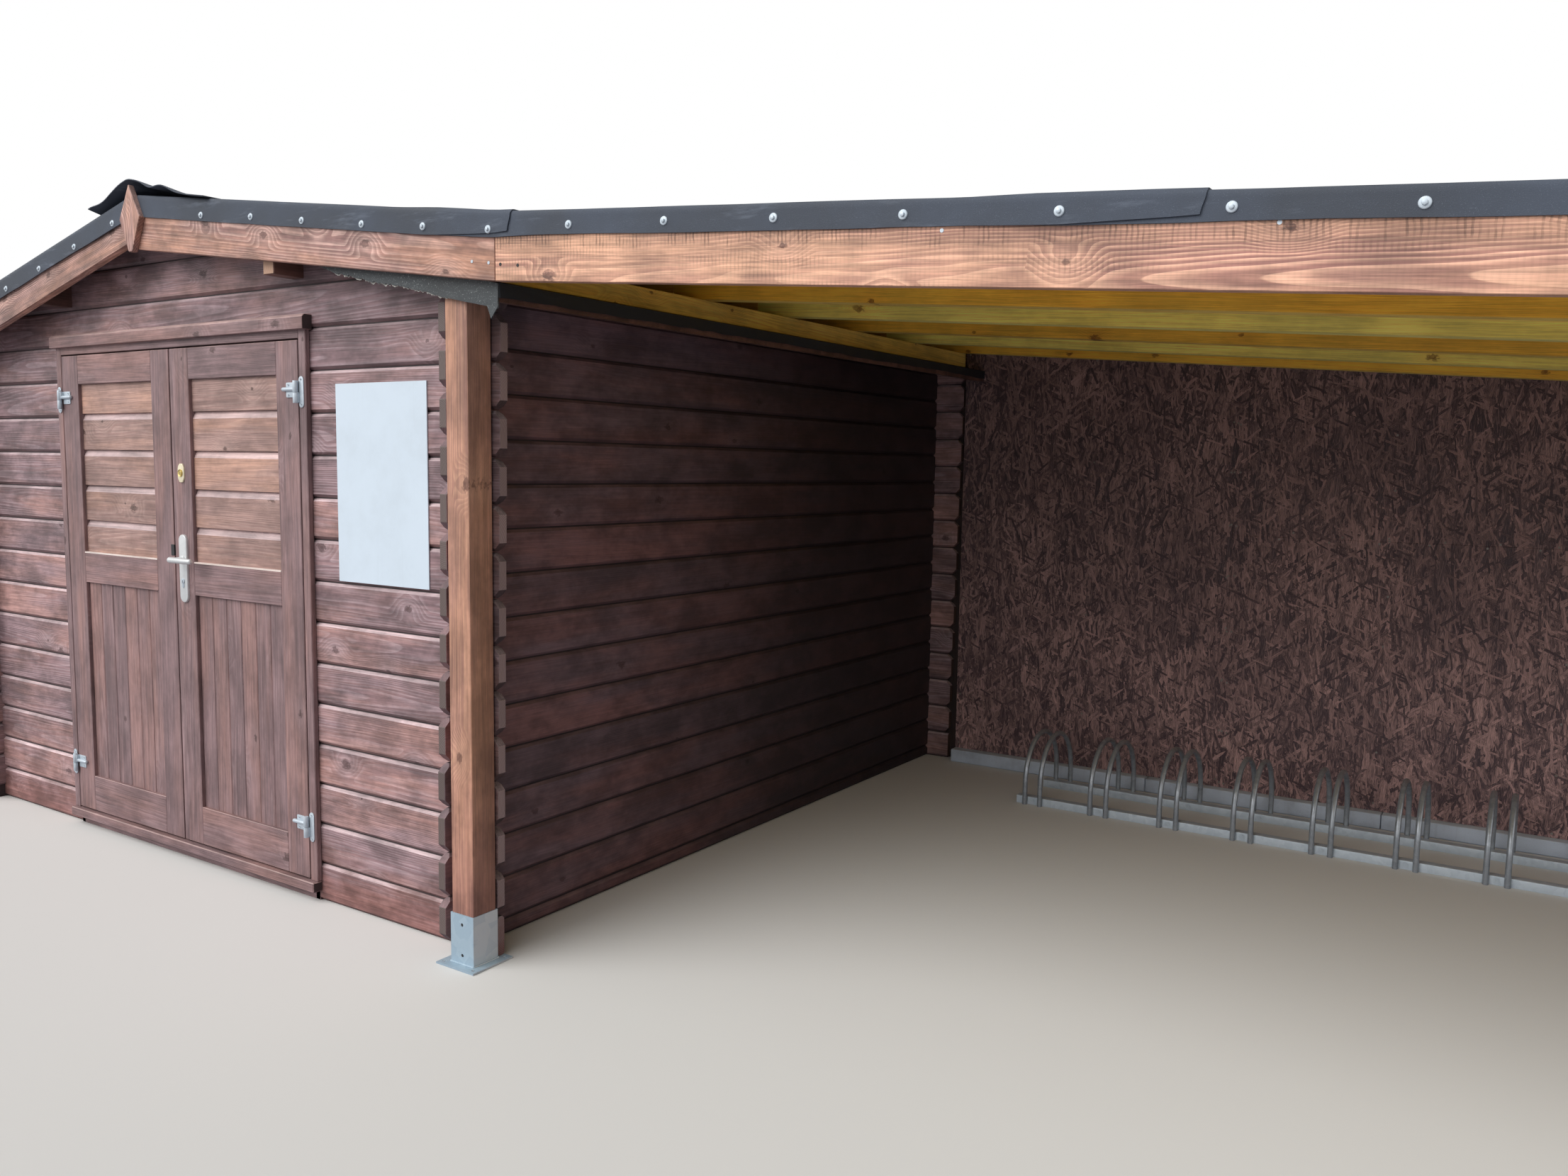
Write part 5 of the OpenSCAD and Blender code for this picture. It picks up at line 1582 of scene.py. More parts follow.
@dataclass
class Hardware(Assembly):
    """Hinges, the lever on its plate, the lock rose and the latch keep.

    Attributes:
        hinge_out: Distance from the doorway's middle to a hinge pin.
        hinge_y: Depth of the hinge pins.
        hinge_z: Heights of the hinges.
        barrel_r: Radius of a hinge barrel.
        barrel_h: Height of half a barrel.
        plate_x: Middle of the lever's plate.
        plate_w: Width of the plate.
        plate_z: Height of the plate's lower end.
        plate_h: Height of the plate.
        plate_t: Thickness of the plate.
        lever_z: Height of the lever.
        lever_len: How far the grip reaches past the neck.
        lever_y: Depth of the grip's middle line.
        lock_z: Height of the upper lock.
        lock_w: Width of its rose.
        lock_h: Height of its rose.
        strap_t: Thickness of the hinges' plates.
        strap_end: Distance from the pin to the end of the plate on the leaf.
        soft: Bevel on the hinges' edges.
        collar_r: Radius of the collar round the lever's neck.
        neck_r: Radius of the neck.
        grip_start: How far the grip reaches back from the neck's middle.
        grip_radii: Radius of the grip at its start and at its end.
        key_up: Height of the key cylinder over the plate's lower end.
        key_w: Width of the key cylinder.
        key_h: Height of the key cylinder.
        rose_t: Thickness of the rose.
        ring_r: Radius of the ring on the rose.
        core_r: Radius of the core inside the ring.
        keep_z: Lower and upper end of the latch keep.
    """

    hinge_out: float = 0.71
    hinge_y: float = -0.029
    hinge_z: Span = (0.243, 1.617)
    barrel_r: float = 0.008
    barrel_h: float = 0.034
    plate_x: float = -1.3715
    plate_w: float = 0.045
    plate_z: float = 0.916
    plate_h: float = 0.233
    plate_t: float = 0.008
    lever_z: float = 1.064
    lever_len: float = 0.12
    lever_y: float = -0.068
    lock_z: float = 1.358
    lock_w: float = 0.036
    lock_h: float = 0.064
    strap_t: float = 0.003
    strap_end: float = 0.0585
    soft: float = 0.0008
    collar_r: float = 0.0125
    neck_r: float = 0.0083
    grip_start: float = 0.0105
    grip_radii: Span = (0.0108, 0.0088)
    key_up: float = 0.066
    key_w: float = 0.0105
    key_h: float = 0.031
    rose_t: float = 0.005
    ring_r: float = 0.0125
    core_r: float = 0.0075
    keep_z: Span = (1.073, 1.112)

    def oval(self, x: float, z: float, width: float, height: float, steps: int = 10) -> list[Span]:
        """Draws a strip with round ends, standing upright about a middle point.

        Args:
            x: Place of its middle along the front.
            z: Height of its middle.
            width: Its width.
            height: Its height with the round ends.
            steps: How many lines make up each round end.

        Returns:
            The outline's corners.
        """
        radius = width / 2
        straight = height / 2 - radius
        points = []
        for end, first in ((1, 0.0), (-1, math.pi)):
            for step in range(steps + 1):
                angle = first + math.pi * step / steps
                points.append((x + radius * math.cos(angle), z + end * straight + radius * math.sin(angle)))
        return points

    def screw(self, x: float, y: float, z: float, radius: float = 0.0042) -> Object:
        """Makes a screw head that looks to the front, with a recess for the driver."""
        head = self.bench.rod((x, y + 0.0008, z), (x, y - 0.0012, z), radius, 20)
        self.bench.chamfer(head, radius * 0.25, lambda a, b: a.y < y - 0.001 and b.y < y - 0.001, 2)
        self.bench.pick(head, Part.FACE, lambda middle, normal: normal.y < FRONTWARD)
        bpy.ops.mesh.inset(thickness=radius * 0.35)
        bpy.ops.transform.translate(value=(0.0, 0.0012, 0.0))
        self.bench.clear()
        return head

    def frame_half(self, side: Side, z: float) -> list[Object]:
        """Makes the half of a hinge that is screwed to the jamb."""
        bench, s = self.bench, side.value
        x = self.site.door_x + s * self.hinge_out
        y, ring_z = self.hinge_y, z - 0.0025
        strip_x, strip_y = x + s * 0.0167, self.site.leaf_y - self.strap_t
        strip = bench.plate(self.oval(strip_x, z, 0.0235, 0.096, 8), Axis.Y, strip_y, self.site.leaf_y)
        barrel = bench.rod((x, y, z - self.barrel_h), (x, y, ring_z), self.barrel_r)
        ring = bench.rod((x, y, ring_z), (x, y, z - 0.0002), self.barrel_r + 0.001)
        web = bench.block((x, y - 0.003, z - 0.032), (x + s * 0.0085, self.site.leaf_y - 0.001, z - 0.002))
        pin = bench.rod((x, y, z - 0.001), (x, y, z + 0.03), 0.005, 16)
        for piece in (strip, barrel, web, ring):
            bench.soften(piece, self.soft, 2)
        screws = [self.screw(strip_x, strip_y, z + shift) for shift in (-0.038, 0.038)]
        return [strip, barrel, ring, web, pin, *screws]

    def leaf_half(self, side: Side, z: float) -> list[Object]:
        """Makes the half of a hinge that is screwed to the leaf, with its round stem."""
        bench, s = self.bench, side.value
        x = self.site.door_x + s * self.hinge_out
        y, face, end_x = self.hinge_y, self.site.leaf_y - self.strap_t, x - s * self.strap_end

        def outer(a: Vector, b: Vector) -> bool:
            """Picks the short edges at the end of a strap."""
            return abs(a.y - b.y) > 0.002 and abs(a.x - x) > 0.05

        barrel = bench.rod((x, y, z + 0.0005), (x, y, z + self.barrel_h + 0.0005), self.barrel_r)
        plate = bench.block((x - s * 0.0035, face, z + 0.002), (end_x, self.site.leaf_y, z + 0.03))
        lower = bench.block((x - s * 0.012, face, z - 0.016), (end_x, self.site.leaf_y, z + 0.003))
        bench.chamfer(plate, 0.004, lambda a, b: outer(a, b) and a.z > z + 0.02, 3)
        bench.chamfer(lower, 0.004, lambda a, b: outer(a, b) and a.z < z, 3)
        stem_y, stem_z = self.site.leaf_y - 0.006, z + 0.009
        stem = bench.rod((x - s * 0.072, stem_y, stem_z), (x - s * 0.005, stem_y, stem_z), 0.0065)
        bench.soften(stem, 0.0045, 4)
        web = bench.block((x - s * 0.001, y - 0.002, z + 0.003),
                          (x - s * 0.012, self.site.leaf_y - 0.001, z + 0.03))
        for piece in (barrel, plate, lower, web):
            bench.soften(piece, self.soft, 2)
        screws = [self.screw(x - s * 0.046, face, z + shift) for shift in (-0.009, 0.022)]
        return [barrel, plate, lower, stem, web, *screws]

    def lever(self) -> None:
        """Makes the long plate, the keyhole in it and the round lever."""
        bench = self.bench
        satin, x = self.finishes.satin, self.plate_x
        middle_z = self.plate_z + self.plate_h / 2
        face = self.site.leaf_y - self.plate_t
        plate = bench.plate(self.oval(x, middle_z, self.plate_w, self.plate_h, 16), Axis.Y, face,
                            self.site.leaf_y)
        bench.chamfer(plate, 0.0025, lambda a, b: a.y < face + 1e-5 and b.y < face + 1e-5, 3)
        collar = bench.rod((x, face + 0.001, self.lever_z), (x, face - 0.004, self.lever_z), self.collar_r,
                           32)
        bench.soften(collar, 0.0012, 2)
        bench.finish([plate, collar], "lever_plate_round", satin, "satin_steel", "right_door",
                     ["lever_plate"], 40)
        key_z = self.plate_z + self.key_up
        outline = self.oval(x, key_z, self.key_w, self.key_h, 8)
        barrel = bench.plate(outline, Axis.Y, face - 0.0025, face + 0.001)
        head = bench.rod((x, face + 0.001, key_z + 0.0075), (x, face - 0.0032, key_z + 0.0075), 0.0085, 32)
        for piece in (barrel, head):
            bench.soften(piece, 0.0006, 2)
        zinc = self.finishes.zinc
        bench.finish([barrel, head], "key_cylinder", zinc, "zinc_steel", "right_door", smooth=40)
        slot = bench.block((x - 0.0008, face - 0.0036, key_z + 0.002), (x + 0.0008, face, key_z + 0.0105))
        black = self.finishes.black
        bench.finish([slot], "key_slot", black, "satin_steel", "right_door")
        neck = bench.rod((x, face + 0.004, self.lever_z), (x, self.lever_y, self.lever_z), self.neck_r, 32)
        bench.clear()
        start, end = x - self.grip_start, x + self.lever_len
        bpy.ops.mesh.primitive_cone_add(
            vertices=32, radius1=self.grip_radii[0], radius2=self.grip_radii[1], depth=end - start,
            location=((start + end) / 2, self.lever_y, self.lever_z), rotation=(0.0, math.pi / 2, 0.0),
        )
        grip = bench.settle()
        bench.soften(grip, 0.0068, 5)
        bench.finish([neck, grip], "lever_handle", satin, "satin_steel", "lever", ["door_lever"], 50)

    def lock(self) -> None:
        """Makes the brass rose of the upper lock, an upright hexagon with a ring."""
        bench, x, z = self.bench, self.plate_x, self.lock_z
        half_w, half_h, flat = self.lock_w / 2, self.lock_h / 2, self.lock_w / 4
        side_z = half_h - half_w * 0.8
        corners = ((half_w, -side_z), (half_w, side_z), (flat, half_h), (-flat, half_h), (-half_w, side_z),
                   (-half_w, -side_z), (-flat, -half_h), (flat, -half_h))
        outline = [(x + right, z + up) for right, up in corners]
        leaf_y = self.site.leaf_y
        rose = bench.plate(outline, Axis.Y, leaf_y - self.rose_t, leaf_y)
        bench.chamfer(rose, 0.004, lambda a, b: abs(a.y - b.y) > 0.004, 4)
        bench.chamfer(rose, 0.002, lambda a, b: max(a.y, b.y) < leaf_y - self.rose_t + NEAR, 3)
        ring = bench.rod((x, leaf_y - 0.004, z), (x, leaf_y - 0.0085, z), self.ring_r, 40)
        bench.pick(ring, Part.FACE, lambda middle, normal: normal.y < FRONTWARD)
        bpy.ops.mesh.inset(thickness=0.003)
        bpy.ops.transform.translate(value=(0.0, 0.003, 0.0))
        bench.clear()
        bench.soften(ring, 0.0005, 2)
        core = bench.rod((x, leaf_y - 0.004, z), (x, leaf_y - 0.0072, z), self.core_r, 32)
        bench.finish([rose], "lock_rose", self.finishes.cream, "brass", "right_door", ["lock_cylinder"], 40)
        bench.finish([ring, core], "lock_barrel", self.finishes.brass, "brass", "right_door", (), 40)
        slot_w, slot_h = 0.0007, 0.004
        slot = bench.block((x - slot_w, leaf_y - 0.0076, z - slot_h),
                           (x + slot_w, leaf_y - 0.006, z + slot_h))
        bench.finish([slot], "lock_slot", self.finishes.black, "satin_steel", "right_door")

    def keep(self) -> None:
        """Makes the black latch keep in the edge of the left leaf."""
        x = self.site.door_x - 0.0035
        low_z, high_z = self.keep_z
        plate = self.bench.block((x - 0.019, self.site.leaf_y - 0.0012, low_z),
                                 (x, self.site.leaf_y + 0.022, high_z))
        self.bench.soften(plate, 0.0015, 2)
        black = self.finishes.black
        self.bench.finish([plate], "latch_keep", black, "satin_steel", "left_door")

    def build(self) -> None:
        """Builds all the metalwork on the doors."""
        zinc = self.finishes.zinc
        frames = []
        for side in Side:
            for z in self.hinge_z:
                frames += self.frame_half(side, z)
            leaves = [part for z in self.hinge_z for part in self.leaf_half(side, z)]
            name = side.name.lower()
            self.bench.finish(leaves, name + "_leaf_hinges", zinc, "zinc_steel", name + "_door",
                              [name + "_hinges"], 35)
        self.bench.finish(frames, "jamb_hinges", zinc, "zinc_steel", stands_for=["frame_hinges"], smooth=35)
        self.lever()
        self.lock()
        self.keep()
        log.info("hardware: 4 hinges, lever, rose and keep")


@dataclass
class RoofBoards(Assembly):
    """The boards round the roof's edge, the new deck, and the timbers that carry the roof.

    Attributes:
        fascia_h: Height of the fascia boards right of the ridge.
        left_ridge_h: Height of the left fascia board at the ridge.
        left_fascia_h: Height of the left fascia board at the eave.
        eave_t: Thickness of the eave boards.
        eave_h: Height of the eave boards.
        gap: Joint between two fascia boards.
        deck_board: Width of a roof board.
        rafter_w: Width of a rafter.
        rafter_x: Where the rafters start along the front.
        rafter_count: How many rafters there are.
        purlin_w: Width of a purlin.
        purlin_h: Height of a purlin.
        purlin_places: Places of the purlins, from the ridge.
        finial_w: Width of a finial.
        finial_h: Height of a finial.
        finial_t: Thickness of a finial.
        finial_rise: How far a finial stands over the ridge.
    """

    fascia_h: float = 0.17
    left_ridge_h: float = 0.136
    left_fascia_h: float = 0.168
    eave_t: float = 0.022
    eave_h: float = 0.11
    gap: float = 0.002
    deck_board: float = 0.14
    rafter_w: float = 0.06
    rafter_x: float = 0.02
    rafter_count: int = 7
    purlin_w: float = 0.052
    purlin_h: float = 0.106
    purlin_places: tuple[float, ...] = (-0.705, 0.0, 0.668)
    finial_w: float = 0.12
    finial_h: float = 0.214
    finial_t: float = 0.02
    finial_rise: float = 0.033

    def band(self, start: float, end: float) -> list[Span]:
        """Draws a fascia board's outline under the new roof line."""
        roof, height = self.site.roof, self.fascia_h
        return [(start, roof(start) - height), (end, roof(end) - height), (end, roof(end)),
                (start, roof(start))]

    def left_band(self) -> list[Span]:
        """Draws the outline of the left board, which is a little higher at the eave than at the ridge."""
        site = self.site
        eave_z = site.roof(site.left_x)
        return [(site.left_x, eave_z - self.left_fascia_h), (site.ridge_x, site.ridge_z - self.left_ridge_h),
                (site.ridge_x, site.ridge_z), (site.left_x, eave_z)]

    def fascia(self, outline: list[Span], y: float, tone: float) -> Object:
        """Makes one fascia board from its outline."""
        board = self.bench.plate(outline, Axis.Y, y, y + self.site.fascia_t)
        self.bench.soften(board, 0.002, 2)
        rise = (outline[2][1] - outline[3][1]) / (outline[2][0] - outline[3][0])
        return self.bench.mark(board, Axis.X, Axis.Y, rise, tone)

    def fascias(self) -> None:
        """Builds the boards on the two gables and along the two eaves."""
        bench, site = self.bench, self.site
        stain = self.finishes.board
        brown = self.finishes.upper
        front, back = site.front_y, site.back_y - site.fascia_t
        upper = self.band(site.ridge_x + self.gap, site.kink_x - self.gap / 2)
        long = self.band(site.kink_x + self.gap / 2, site.right_x)
        bench.finish([self.fascia(self.left_band(), front, 0.45)], "left_fascia_board", brown,
                     "stained_wood", stands_for=["left_fascia"])
        bench.finish([self.fascia(upper, front, 0.5)], "upper_fascia_board", brown, "stained_wood")
        bench.finish([self.fascia(long, front, 0.7)], "long_fascia_board", stain, "stained_wood",
                     stands_for=["right_fascias"])
        boards = [self.fascia(outline, back, 0.4) for outline in (self.left_band(), upper, long)]
        bench.finish(boards, "back_fascia_boards", stain, "stained_wood", stands_for=["back_fascias"])
        eaves = []
        for x, side in ((site.left_x, -1), (site.right_x, 1)):
            board = bench.board((x, front, -self.eave_h), (x + side * self.eave_t, site.back_y, 0.0),
                                Axis.Y, Axis.X, 0.002, 0.5, site.roof)
            eaves.append(board)
        bench.finish(eaves, "eave_edge_boards", stain, "stained_wood", stands_for=["eave_boards"])

    def finials(self) -> None:
        """Builds the pointed boards over the joint of the fascia boards."""
        x, top, half = self.site.ridge_x, self.site.ridge_z + self.finial_rise, self.finial_w / 2
        outline = [(x, top), (x - half, top - self.finial_h / 2), (x - half / 6, top - self.finial_h),
                   (x + half / 6, top - self.finial_h), (x + half, top - self.finial_h / 2)]
        boards = []
        for y in (self.site.front_y - self.finial_t, self.site.back_y):
            board = self.bench.plate(outline, Axis.Y, y, y + self.finial_t)
            self.bench.soften(board, 0.0025, 2)
            boards.append(self.bench.mark(board, Axis.Z, Axis.Y, tone=0.6))
        self.bench.finish(boards, "finial_boards", self.finishes.upper, "stained_wood",
                          stands_for=["finials"])

    def deck(self) -> None:
        """Lays the new roof boards from ridge to eave."""
        site = self.site
        front, back = site.front_y + site.fascia_t, site.back_y - site.fascia_t
        boards = []
        start = site.ridge_x
        while start < site.right_x - 0.01:
            end = min(start + self.deck_board, site.right_x)
            if start < site.kink_x < end:
                end = site.kink_x
            low, high = (start + 0.0007, front, -site.deck_t), (end - 0.0007, back, 0.0)
            boards.append(self.bench.board(low, high, Axis.Y, Axis.Z, 0.001, None, site.roof))
            start = end
        self.bench.finish(boards, "roof_boards", self.finishes.treated, "treated_wood",
                          stands_for=["long_deck"])

    def rafters(self) -> None:
        """Builds the rafters, which follow the bay's roof line below and the new roof boards above."""
        bench, site = self.bench, self.site
        front = site.front_y + site.fascia_t
        pitch = (site.store_d - site.log_t - self.rafter_w - front) / (self.rafter_count - 1)
        low, high = -self.site.rafter_h - site.deck_t, -site.deck_t - HAIR
        outline = [(self.rafter_x, site.bay_line(self.rafter_x) + low),
                   (site.right_x, site.bay_line(site.right_x) + low),
                   (site.right_x, site.roof(site.right_x) + high),
                   (site.kink_x, site.roof(site.kink_x) + high),
                   (self.rafter_x, site.roof(self.rafter_x) + high)]
        rafters = []
        for place in range(self.rafter_count):
            y = front + pitch * place
            rafter = bench.plate(outline, Axis.Y, y, y + self.rafter_w)
            bench.soften(rafter, 0.002)
            rafters.append(bench.mark(rafter, Axis.X, Axis.Y, -math.tan(math.radians(site.bay_pitch))))
        bench.finish(rafters[0::2], "rafter_timbers", self.finishes.ochre, "treated_wood",
                     stands_for=["rafters"])
        bench.finish(rafters[1::2], "paler_rafter_timbers", self.finishes.yellow, "treated_wood")

    def purlins(self) -> None:
        """Builds the three purlins that run out under the old roof to the fascia boards."""
        bench, site = self.bench, self.site
        bars = []
        for shift in self.purlin_places:
            x = site.ridge_x + shift
            under = site.ridge_z - site.old_deck - abs(shift) * math.tan(math.radians(site.left_pitch))
            bar = bench.block((x - self.purlin_w / 2, site.front_y + site.fascia_t, under - self.purlin_h),
                              (x + self.purlin_w / 2, site.back_y - site.fascia_t, site.ridge_z))
            for normal in site.slopes:
                bench.cut(bar, site.under_ridge, normal)
            bench.soften(bar, 0.002)
            bars.append(bench.mark(bar, Axis.Y, Axis.X))
        bench.finish(bars, "purlin_bars", self.finishes.purlin, "cabin_wood", stands_for=["purlins"])

    def build(self) -> None:
        """Builds every timber of the roof."""
        self.fascias()
        self.finials()
        self.deck()
        self.rafters()
        self.purlins()
        log.info("roof timbers: fascia boards, finials, deck, rafters and purlins")


@dataclass
class RoofFelt(Assembly):
    """The felt on the roof: sheets that lap over each other, fixed to the fascia boards with screws.

    Attributes:
        thick: Thickness of a sheet.
        flap: Height of the flap over the fascia boards.
        edge_out: How far the felt reaches past the fascia boards at the eaves.
        step: Distance between two rows of points along a sheet.
        laps: Where each lap starts and ends.
        lift: How far a sheet is lifted where it laps over the next one.
        lap_lead: How far before the lap it starts to lift.
        lap_rise: How far its flap rises towards the lap's end.
        lap_slant: How far the flap's end slants back.
        cap_left: How far the ridge cap reaches to the left of the ridge.
        cap_right: How far it reaches to the right.
        cap_out: How far it reaches past the fascia boards.
        cap_stand: How far its ends stand up over the finials.
        cap_t: Thickness of the cap.
        screw_r: Radius of a screw's washer.
        screw_step: Distance from screw to screw right of the ridge.
        left_screw_step: Distance from screw to screw left of the ridge.
        bay_screws: Places of the first screws over the bay.
        bay_screw_step: Distance from screw to screw further right.
        new_screws: Place and height of each bright screw in the fascia boards.
        old_screws: Place and height of each dark screw in them.
    """

    thick: float = 0.0035
    flap: float = 0.066
    edge_out: float = 0.022
    step: float = 0.045
    laps: tuple[Span, ...] = ((0.04, 0.322), (1.72, 2.023))
    lift: float = 0.0038
    lap_lead: float = 0.15
    lap_rise: float = 0.0125
    lap_slant: float = 0.011
    cap_left: float = 0.25
    cap_right: float = 0.42
    cap_out: float = 0.021
    cap_stand: float = 0.042
    cap_t: float = 0.003
    screw_r: float = 0.0105
    screw_step: float = 0.2555
    left_screw_step: float = 0.2455
    bay_screws: tuple[float, ...] = (0.52, 0.814, 1.106, 1.428, 1.749, 2.062)
    bay_screw_step: float = 0.3
    new_screws: tuple[Span, ...] = ((0.176, 1.925), (0.237, 1.917), (1.511, 1.881), (2.144, 1.837))
    old_screws: tuple[Span, ...] = ((0.279, 1.91), (0.34, 1.903))

    def profile(self) -> list[tuple[float, float, float]]:
        """Lists the points across a sheet, from the front flap over the roof to the back one.

        Returns:
            For each point its place in the depth, its height over the boards, and how freely it waves.
        """
        site = self.site
        out = self.thick
        front = [(-out, -self.flap, 1.0), (-out, -0.054, 0.85), (-out, -0.041, 0.65), (-out, -0.028, 0.4),
                 (-out, -0.015, 0.2), (-out, -0.006, 0.1), (-out + 0.0015, -0.001, 0.05),
                 (0.001, 0.0025, 0.0), (0.007, out, 0.0)]
        start, end = site.front_y, site.back_y
        flat = [0.03, 0.08, 0.2] + [0.2 + (end - start - 0.4) * share / 12 for share in range(1, 12)]
        flat += [end - start - 0.2, end - start - 0.08, end - start - 0.03]
        points = [(start + y, z, free) for y, z, free in front]
        points += [(start + y, out, 0.0) for y in flat]
        points += [(end - y, z, free) for y, z, free in reversed(front)]
        return points

    def hang(self, x: float) -> float:
        """How much of its full depth the flap has at a place: it gets shorter along the bay."""
        return float(np.interp(x, (0.0, 0.4, 2.6), (1.0, 0.88, 0.77)))

    def bulge(self, x: float, side: int) -> float:
        """How far a flap's lower edge stands off the fascia board."""
        return 0.0008 + 0.0028 * abs(self.bench.ripple(x, 0.0, 0.21, side))

    def columns(self, start: float, end: float, fold: bool) -> list[Span]:
        """Lists the places along a sheet, each with how far it is folded down past the eave.

        Args:
            start: First place along the roof.
            end: Last place along the roof.
            fold: Whether the end is folded down over the eave board.

        Returns:
            Each place with its drop.
        """
        count = max(2, round(abs(end - start) / self.step))
        places = [(start + (end - start) * share / count, 0.0) for share in range(count + 1)]
        if fold:
            side = 1 if end > start else -1
            places += [(end + side * drop_x, drop) for drop_x, drop in
                       ((0.0025, 0.002), (self.thick, 0.008), (self.thick, 0.025), (self.thick, 0.045),
                        (self.thick, self.flap + self.thick))]
        return places

    def sheet(self, start: float, end: float, fold: bool, over: Span | None,
              free: float = 1.0) -> Object:
        """Makes one sheet of felt.

        Args:
            start: First place along the roof.
            end: Last place along the roof.
            fold: Whether the end is folded down over the eave board.
            over: Where the next sheet starts under this one, and where this one ends on it.
            free: How much the flap waves.

        Returns:
            The sheet.
        """
        places, points = self.columns(start, end, fold), self.profile()
        ripple, middle = self.bench.ripple, self.site.store_d / 2

        def shape(along: float, across: float) -> tuple[float, float, float]:
            """Gives the place of one point of the sheet."""
            x, drop = places[round(along * (len(places) - 1))]
            y, z, loose = points[round(across * (len(points) - 1))]
            side = -1 if y < middle else 1
            z *= self.hang(x) if z < 0 else 1.0
            lifted = 0.0
            if over and x > over[0] - self.lap_lead:
                lifted = min(1.0, (x - over[0] + self.lap_lead) / self.lap_lead)
                raised = max(0.0, (x - over[0]) / (over[1] - over[0]))
                z += loose * self.lap_rise * raised
                x -= loose * self.lap_slant * raised ** 4
            y += side * (lifted * self.lift * (1.0 if z < 0.002 else 0.0))
            y += side * loose * free * self.bulge(x, side)
            z += loose * free * (0.0032 * ripple(x, 3.0, 0.42, side) + 0.0012 * ripple(x, 5.0, 0.09, side))
            if z > 0:
                z += lifted * self.lift + 0.0016 * abs(ripple(x, y, 0.33))
            height = min(z, self.thick - drop) if drop else z
            return x, y, self.site.roof(x) + height

        made = self.bench.sheet(len(places) - 1, len(points) - 1, shape, self.thick)
        if end < start:
            self.bench.pick(made, Part.FACE, lambda at, normal: True)
            bpy.ops.mesh.normals_make_consistent(inside=False)
            self.bench.clear()
        return made

    def cap(self) -> Object:
        """Makes the cap over the ridge, which rides up over the finials and lies wavy at both ends."""
        site, ripple = self.site, self.bench.ripple
        start, end = site.ridge_x - self.cap_left, site.ridge_x + self.cap_right
        front, back = site.front_y - self.cap_out, site.back_y + self.cap_out

        def shape(along: float, across: float) -> tuple[float, float, float]:
            """Gives the place of one point of the cap."""
            x = start + (end - start) * along
            y = front + (back - front) * across
            near = min(y - front, back - y)
            decay = math.exp(-near / 0.2)
            from_ridge = x - site.ridge_x
            stand = self.cap_stand * bell(from_ridge, 0.2)
            wave = bell(from_ridge - 0.2, 0.05) - 0.8 * bell(from_ridge - 0.12, 0.04)
            curl = 0.02 * bell(from_ridge + 0.25, 0.06) + 0.012 * wave
            z = site.roof(x) + 2.2 * self.thick + decay * (stand + curl * math.exp(-near / 0.09))
            z -= 0.012 * bell(from_ridge, 0.02) * (1 - decay) * 0.3
            z += 0.002 * abs(ripple(x, y, 0.12))
            y += 0.006 * ripple(x, 1.0, 0.1) * decay
            return x, y, z

        return self.bench.sheet(44, 60, shape, self.cap_t)

    def screw(self, x: float, y: float, z: float) -> Object:
        """Makes a felt screw with its dished washer, looking to the front."""
        washer = self.bench.rod((x, y + 0.001, z), (x, y - 0.0028, z), self.screw_r, 28)
        self.bench.chamfer(washer, 0.0022, lambda a, b: a.y < y - 0.002 and b.y < y - 0.002, 3)
        head = self.bench.rod((x, y - 0.002, z), (x, y - 0.0068, z), 0.0052, 6)
        self.bench.soften(head, 0.0009, 2)
        return self.bench.join([washer, head], "screw")

    def screws(self) -> list[Object]:
        """Sets the screws along the front edge, as they are spaced in the felt."""
        site, chance = self.site, self.bench.chance
        right = [-1.026 + self.screw_step * place for place in range(6)] + list(self.bay_screws)
        right += [2.37 + self.bay_screw_step * place for place in range(6)]
        left = [-1.53 - self.left_screw_step * place for place in range(7)]
        places = []
        for x in left + right:
            place = x + chance.uniform(-0.008, 0.008)
            share = float(np.interp(place, (0.1, 0.5, 1.5), (0.73, 0.6, 0.52)))
            z = site.roof(place) - self.flap * self.hang(place) * share + chance.uniform(-0.002, 0.003)
            over = any(low - 0.1 < place < high for low, high in self.laps)
            free, rise = (1.3, 0.003) if place < site.ridge_x else (0.8, 0.0)
            y = site.front_y - self.thick - (self.lift if over else rise) - free * self.bulge(place, -1)
            places.append((place, y, z))
        return self.bench.repeat(self.screw(0.0, 0.0, 0.0), places)

    def small_screws(self) -> None:
        """Sets the sunk screws in the front fascia boards."""
        bench, finishes = self.bench, self.finishes
        for name, look, places in (("new_board_screws", finishes.zinc, self.new_screws),
                                   ("old_board_screws", finishes.black, self.old_screws)):
            model = bench.rod((0, 0.002, 0), (0, -0.0008, 0), 0.0042, 16)
            made = bench.repeat(model, [(x, self.site.front_y, z) for x, z in places])
            bench.finish(made, name, look, "zinc_steel", smooth=40)

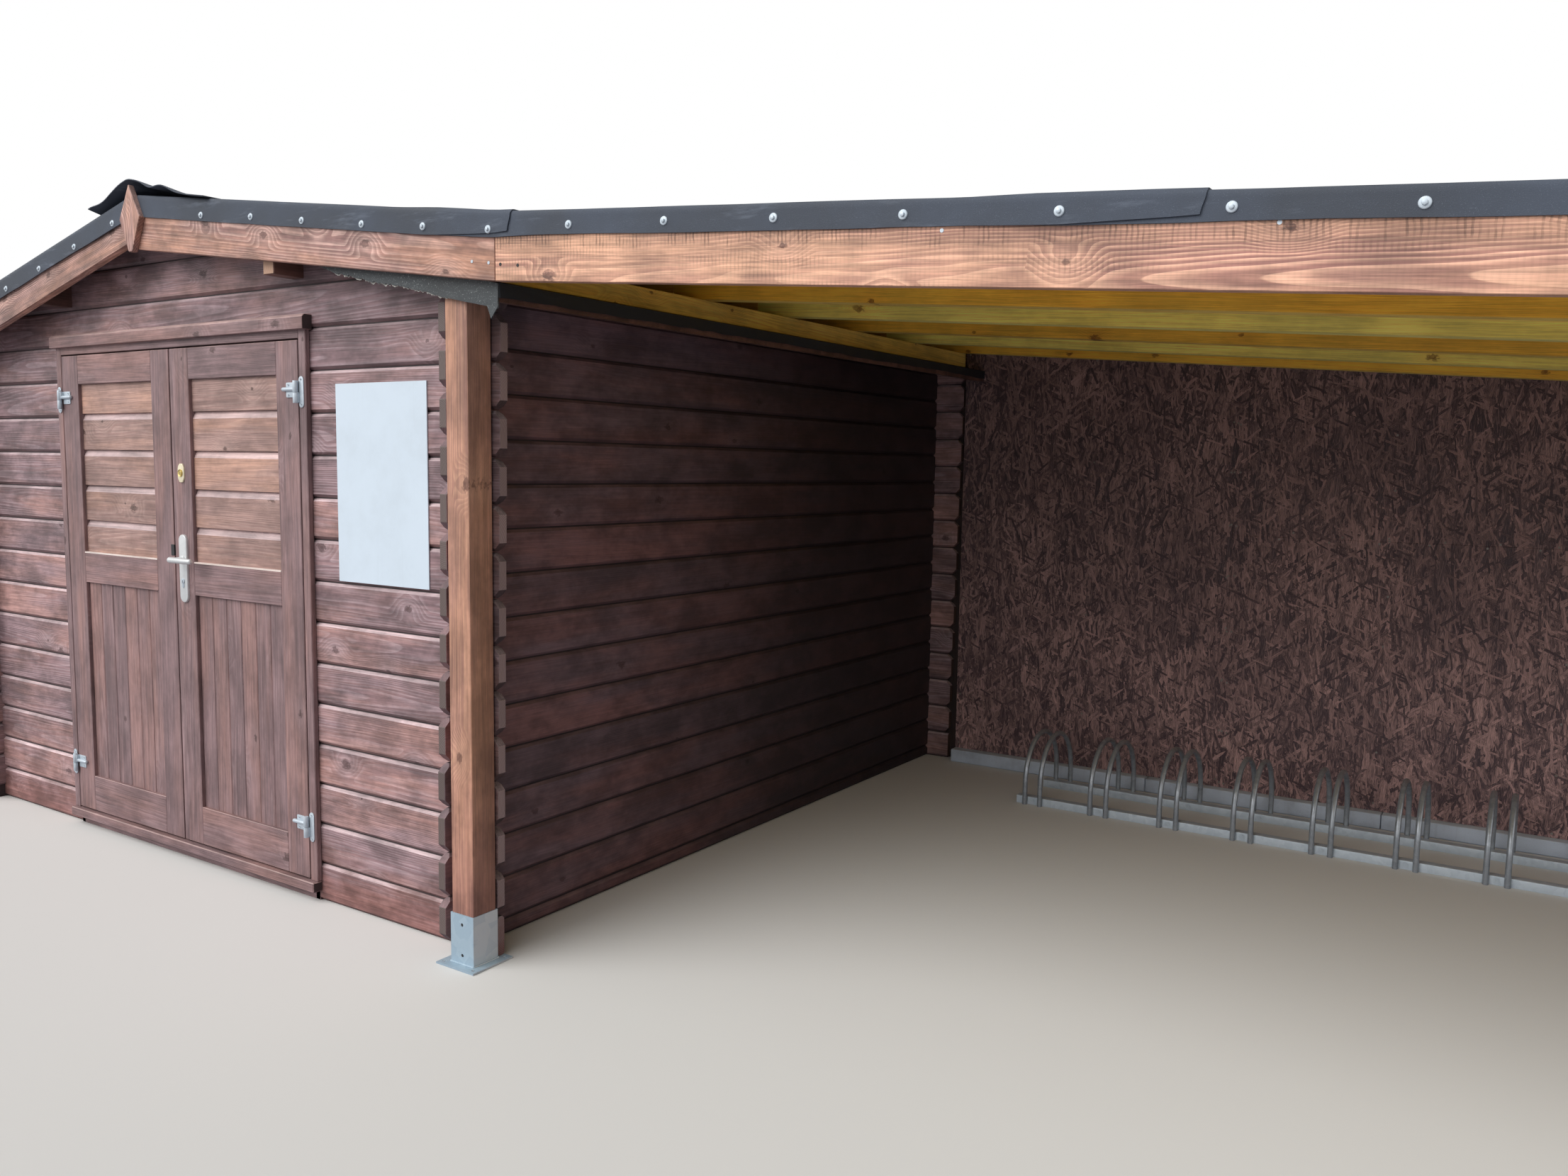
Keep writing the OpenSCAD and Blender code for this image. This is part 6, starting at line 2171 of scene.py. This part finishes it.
    def build(self) -> None:
        """Builds the felt and its screws."""
        site = self.site
        felt = self.finishes.felt
        edges = [site.ridge_x, *(end for _, end in self.laps)]
        starts = [site.ridge_x, *(start for start, _ in self.laps)]
        parts = [self.sheet(start, end, False, lap) for start, end, lap in zip(starts, edges[1:], self.laps)]
        parts.append(self.sheet(starts[-1], site.right_x + self.edge_out, True, None))
        self.bench.finish(parts, "long_roof_felt", felt, "roofing_felt", stands_for=["long_felt"], smooth=50)
        left = [self.sheet(site.ridge_x, site.left_x - self.edge_out, True, None, 1.3)]
        self.bench.finish(left, "left_roof_felt", felt, "roofing_felt", stands_for=["left_felt"], smooth=50)
        self.bench.finish([self.cap()], "ridge_cap_felt", felt, "roofing_felt", smooth=60)
        zinc = self.finishes.zinc
        self.small_screws()
        screws = self.screws()
        self.bench.finish(screws, "felt_screws", zinc, "zinc_steel", smooth=40)
        log.info("felt: 4 sheets, cap and %d screws", len(screws))


@dataclass
class OldEave(Assembly):
    """What is left of the old roof over the corner: torn felt on the gable and its fold at the eave.

    Attributes:
        edge: Place of the old roof's eave.
        flap_inner: Height of the flap at its inner end.
        flap_outer: Height of the flap at the eave.
        flap_start: Where the flap begins.
        thick: Thickness of the felt.
        torn: Where the torn part starts and ends.
        post_back: Depth at which the felt on the old deck begins.
    """

    edge: float = 0.24
    flap_inner: float = 0.088
    flap_outer: float = 0.06
    flap_start: float = -0.64
    thick: float = 0.004
    torn: Span = (-0.52, 0.03)
    post_back: float = -0.005

    def hem(self, x: float) -> float:
        """Height of the flap's lower edge."""
        share = (x - self.flap_start) / (self.edge - self.flap_start)
        inner = 0.055 * max(0.0, (self.torn[0] + 0.1 - x) / 0.16) ** 1.5
        return self.site.old_roof(x) - self.flap_inner - (self.flap_outer - self.flap_inner) * share + inner

    def tear(self, x: float) -> float:
        """How far the lower edge is torn away."""
        start, end = self.torn
        if not start < x < end:
            return 0.0
        inside = min(1.0, (x - start) / 0.05, (end - x) / 0.05)
        ripple = self.bench.ripple
        depth = 0.006
        for row, (height, size) in enumerate(((0.006, 0.05), (0.005, 0.014), (0.003, 0.005))):
            depth += height * ripple(x, row, size)
        return inside * depth

    def flap(self) -> list[Object]:
        """Makes the flap on the front gable with its hanging tail."""
        y = self.site.front_y + self.site.fascia_t
        top = self.site.old_roof
        end = self.edge + self.thick

        def shape(along: float, across: float) -> tuple[float, float, float]:
            """Gives the place of one point of the flap."""
            x = self.flap_start + (end - self.flap_start) * along
            low = self.hem(x) + self.tear(x)
            bulge = 0.003 * across * self.bench.ripple(x, across, 0.12)
            return x, y - abs(bulge), top(x) + 0.003 + (low - top(x) - 0.003) * across

        def tail(along: float, across: float) -> tuple[float, float, float]:
            """Gives the place of one point of the tail, which narrows to a point."""
            x = 0.203 + (0.041 * along) * (1 - across) + 0.021 * across
            return x, y - 0.002 - 0.005 * across, self.hem(x) + 0.004 - 0.034 * across

        return [self.bench.sheet(150, 6, shape, self.thick), self.bench.sheet(6, 6, tail, 0.003)]

    def fringe(self) -> Object:
        """Makes the pale fibres that hang from the torn edge."""
        y = self.site.front_y + self.site.fascia_t
        start, end = self.torn[0] + 0.1, self.torn[1] + 0.02
        ripple = self.bench.ripple

        def shape(along: float, across: float) -> tuple[float, float, float]:
            """Gives the place of one point of the fringe."""
            x = start + (end - start) * along
            ragged = 0.001 + 0.005 * abs(ripple(x, 0, 0.03, 2.0)) + 0.003 * ripple(x, 0, 0.006, 3.0)
            return x, y + 0.0012, self.hem(x) + self.tear(x) + 0.004 - (0.004 + max(0.0, ragged)) * across

        return self.bench.sheet(260, 2, shape, 0.0008)

    def fold(self) -> list[Object]:
        """Makes the fold along the eave and the felt that lies on the old deck behind the post."""
        back = self.site.store_d - self.site.log_t - 0.005
        front, ripple = self.site.front_y + self.site.fascia_t, self.bench.ripple

        def shape(along: float, across: float) -> tuple[float, float, float]:
            """Gives the place of one point of the fold."""
            y = front + (back - front) * along
            low = 0.034 + 0.005 * ripple(y, 0, 0.3, 5.0) + 0.004 * ripple(y, 1, 0.05, 5.0)
            out = self.edge + self.thick - 0.0005 + 0.003 * across * abs(ripple(y, 2, 0.2, 6.0))
            return out, y, self.site.old_roof(self.edge) + self.thick - low * across

        fold = self.bench.sheet(60, 4, shape, 0.003)
        lying = self.bench.block((-0.9, self.post_back, 0.0003), (self.edge + self.thick, back, self.thick))
        for vertex in lying.data.vertices:
            vertex.co.z += self.site.old_roof(vertex.co.x)
        return [fold, lying]

    def build(self) -> None:
        """Builds the old felt."""
        bench, looks = self.bench, self.finishes
        bench.finish(self.flap(), "old_gable_felt", looks.old_felt, "roofing_felt", stands_for=["old_felt"],
                     smooth=40)
        bench.finish(self.fold(), "old_eave_felt", looks.dark_felt, "roofing_felt", smooth=40)
        bench.finish([self.fringe()], "old_felt_fibres", looks.fibre, "roofing_felt")
        log.info("old eave: torn flap, tail, fibres and fold")


@dataclass
class BayFrame(Assembly):
    """The posts, the beams and the closed back of the open bay.

    Attributes:
        post_w: Width of a post.
        post_x: Left face of the corner post.
        post_y: Front face of the front posts.
        base_t: Thickness of a shoe's base plate.
        beam_h: Height of the end beam.
        wall_beam: Left and right face of the beam along the store's wall.
        sheet_x: Left edge of the back sheets.
        sheet_w: Width of the upright sheet.
        sheet_t: Thickness of the sheets.
        kerb_h: Height of the kerb.
        kerb_front: How far the kerb lies in front of the sheets.
        kerb_d: Depth of the kerb.
        low_sheet_h: Height of the lower lying sheet.
        stud_w: Width of a stud.
        stud_d: Depth of a stud.
        stud_count: How many studs there are.
        nail_pitch: About how far apart the nails are in a stud.
        seam_pitch: About how far apart they are along the lying sheets' joint.
        stones: How many lengths the kerb has.
        stone_gap: Joint between two lengths.
        corner_w: Width of the stud at the store's corner.
        shoe_w: Width of a post shoe.
        shoe_h: Height of a post shoe.
        weld_r: Radius of a weld bead.
        screw_r: Radius of a screw head in a shoe.
        nail_r: Radius of a nail head.
    """

    post_w: float = 0.085
    post_x: float = 0.025
    post_y: float = -0.09
    base_t: float = 0.005
    beam_h: float = 0.1
    wall_beam: Span = (0.1, 0.145)
    sheet_x: float = 0.15
    sheet_w: float = 1.25
    sheet_t: float = 0.012
    kerb_h: float = 0.06
    kerb_front: float = 0.05
    kerb_d: float = 0.147
    low_sheet_h: float = 1.09
    stud_w: float = 0.045
    stud_d: float = 0.07
    stud_count: int = 6
    nail_pitch: float = 0.22
    seam_pitch: float = 0.18
    stones: int = 4
    stone_gap: float = 0.003
    corner_w: float = 0.085
    shoe_w: float = 0.091
    shoe_h: float = 0.148
    weld_r: float = 0.0032
    screw_r: float = 0.0047
    nail_r: float = 0.0042

    @property
    def end_x(self) -> float:
        """Left face of the end posts."""
        return self.site.bay_w - self.post_w

    @property
    def stud_step(self) -> float:
        """Distance from stud to stud."""
        return (self.end_x - self.sheet_x) / self.stud_count

    @property
    def back(self) -> float:
        """Front face of the back sheets."""
        return self.site.store_d - self.site.log_t

    @property
    def frame_y(self) -> float:
        """Back face of the back sheets."""
        return self.back + self.sheet_t

    def under(self, x: float) -> float:
        """Height of the rafters' underside."""
        return self.site.bay_line(x) - self.site.deck_t - self.site.rafter_h

    @property
    def beam_z(self) -> float:
        """Underside of the end beam."""
        return self.under(self.site.bay_w) - self.beam_h

    def post(self, x: float, y: float, low: float, top: float, tone: float) -> Object:
        """Makes a post with eased corners."""
        post = self.bench.block((x, y, low), (x + self.post_w, y + self.post_w, top))
        self.bench.chamfer(post, 0.0035, lambda a, b: abs(a.z - b.z) > 0.5, 3)
        self.bench.mark(post, Axis.Z, Axis.Y, tone=tone)
        return post

    def posts(self) -> None:
        """Builds the corner post and the two end posts."""
        bench, site = self.bench, self.site
        stain = self.finishes.post
        corner = self.post(self.post_x, self.post_y, self.base_t,
                           self.under(self.post_x + self.post_w) - 0.0002, 0.6)
        bench.finish([corner], "corner_post_timber", stain, "stained_wood", stands_for=["corner_post"],
                     smooth=30)
        end_x = self.end_x
        ends = [self.post(end_x, self.post_y, self.base_t, self.beam_z, 0.5),
                self.post(end_x, self.frame_y, self.kerb_h, self.beam_z, 0.4)]
        bench.finish(ends, "end_post_timbers", stain, "stained_wood", stands_for=["end_posts"], smooth=30)
        drop = self.under(site.bay_w) - self.under(end_x)
        beam = bench.block((end_x, site.front_y + site.fascia_t, self.beam_z),
                           (site.bay_w, self.frame_y + self.post_w, self.under(end_x) - HAIR))
        bench.nudge(beam, lambda at: at.z > self.beam_z + 0.05 and at.x > site.bay_w - 0.001,
                    (0.0, 0.0, drop))
        bench.soften(beam, 0.003, 2)
        bench.mark(beam, Axis.Y, Axis.X, tone=0.5)
        bench.finish([beam], "end_beam_timber", stain, "stained_wood", stands_for=["end_beam"])
        low_x, high_x = self.wall_beam
        beam = bench.block((low_x, self.post_y + self.post_w, 0.0), (high_x, self.back, 0.0001))
        for vertex in beam.data.vertices:
            upper = vertex.co.z > 0.00005
            vertex.co.z = self.under(vertex.co.x) if upper else site.old_roof(vertex.co.x) + 0.004
        bench.soften(beam, 0.002)
        bench.mark(beam, Axis.Y, Axis.X, tone=0.4)
        bench.finish([beam], "wall_beam_timber", self.finishes.treated, "treated_wood",
                     stands_for=["wall_beam"])

    def welds(self) -> None:
        """Lays the weld beads round the feet of the two front shoes."""
        half, beads = self.shoe_w / 2 + 0.0005, []
        for x in (self.post_x, self.end_x):
            cx, cy = x + self.post_w / 2, self.post_y + self.post_w / 2
            corners = [(cx + right * half, cy + up * half) for right, up in SQUARE]
            for start, end in zip(corners, corners[1:] + corners[:1]):
                bead = self.bench.rod((*start, self.base_t), (*end, self.base_t), self.weld_r, 10)
                for place in (0.2, 0.4, 0.6, 0.8):
                    at = Vector((*start, 0)).lerp(Vector((*end, 0)), place)
                    self.bench.loop(bead, at, Vector((end[0] - start[0], end[1] - start[1], 0)))
                for vertex in bead.data.vertices:
                    vertex.co.z += 0.0012 * self.bench.ripple(vertex.co.x * 30, vertex.co.y * 30, 1.0)
                beads.append(bead)
        self.bench.finish(beads, "shoe_welds", self.finishes.shoe, "zinc_steel", smooth=60)

    def shoe_screws(self) -> None:
        """Sets the dark screws deep in the holes of the shoes."""
        screws = []
        for x in (self.post_x, self.end_x):
            middle = x + self.post_w / 2
            for y, out in ((self.post_y, -1), (self.post_y + self.post_w, 1)):
                for z in (0.2 * self.shoe_h, 0.8 * self.shoe_h):
                    screws.append(self.bench.rod((middle, y - out * 0.002, z),
                                                 (middle, y + out * 0.0012, z), self.screw_r, 16))
        self.bench.finish(screws, "shoe_screw_heads", self.finishes.black, "zinc_steel", smooth=40)

    def sheets(self) -> None:
        """Builds the back sheets and the nails in them."""
        site, bench = self.site, self.bench
        split = self.sheet_x + self.sheet_w
        level = self.kerb_h + self.low_sheet_h
        end_x = self.end_x

        def top(x: float) -> float:
            """Height of the sheets' upper edge."""
            return site.roof(x) - site.deck_t - HAIR

        upright = [(self.sheet_x, self.kerb_h), (split, self.kerb_h), (split, top(split)),
                   (site.kink_x, top(site.kink_x)), (self.sheet_x, top(self.sheet_x))]
        low = [(split, self.kerb_h), (site.bay_w, self.kerb_h), (site.bay_w, level), (split, level)]
        high = [(split, level), (site.bay_w, level), (site.bay_w, self.beam_z), (end_x, self.beam_z),
                (end_x, top(end_x)), (split, top(split))]
        parts = [bench.plate(outline, Axis.Y, self.back, self.frame_y) for outline in (upright, low, high)]
        for part in parts:
            bench.soften(part, 0.001)
        bench.finish(parts, "back_strand_sheets", self.finishes.strand, "sheet_wood",
                     stands_for=["back_sheets"])
        places = []
        studs = [self.sheet_x + self.stud_step * stud for stud in range(1, self.stud_count)]
        middles = [x + self.stud_w / 2 for x in studs]
        for x in [self.sheet_x + 0.02, split - 0.012, split + 0.014, *middles]:
            count = int((top(x) - self.kerb_h) / self.nail_pitch)
            for place in range(count + 1):
                places.append((x, self.kerb_h + 0.03 + (top(x) - self.kerb_h - 0.12) * place / count))
        across = int((end_x - split) / self.seam_pitch)
        for place in range(1, across):
            x = split + (end_x - split) * place / across
            places += [(x, level - 0.013), (x + 0.05, level + 0.013)]
        model = bench.rod((0, 0.001, 0), (0, -0.0009, 0), self.nail_r, 12)
        chance = bench.chance
        nails = bench.repeat(model, [
            (x + chance.uniform(-0.008, 0.008), self.back, z + chance.uniform(-0.015, 0.015))
            for x, z in places if z < self.beam_z or x < end_x
        ])
        bench.finish(nails, "sheet_nails", self.finishes.nail, "zinc_steel")

    def studs(self) -> None:
        """Builds the studs and plates behind the sheets."""
        site, bench = self.site, self.bench
        end_x = self.end_x
        y0, y1 = self.frame_y, self.frame_y + self.stud_d
        under = -site.deck_t - self.stud_w
        studs = []
        foot = self.kerb_h + self.stud_w
        for stud in range(self.stud_count):
            x = self.sheet_x + self.stud_step * stud
            top = site.roof(x + self.stud_w) + under
            studs.append(bench.board((x, y0, foot), (x + self.stud_w, y1, top), Axis.Z, Axis.Y))
        studs.append(bench.board((self.sheet_x, y0, self.kerb_h), (end_x, y1, foot), Axis.X, Axis.Y))
        for start, end in ((self.sheet_x, site.kink_x), (site.kink_x, site.bay_w)):
            low, high = (start, y0, under), (end, y1, under + self.stud_w - HAIR)
            studs.append(bench.board(low, high, Axis.X, Axis.Y, line=site.roof))
        # The corner stud's near-black stain is painted shade: it fills the dark gap behind the log ends.
        top = site.old_roof(self.sheet_x) - 0.019
        corner = bench.board((self.sheet_x - self.corner_w, site.store_d + 0.0003, 0.0),
                             (self.sheet_x, y1, top), Axis.Z, Axis.Y, tone=0.3)
        bench.finish([corner], "corner_stud", self.finishes.stud, "treated_wood")
        bench.finish(studs, "back_studs", self.finishes.treated, "treated_wood",
                     stands_for=["back_frame"])

    def kerb(self) -> None:
        """Lays the kerb under the sheets, in lengths of about a metre."""
        start, end, count = self.sheet_x, self.site.bay_w + 0.03, self.stones
        y0 = self.back - self.kerb_front
        stones = []
        for place in range(count):
            x0 = start + (end - start) * place / count
            x1 = start + (end - start) * (place + 1) / count - (self.stone_gap if place < count - 1 else 0.0)
            stone = self.bench.block((x0, y0, 0.0), (x1, y0 + self.kerb_d, self.kerb_h))
            self.bench.soften(stone, 0.005, 3)
            stones.append(stone)
        self.bench.finish(stones, "kerb_stones", self.finishes.concrete, "concrete",
                          stands_for=["kerb"], smooth=35)

    def build(self) -> None:
        """Builds the bay."""
        self.posts()
        self.welds()
        self.shoe_screws()
        self.sheets()
        self.studs()
        self.kerb()
        log.info("bay: posts, beams, sheets, studs and kerb")


@dataclass
class BikeRack(Assembly):
    """The wheel rack: pairs of bent tubes on two rails.

    Attributes:
        places: How many wheels it takes.
        pitch: Distance from place to place.
        start_x: Middle of the first tube.
        slot_w: Distance between the two tubes of a place.
        tube_r: Radius of a tube.
        height: Height of a hoop.
        leg_pitch: Distance between the two legs of a hoop.
        leg_y: Depth of the front legs.
        rail_w: Width of a rail.
        rail_h: Height of a rail.
        rail_t: Thickness of a rail's metal.
        bolt_r: Radius of a bolt's head.
        washer_r: Radius of its washer.
    """

    places: int = 10
    pitch: float = 0.283
    start_x: float = 0.732
    slot_w: float = 0.066
    tube_r: float = 0.01
    height: float = 0.29
    leg_pitch: float = 0.37
    leg_y: float = 2.415
    rail_w: float = 0.04
    rail_h: float = 0.032
    rail_t: float = 0.0025
    bolt_r: float = 0.0075
    washer_r: float = 0.011

    def hoop(self) -> Object:
        """Bends one tube: up from the ground, over a half circle, and down again."""
        bench = self.bench
        bench.clear()
        bpy.ops.mesh.primitive_circle_add(vertices=16, radius=self.tube_r, location=(0, self.leg_y, 0))
        tube = bench.settle()
        spring = self.height - self.leg_pitch / 2 - self.tube_r
        bench.pick(tube, Part.VERTEX, lambda at: True)
        bpy.ops.mesh.extrude_region_move(TRANSFORM_OT_translate={"value": (0, 0, spring)})
        bpy.ops.mesh.spin(steps=20, angle=math.pi, center=(0, self.leg_y + self.leg_pitch / 2, spring),
                          axis=(1, 0, 0))
        bpy.ops.mesh.extrude_region_move(TRANSFORM_OT_translate={"value": (0, 0, -spring)})
        bpy.ops.mesh.select_all(action="SELECT")
        bpy.ops.mesh.remove_doubles(threshold=1e-5)
        bpy.ops.mesh.normals_make_consistent(inside=False)
        bench.clear()
        return tube

    def rail(self, y: float) -> Object:
        """Makes one rail, an open channel with its lips down."""
        length = self.pitch * (self.places - 1) + self.slot_w + 2 * self.rail_w
        start = self.start_x - self.rail_w
        w, h, t = self.rail_w, self.rail_h, self.rail_t
        outline = [(y, 0.0), (y + t, 0.0), (y + t, h - t), (y + w - t, h - t), (y + w - t, 0.0),
                   (y + w, 0.0), (y + w, h), (y, h)]
        rail = self.bench.plate(outline, Axis.X, start, start + length)
        self.bench.chamfer(rail, 0.002, lambda a, b: abs(a.x - b.x) > 1 and a.z > h - 1e-5, 3)
        return rail

    def build(self) -> None:
        """Builds the rack."""
        bench = self.bench
        starts = [self.start_x + self.pitch * place for place in range(self.places)]
        hoops = bench.repeat(self.hoop(), [(x + side, 0, 0) for x in starts for side in (0.0, self.slot_w)])
        bench.finish(hoops, "rack_tubes", self.finishes.tube, "zinc_steel", stands_for=["rack_hoops"],
                     smooth=50)
        front = self.leg_y + self.tube_r
        back = self.leg_y + self.leg_pitch - self.tube_r - self.rail_w
        rails = [self.rail(front), self.rail(back)]
        bench.finish(rails, "rack_channels", self.finishes.zinc, "zinc_steel",
                     stands_for=["rack_rails"], smooth=40)
        bolt = bench.rod((0, 0.001, 0), (0, -0.004, 0), self.bolt_r, 6)
        washer = bench.rod((0, 0.001, 0), (0, -0.0012, 0), self.washer_r, 20)
        places = [(x + self.slot_w / 2, y, self.rail_h * 0.55) for x in starts for y in (front, back)]
        bolts = bench.repeat(bench.join([bolt, washer], "bolt"), places)
        bench.finish(bolts, "rack_bolts", self.finishes.zinc, "zinc_steel", smooth=40)
        log.info("rack: %d hoops on 2 rails", len(hoops))


def sign(bench: Bench, finishes: Finishes) -> None:
    """Hangs the bare sign beside the door."""
    middle, width, base, height = -0.3565, 0.407, 1.041, 0.598
    panel = bench.block((middle - width / 2, -0.004, base), (middle + width / 2, -0.0002, base + height))
    bench.soften(panel, 0.0008, 2)
    bench.finish([panel], "sign_board", finishes.sheet, "white_sheet", stands_for=["sign_panel"])


@dataclass
class Stage:
    """The plain floor, the soft light and the camera, which aren't part of the shelter.

    Attributes:
        bench: The workbench.
        floor_w: Width of the floor.
        sun_power: Strength of the main light.
        sun_spread: Width of the main light in the sky, in degrees.
        sun_way: Direction that the main light shines in.
        focal: The camera's focal length in millimetres.
        sensor: Width of the camera's sensor in millimetres.
        stand: Place of the camera.
        turns: How the camera is turned, in degrees about each axis in this order.
    """

    bench: Bench
    floor_w: float = 80.0
    sun_power: float = 1.6
    sun_spread: float = 50.0
    sun_way: tuple[float, float, float] = (0.55, 1.0, -0.95)
    focal: float = 27.63
    sensor: float = 36.0
    stand: tuple[float, float, float] = (2.110, -3.8385, 1.411)
    turns: tuple[tuple[float, str], ...] = ((33.045, "Z"), (-5.757, "X"), (-0.882, "Y"))

    def floor(self) -> None:
        """Lays a pale floor that reflects less light than it shows."""
        self.bench.clear()
        bpy.ops.mesh.primitive_plane_add(size=self.floor_w, location=(0, 0, -0.0006))
        ground = self.bench.settle()
        ground.name = "floor"
        material, graph = new_material("pale floor")
        seen = graph.node("ShaderNodeLightPath").outputs["Is Camera Ray"]
        colour = graph.mix(seen, tint(163, 163, 170), tint(226, 225, 222))
        graph.surface(colour, 0.9)
        ground.data.materials.append(material)

    def light(self) -> None:
        """Lights the scene from above, with a soft main light from the front and left."""
        world = bpy.data.worlds.new("studio")
        bpy.context.scene.world = world
        world.use_nodes = True
        world.node_tree.nodes.clear()
        graph = Graph(world.node_tree)
        x, y, z = graph.split(graph.node("ShaderNodeTexCoord").outputs["Generated"])
        front = graph.smooth(graph.times(y, -1.0), -0.3, 0.9, 0.1, 1.75)
        front = graph.times(front, graph.smooth(x, 0.05, 0.85, 1.0, 0.1))
        level = graph.times(front, graph.smooth(z, -0.1, 0.6, 0.5, 1.0))
        white = (1.0, 1.0, 1.0, 1.0)
        sky = graph.node("ShaderNodeBackground", {"Color": white, "Strength": level})
        blank = graph.node("ShaderNodeBackground", {"Color": white, "Strength": 1.0})
        path = graph.node("ShaderNodeLightPath").outputs
        seen = graph.math("MAXIMUM", path["Is Camera Ray"], path["Is Glossy Ray"])
        seen = graph.math("MAXIMUM", seen, path["Is Transmission Ray"])
        both = graph.node("ShaderNodeMixShader", {0: seen, 1: sky.outputs[0], 2: blank.outputs[0]})
        graph.node("ShaderNodeOutputWorld", {"Surface": both.outputs[0]})
        lamp = bpy.data.lights.new("main light", "SUN")
        lamp.energy = self.sun_power
        lamp.angle = math.radians(self.sun_spread)
        holder = bpy.data.objects.new("main light", lamp)
        holder.rotation_euler = Vector(self.sun_way).to_track_quat("-Z", "Y").to_euler()
        bpy.context.scene.collection.objects.link(holder)

    def camera(self) -> None:
        """Sets the camera as the photograph was taken."""
        lens = bpy.data.cameras.new("camera")
        lens.lens = self.focal
        lens.sensor_width = self.sensor
        turn = Matrix.Identity(3)
        for angle, axis in self.turns:
            turn = turn @ Matrix.Rotation(math.radians(angle), 3, axis)
        right, forward, up = turn.col[0], turn.col[1], turn.col[2]
        view = Matrix((right, up, -forward)).transposed().to_4x4()
        holder = bpy.data.objects.new("camera", lens)
        holder.matrix_world = Matrix.Translation(self.stand) @ view
        bpy.context.scene.collection.objects.link(holder)
        bpy.context.scene.camera = holder

    def build(self) -> None:
        """Sets up the floor, the light and the camera."""
        self.floor()
        self.light()
        self.camera()
        bpy.context.scene.view_settings.view_transform = "Standard"


def dress_frame(finishes: Finishes) -> None:
    """Gives each of the frame's own nodes its finish, for those that stay in view."""
    record = frame["record"]
    slots = {part["node"]: part["material_slot"] for part in record["subparts"]}
    by_slot = {
        "cabin_wood": finishes.cabin, "panel_wood": finishes.panel, "stained_wood": finishes.board,
        "treated_wood": finishes.treated, "sheet_wood": finishes.strand, "roofing_felt": finishes.felt,
        "zinc_steel": finishes.zinc, "satin_steel": finishes.satin, "brass": finishes.brass,
        "white_sheet": finishes.sheet, "concrete": finishes.concrete,
    }
    special = {"post_shoes": finishes.shoe, "old_deck": finishes.purlin, "left_deck": finishes.purlin}
    along_y = {"floor_bearers", "wall_beam", "end_beam", "purlins", "left_wall", "right_wall", "eave_boards"}
    for name, node in frame["nodes"].items():
        grain = Grain.ALONG_Y if name in along_y else Grain.ALONG_X
        node.data.materials.clear()
        finish = special.get(name, by_slot[slots[name]])
        node.data.materials.append(finishes.of(finish, grain))


def main() -> None:
    """Builds and dresses the shelter."""
    logging.basicConfig(level=logging.INFO, format="%(name)s: %(message)s")
    site = Site()
    corner = Vector((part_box("right_wall")[1].x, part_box("front_wall_right")[0].y, 0.0))
    finishes = Finishes()
    bench = Bench(corner, finishes, seed=11)
    Stage(bench).build()
    dress_frame(finishes)
    LogWalls(bench, site, finishes).build()
    Doorway(bench, site, finishes).build()
    for side in Side:
        DoorLeaf(bench, site, finishes, side).build()
    Hardware(bench, site, finishes).build()
    sign(bench, finishes)
    for assembly in (RoofBoards, RoofFelt, OldEave, BayFrame, BikeRack):
        assembly(bench, site, finishes).build()
    log.info("%d pieces in all", bench.pieces)


if __name__ == "__main__":
    main()
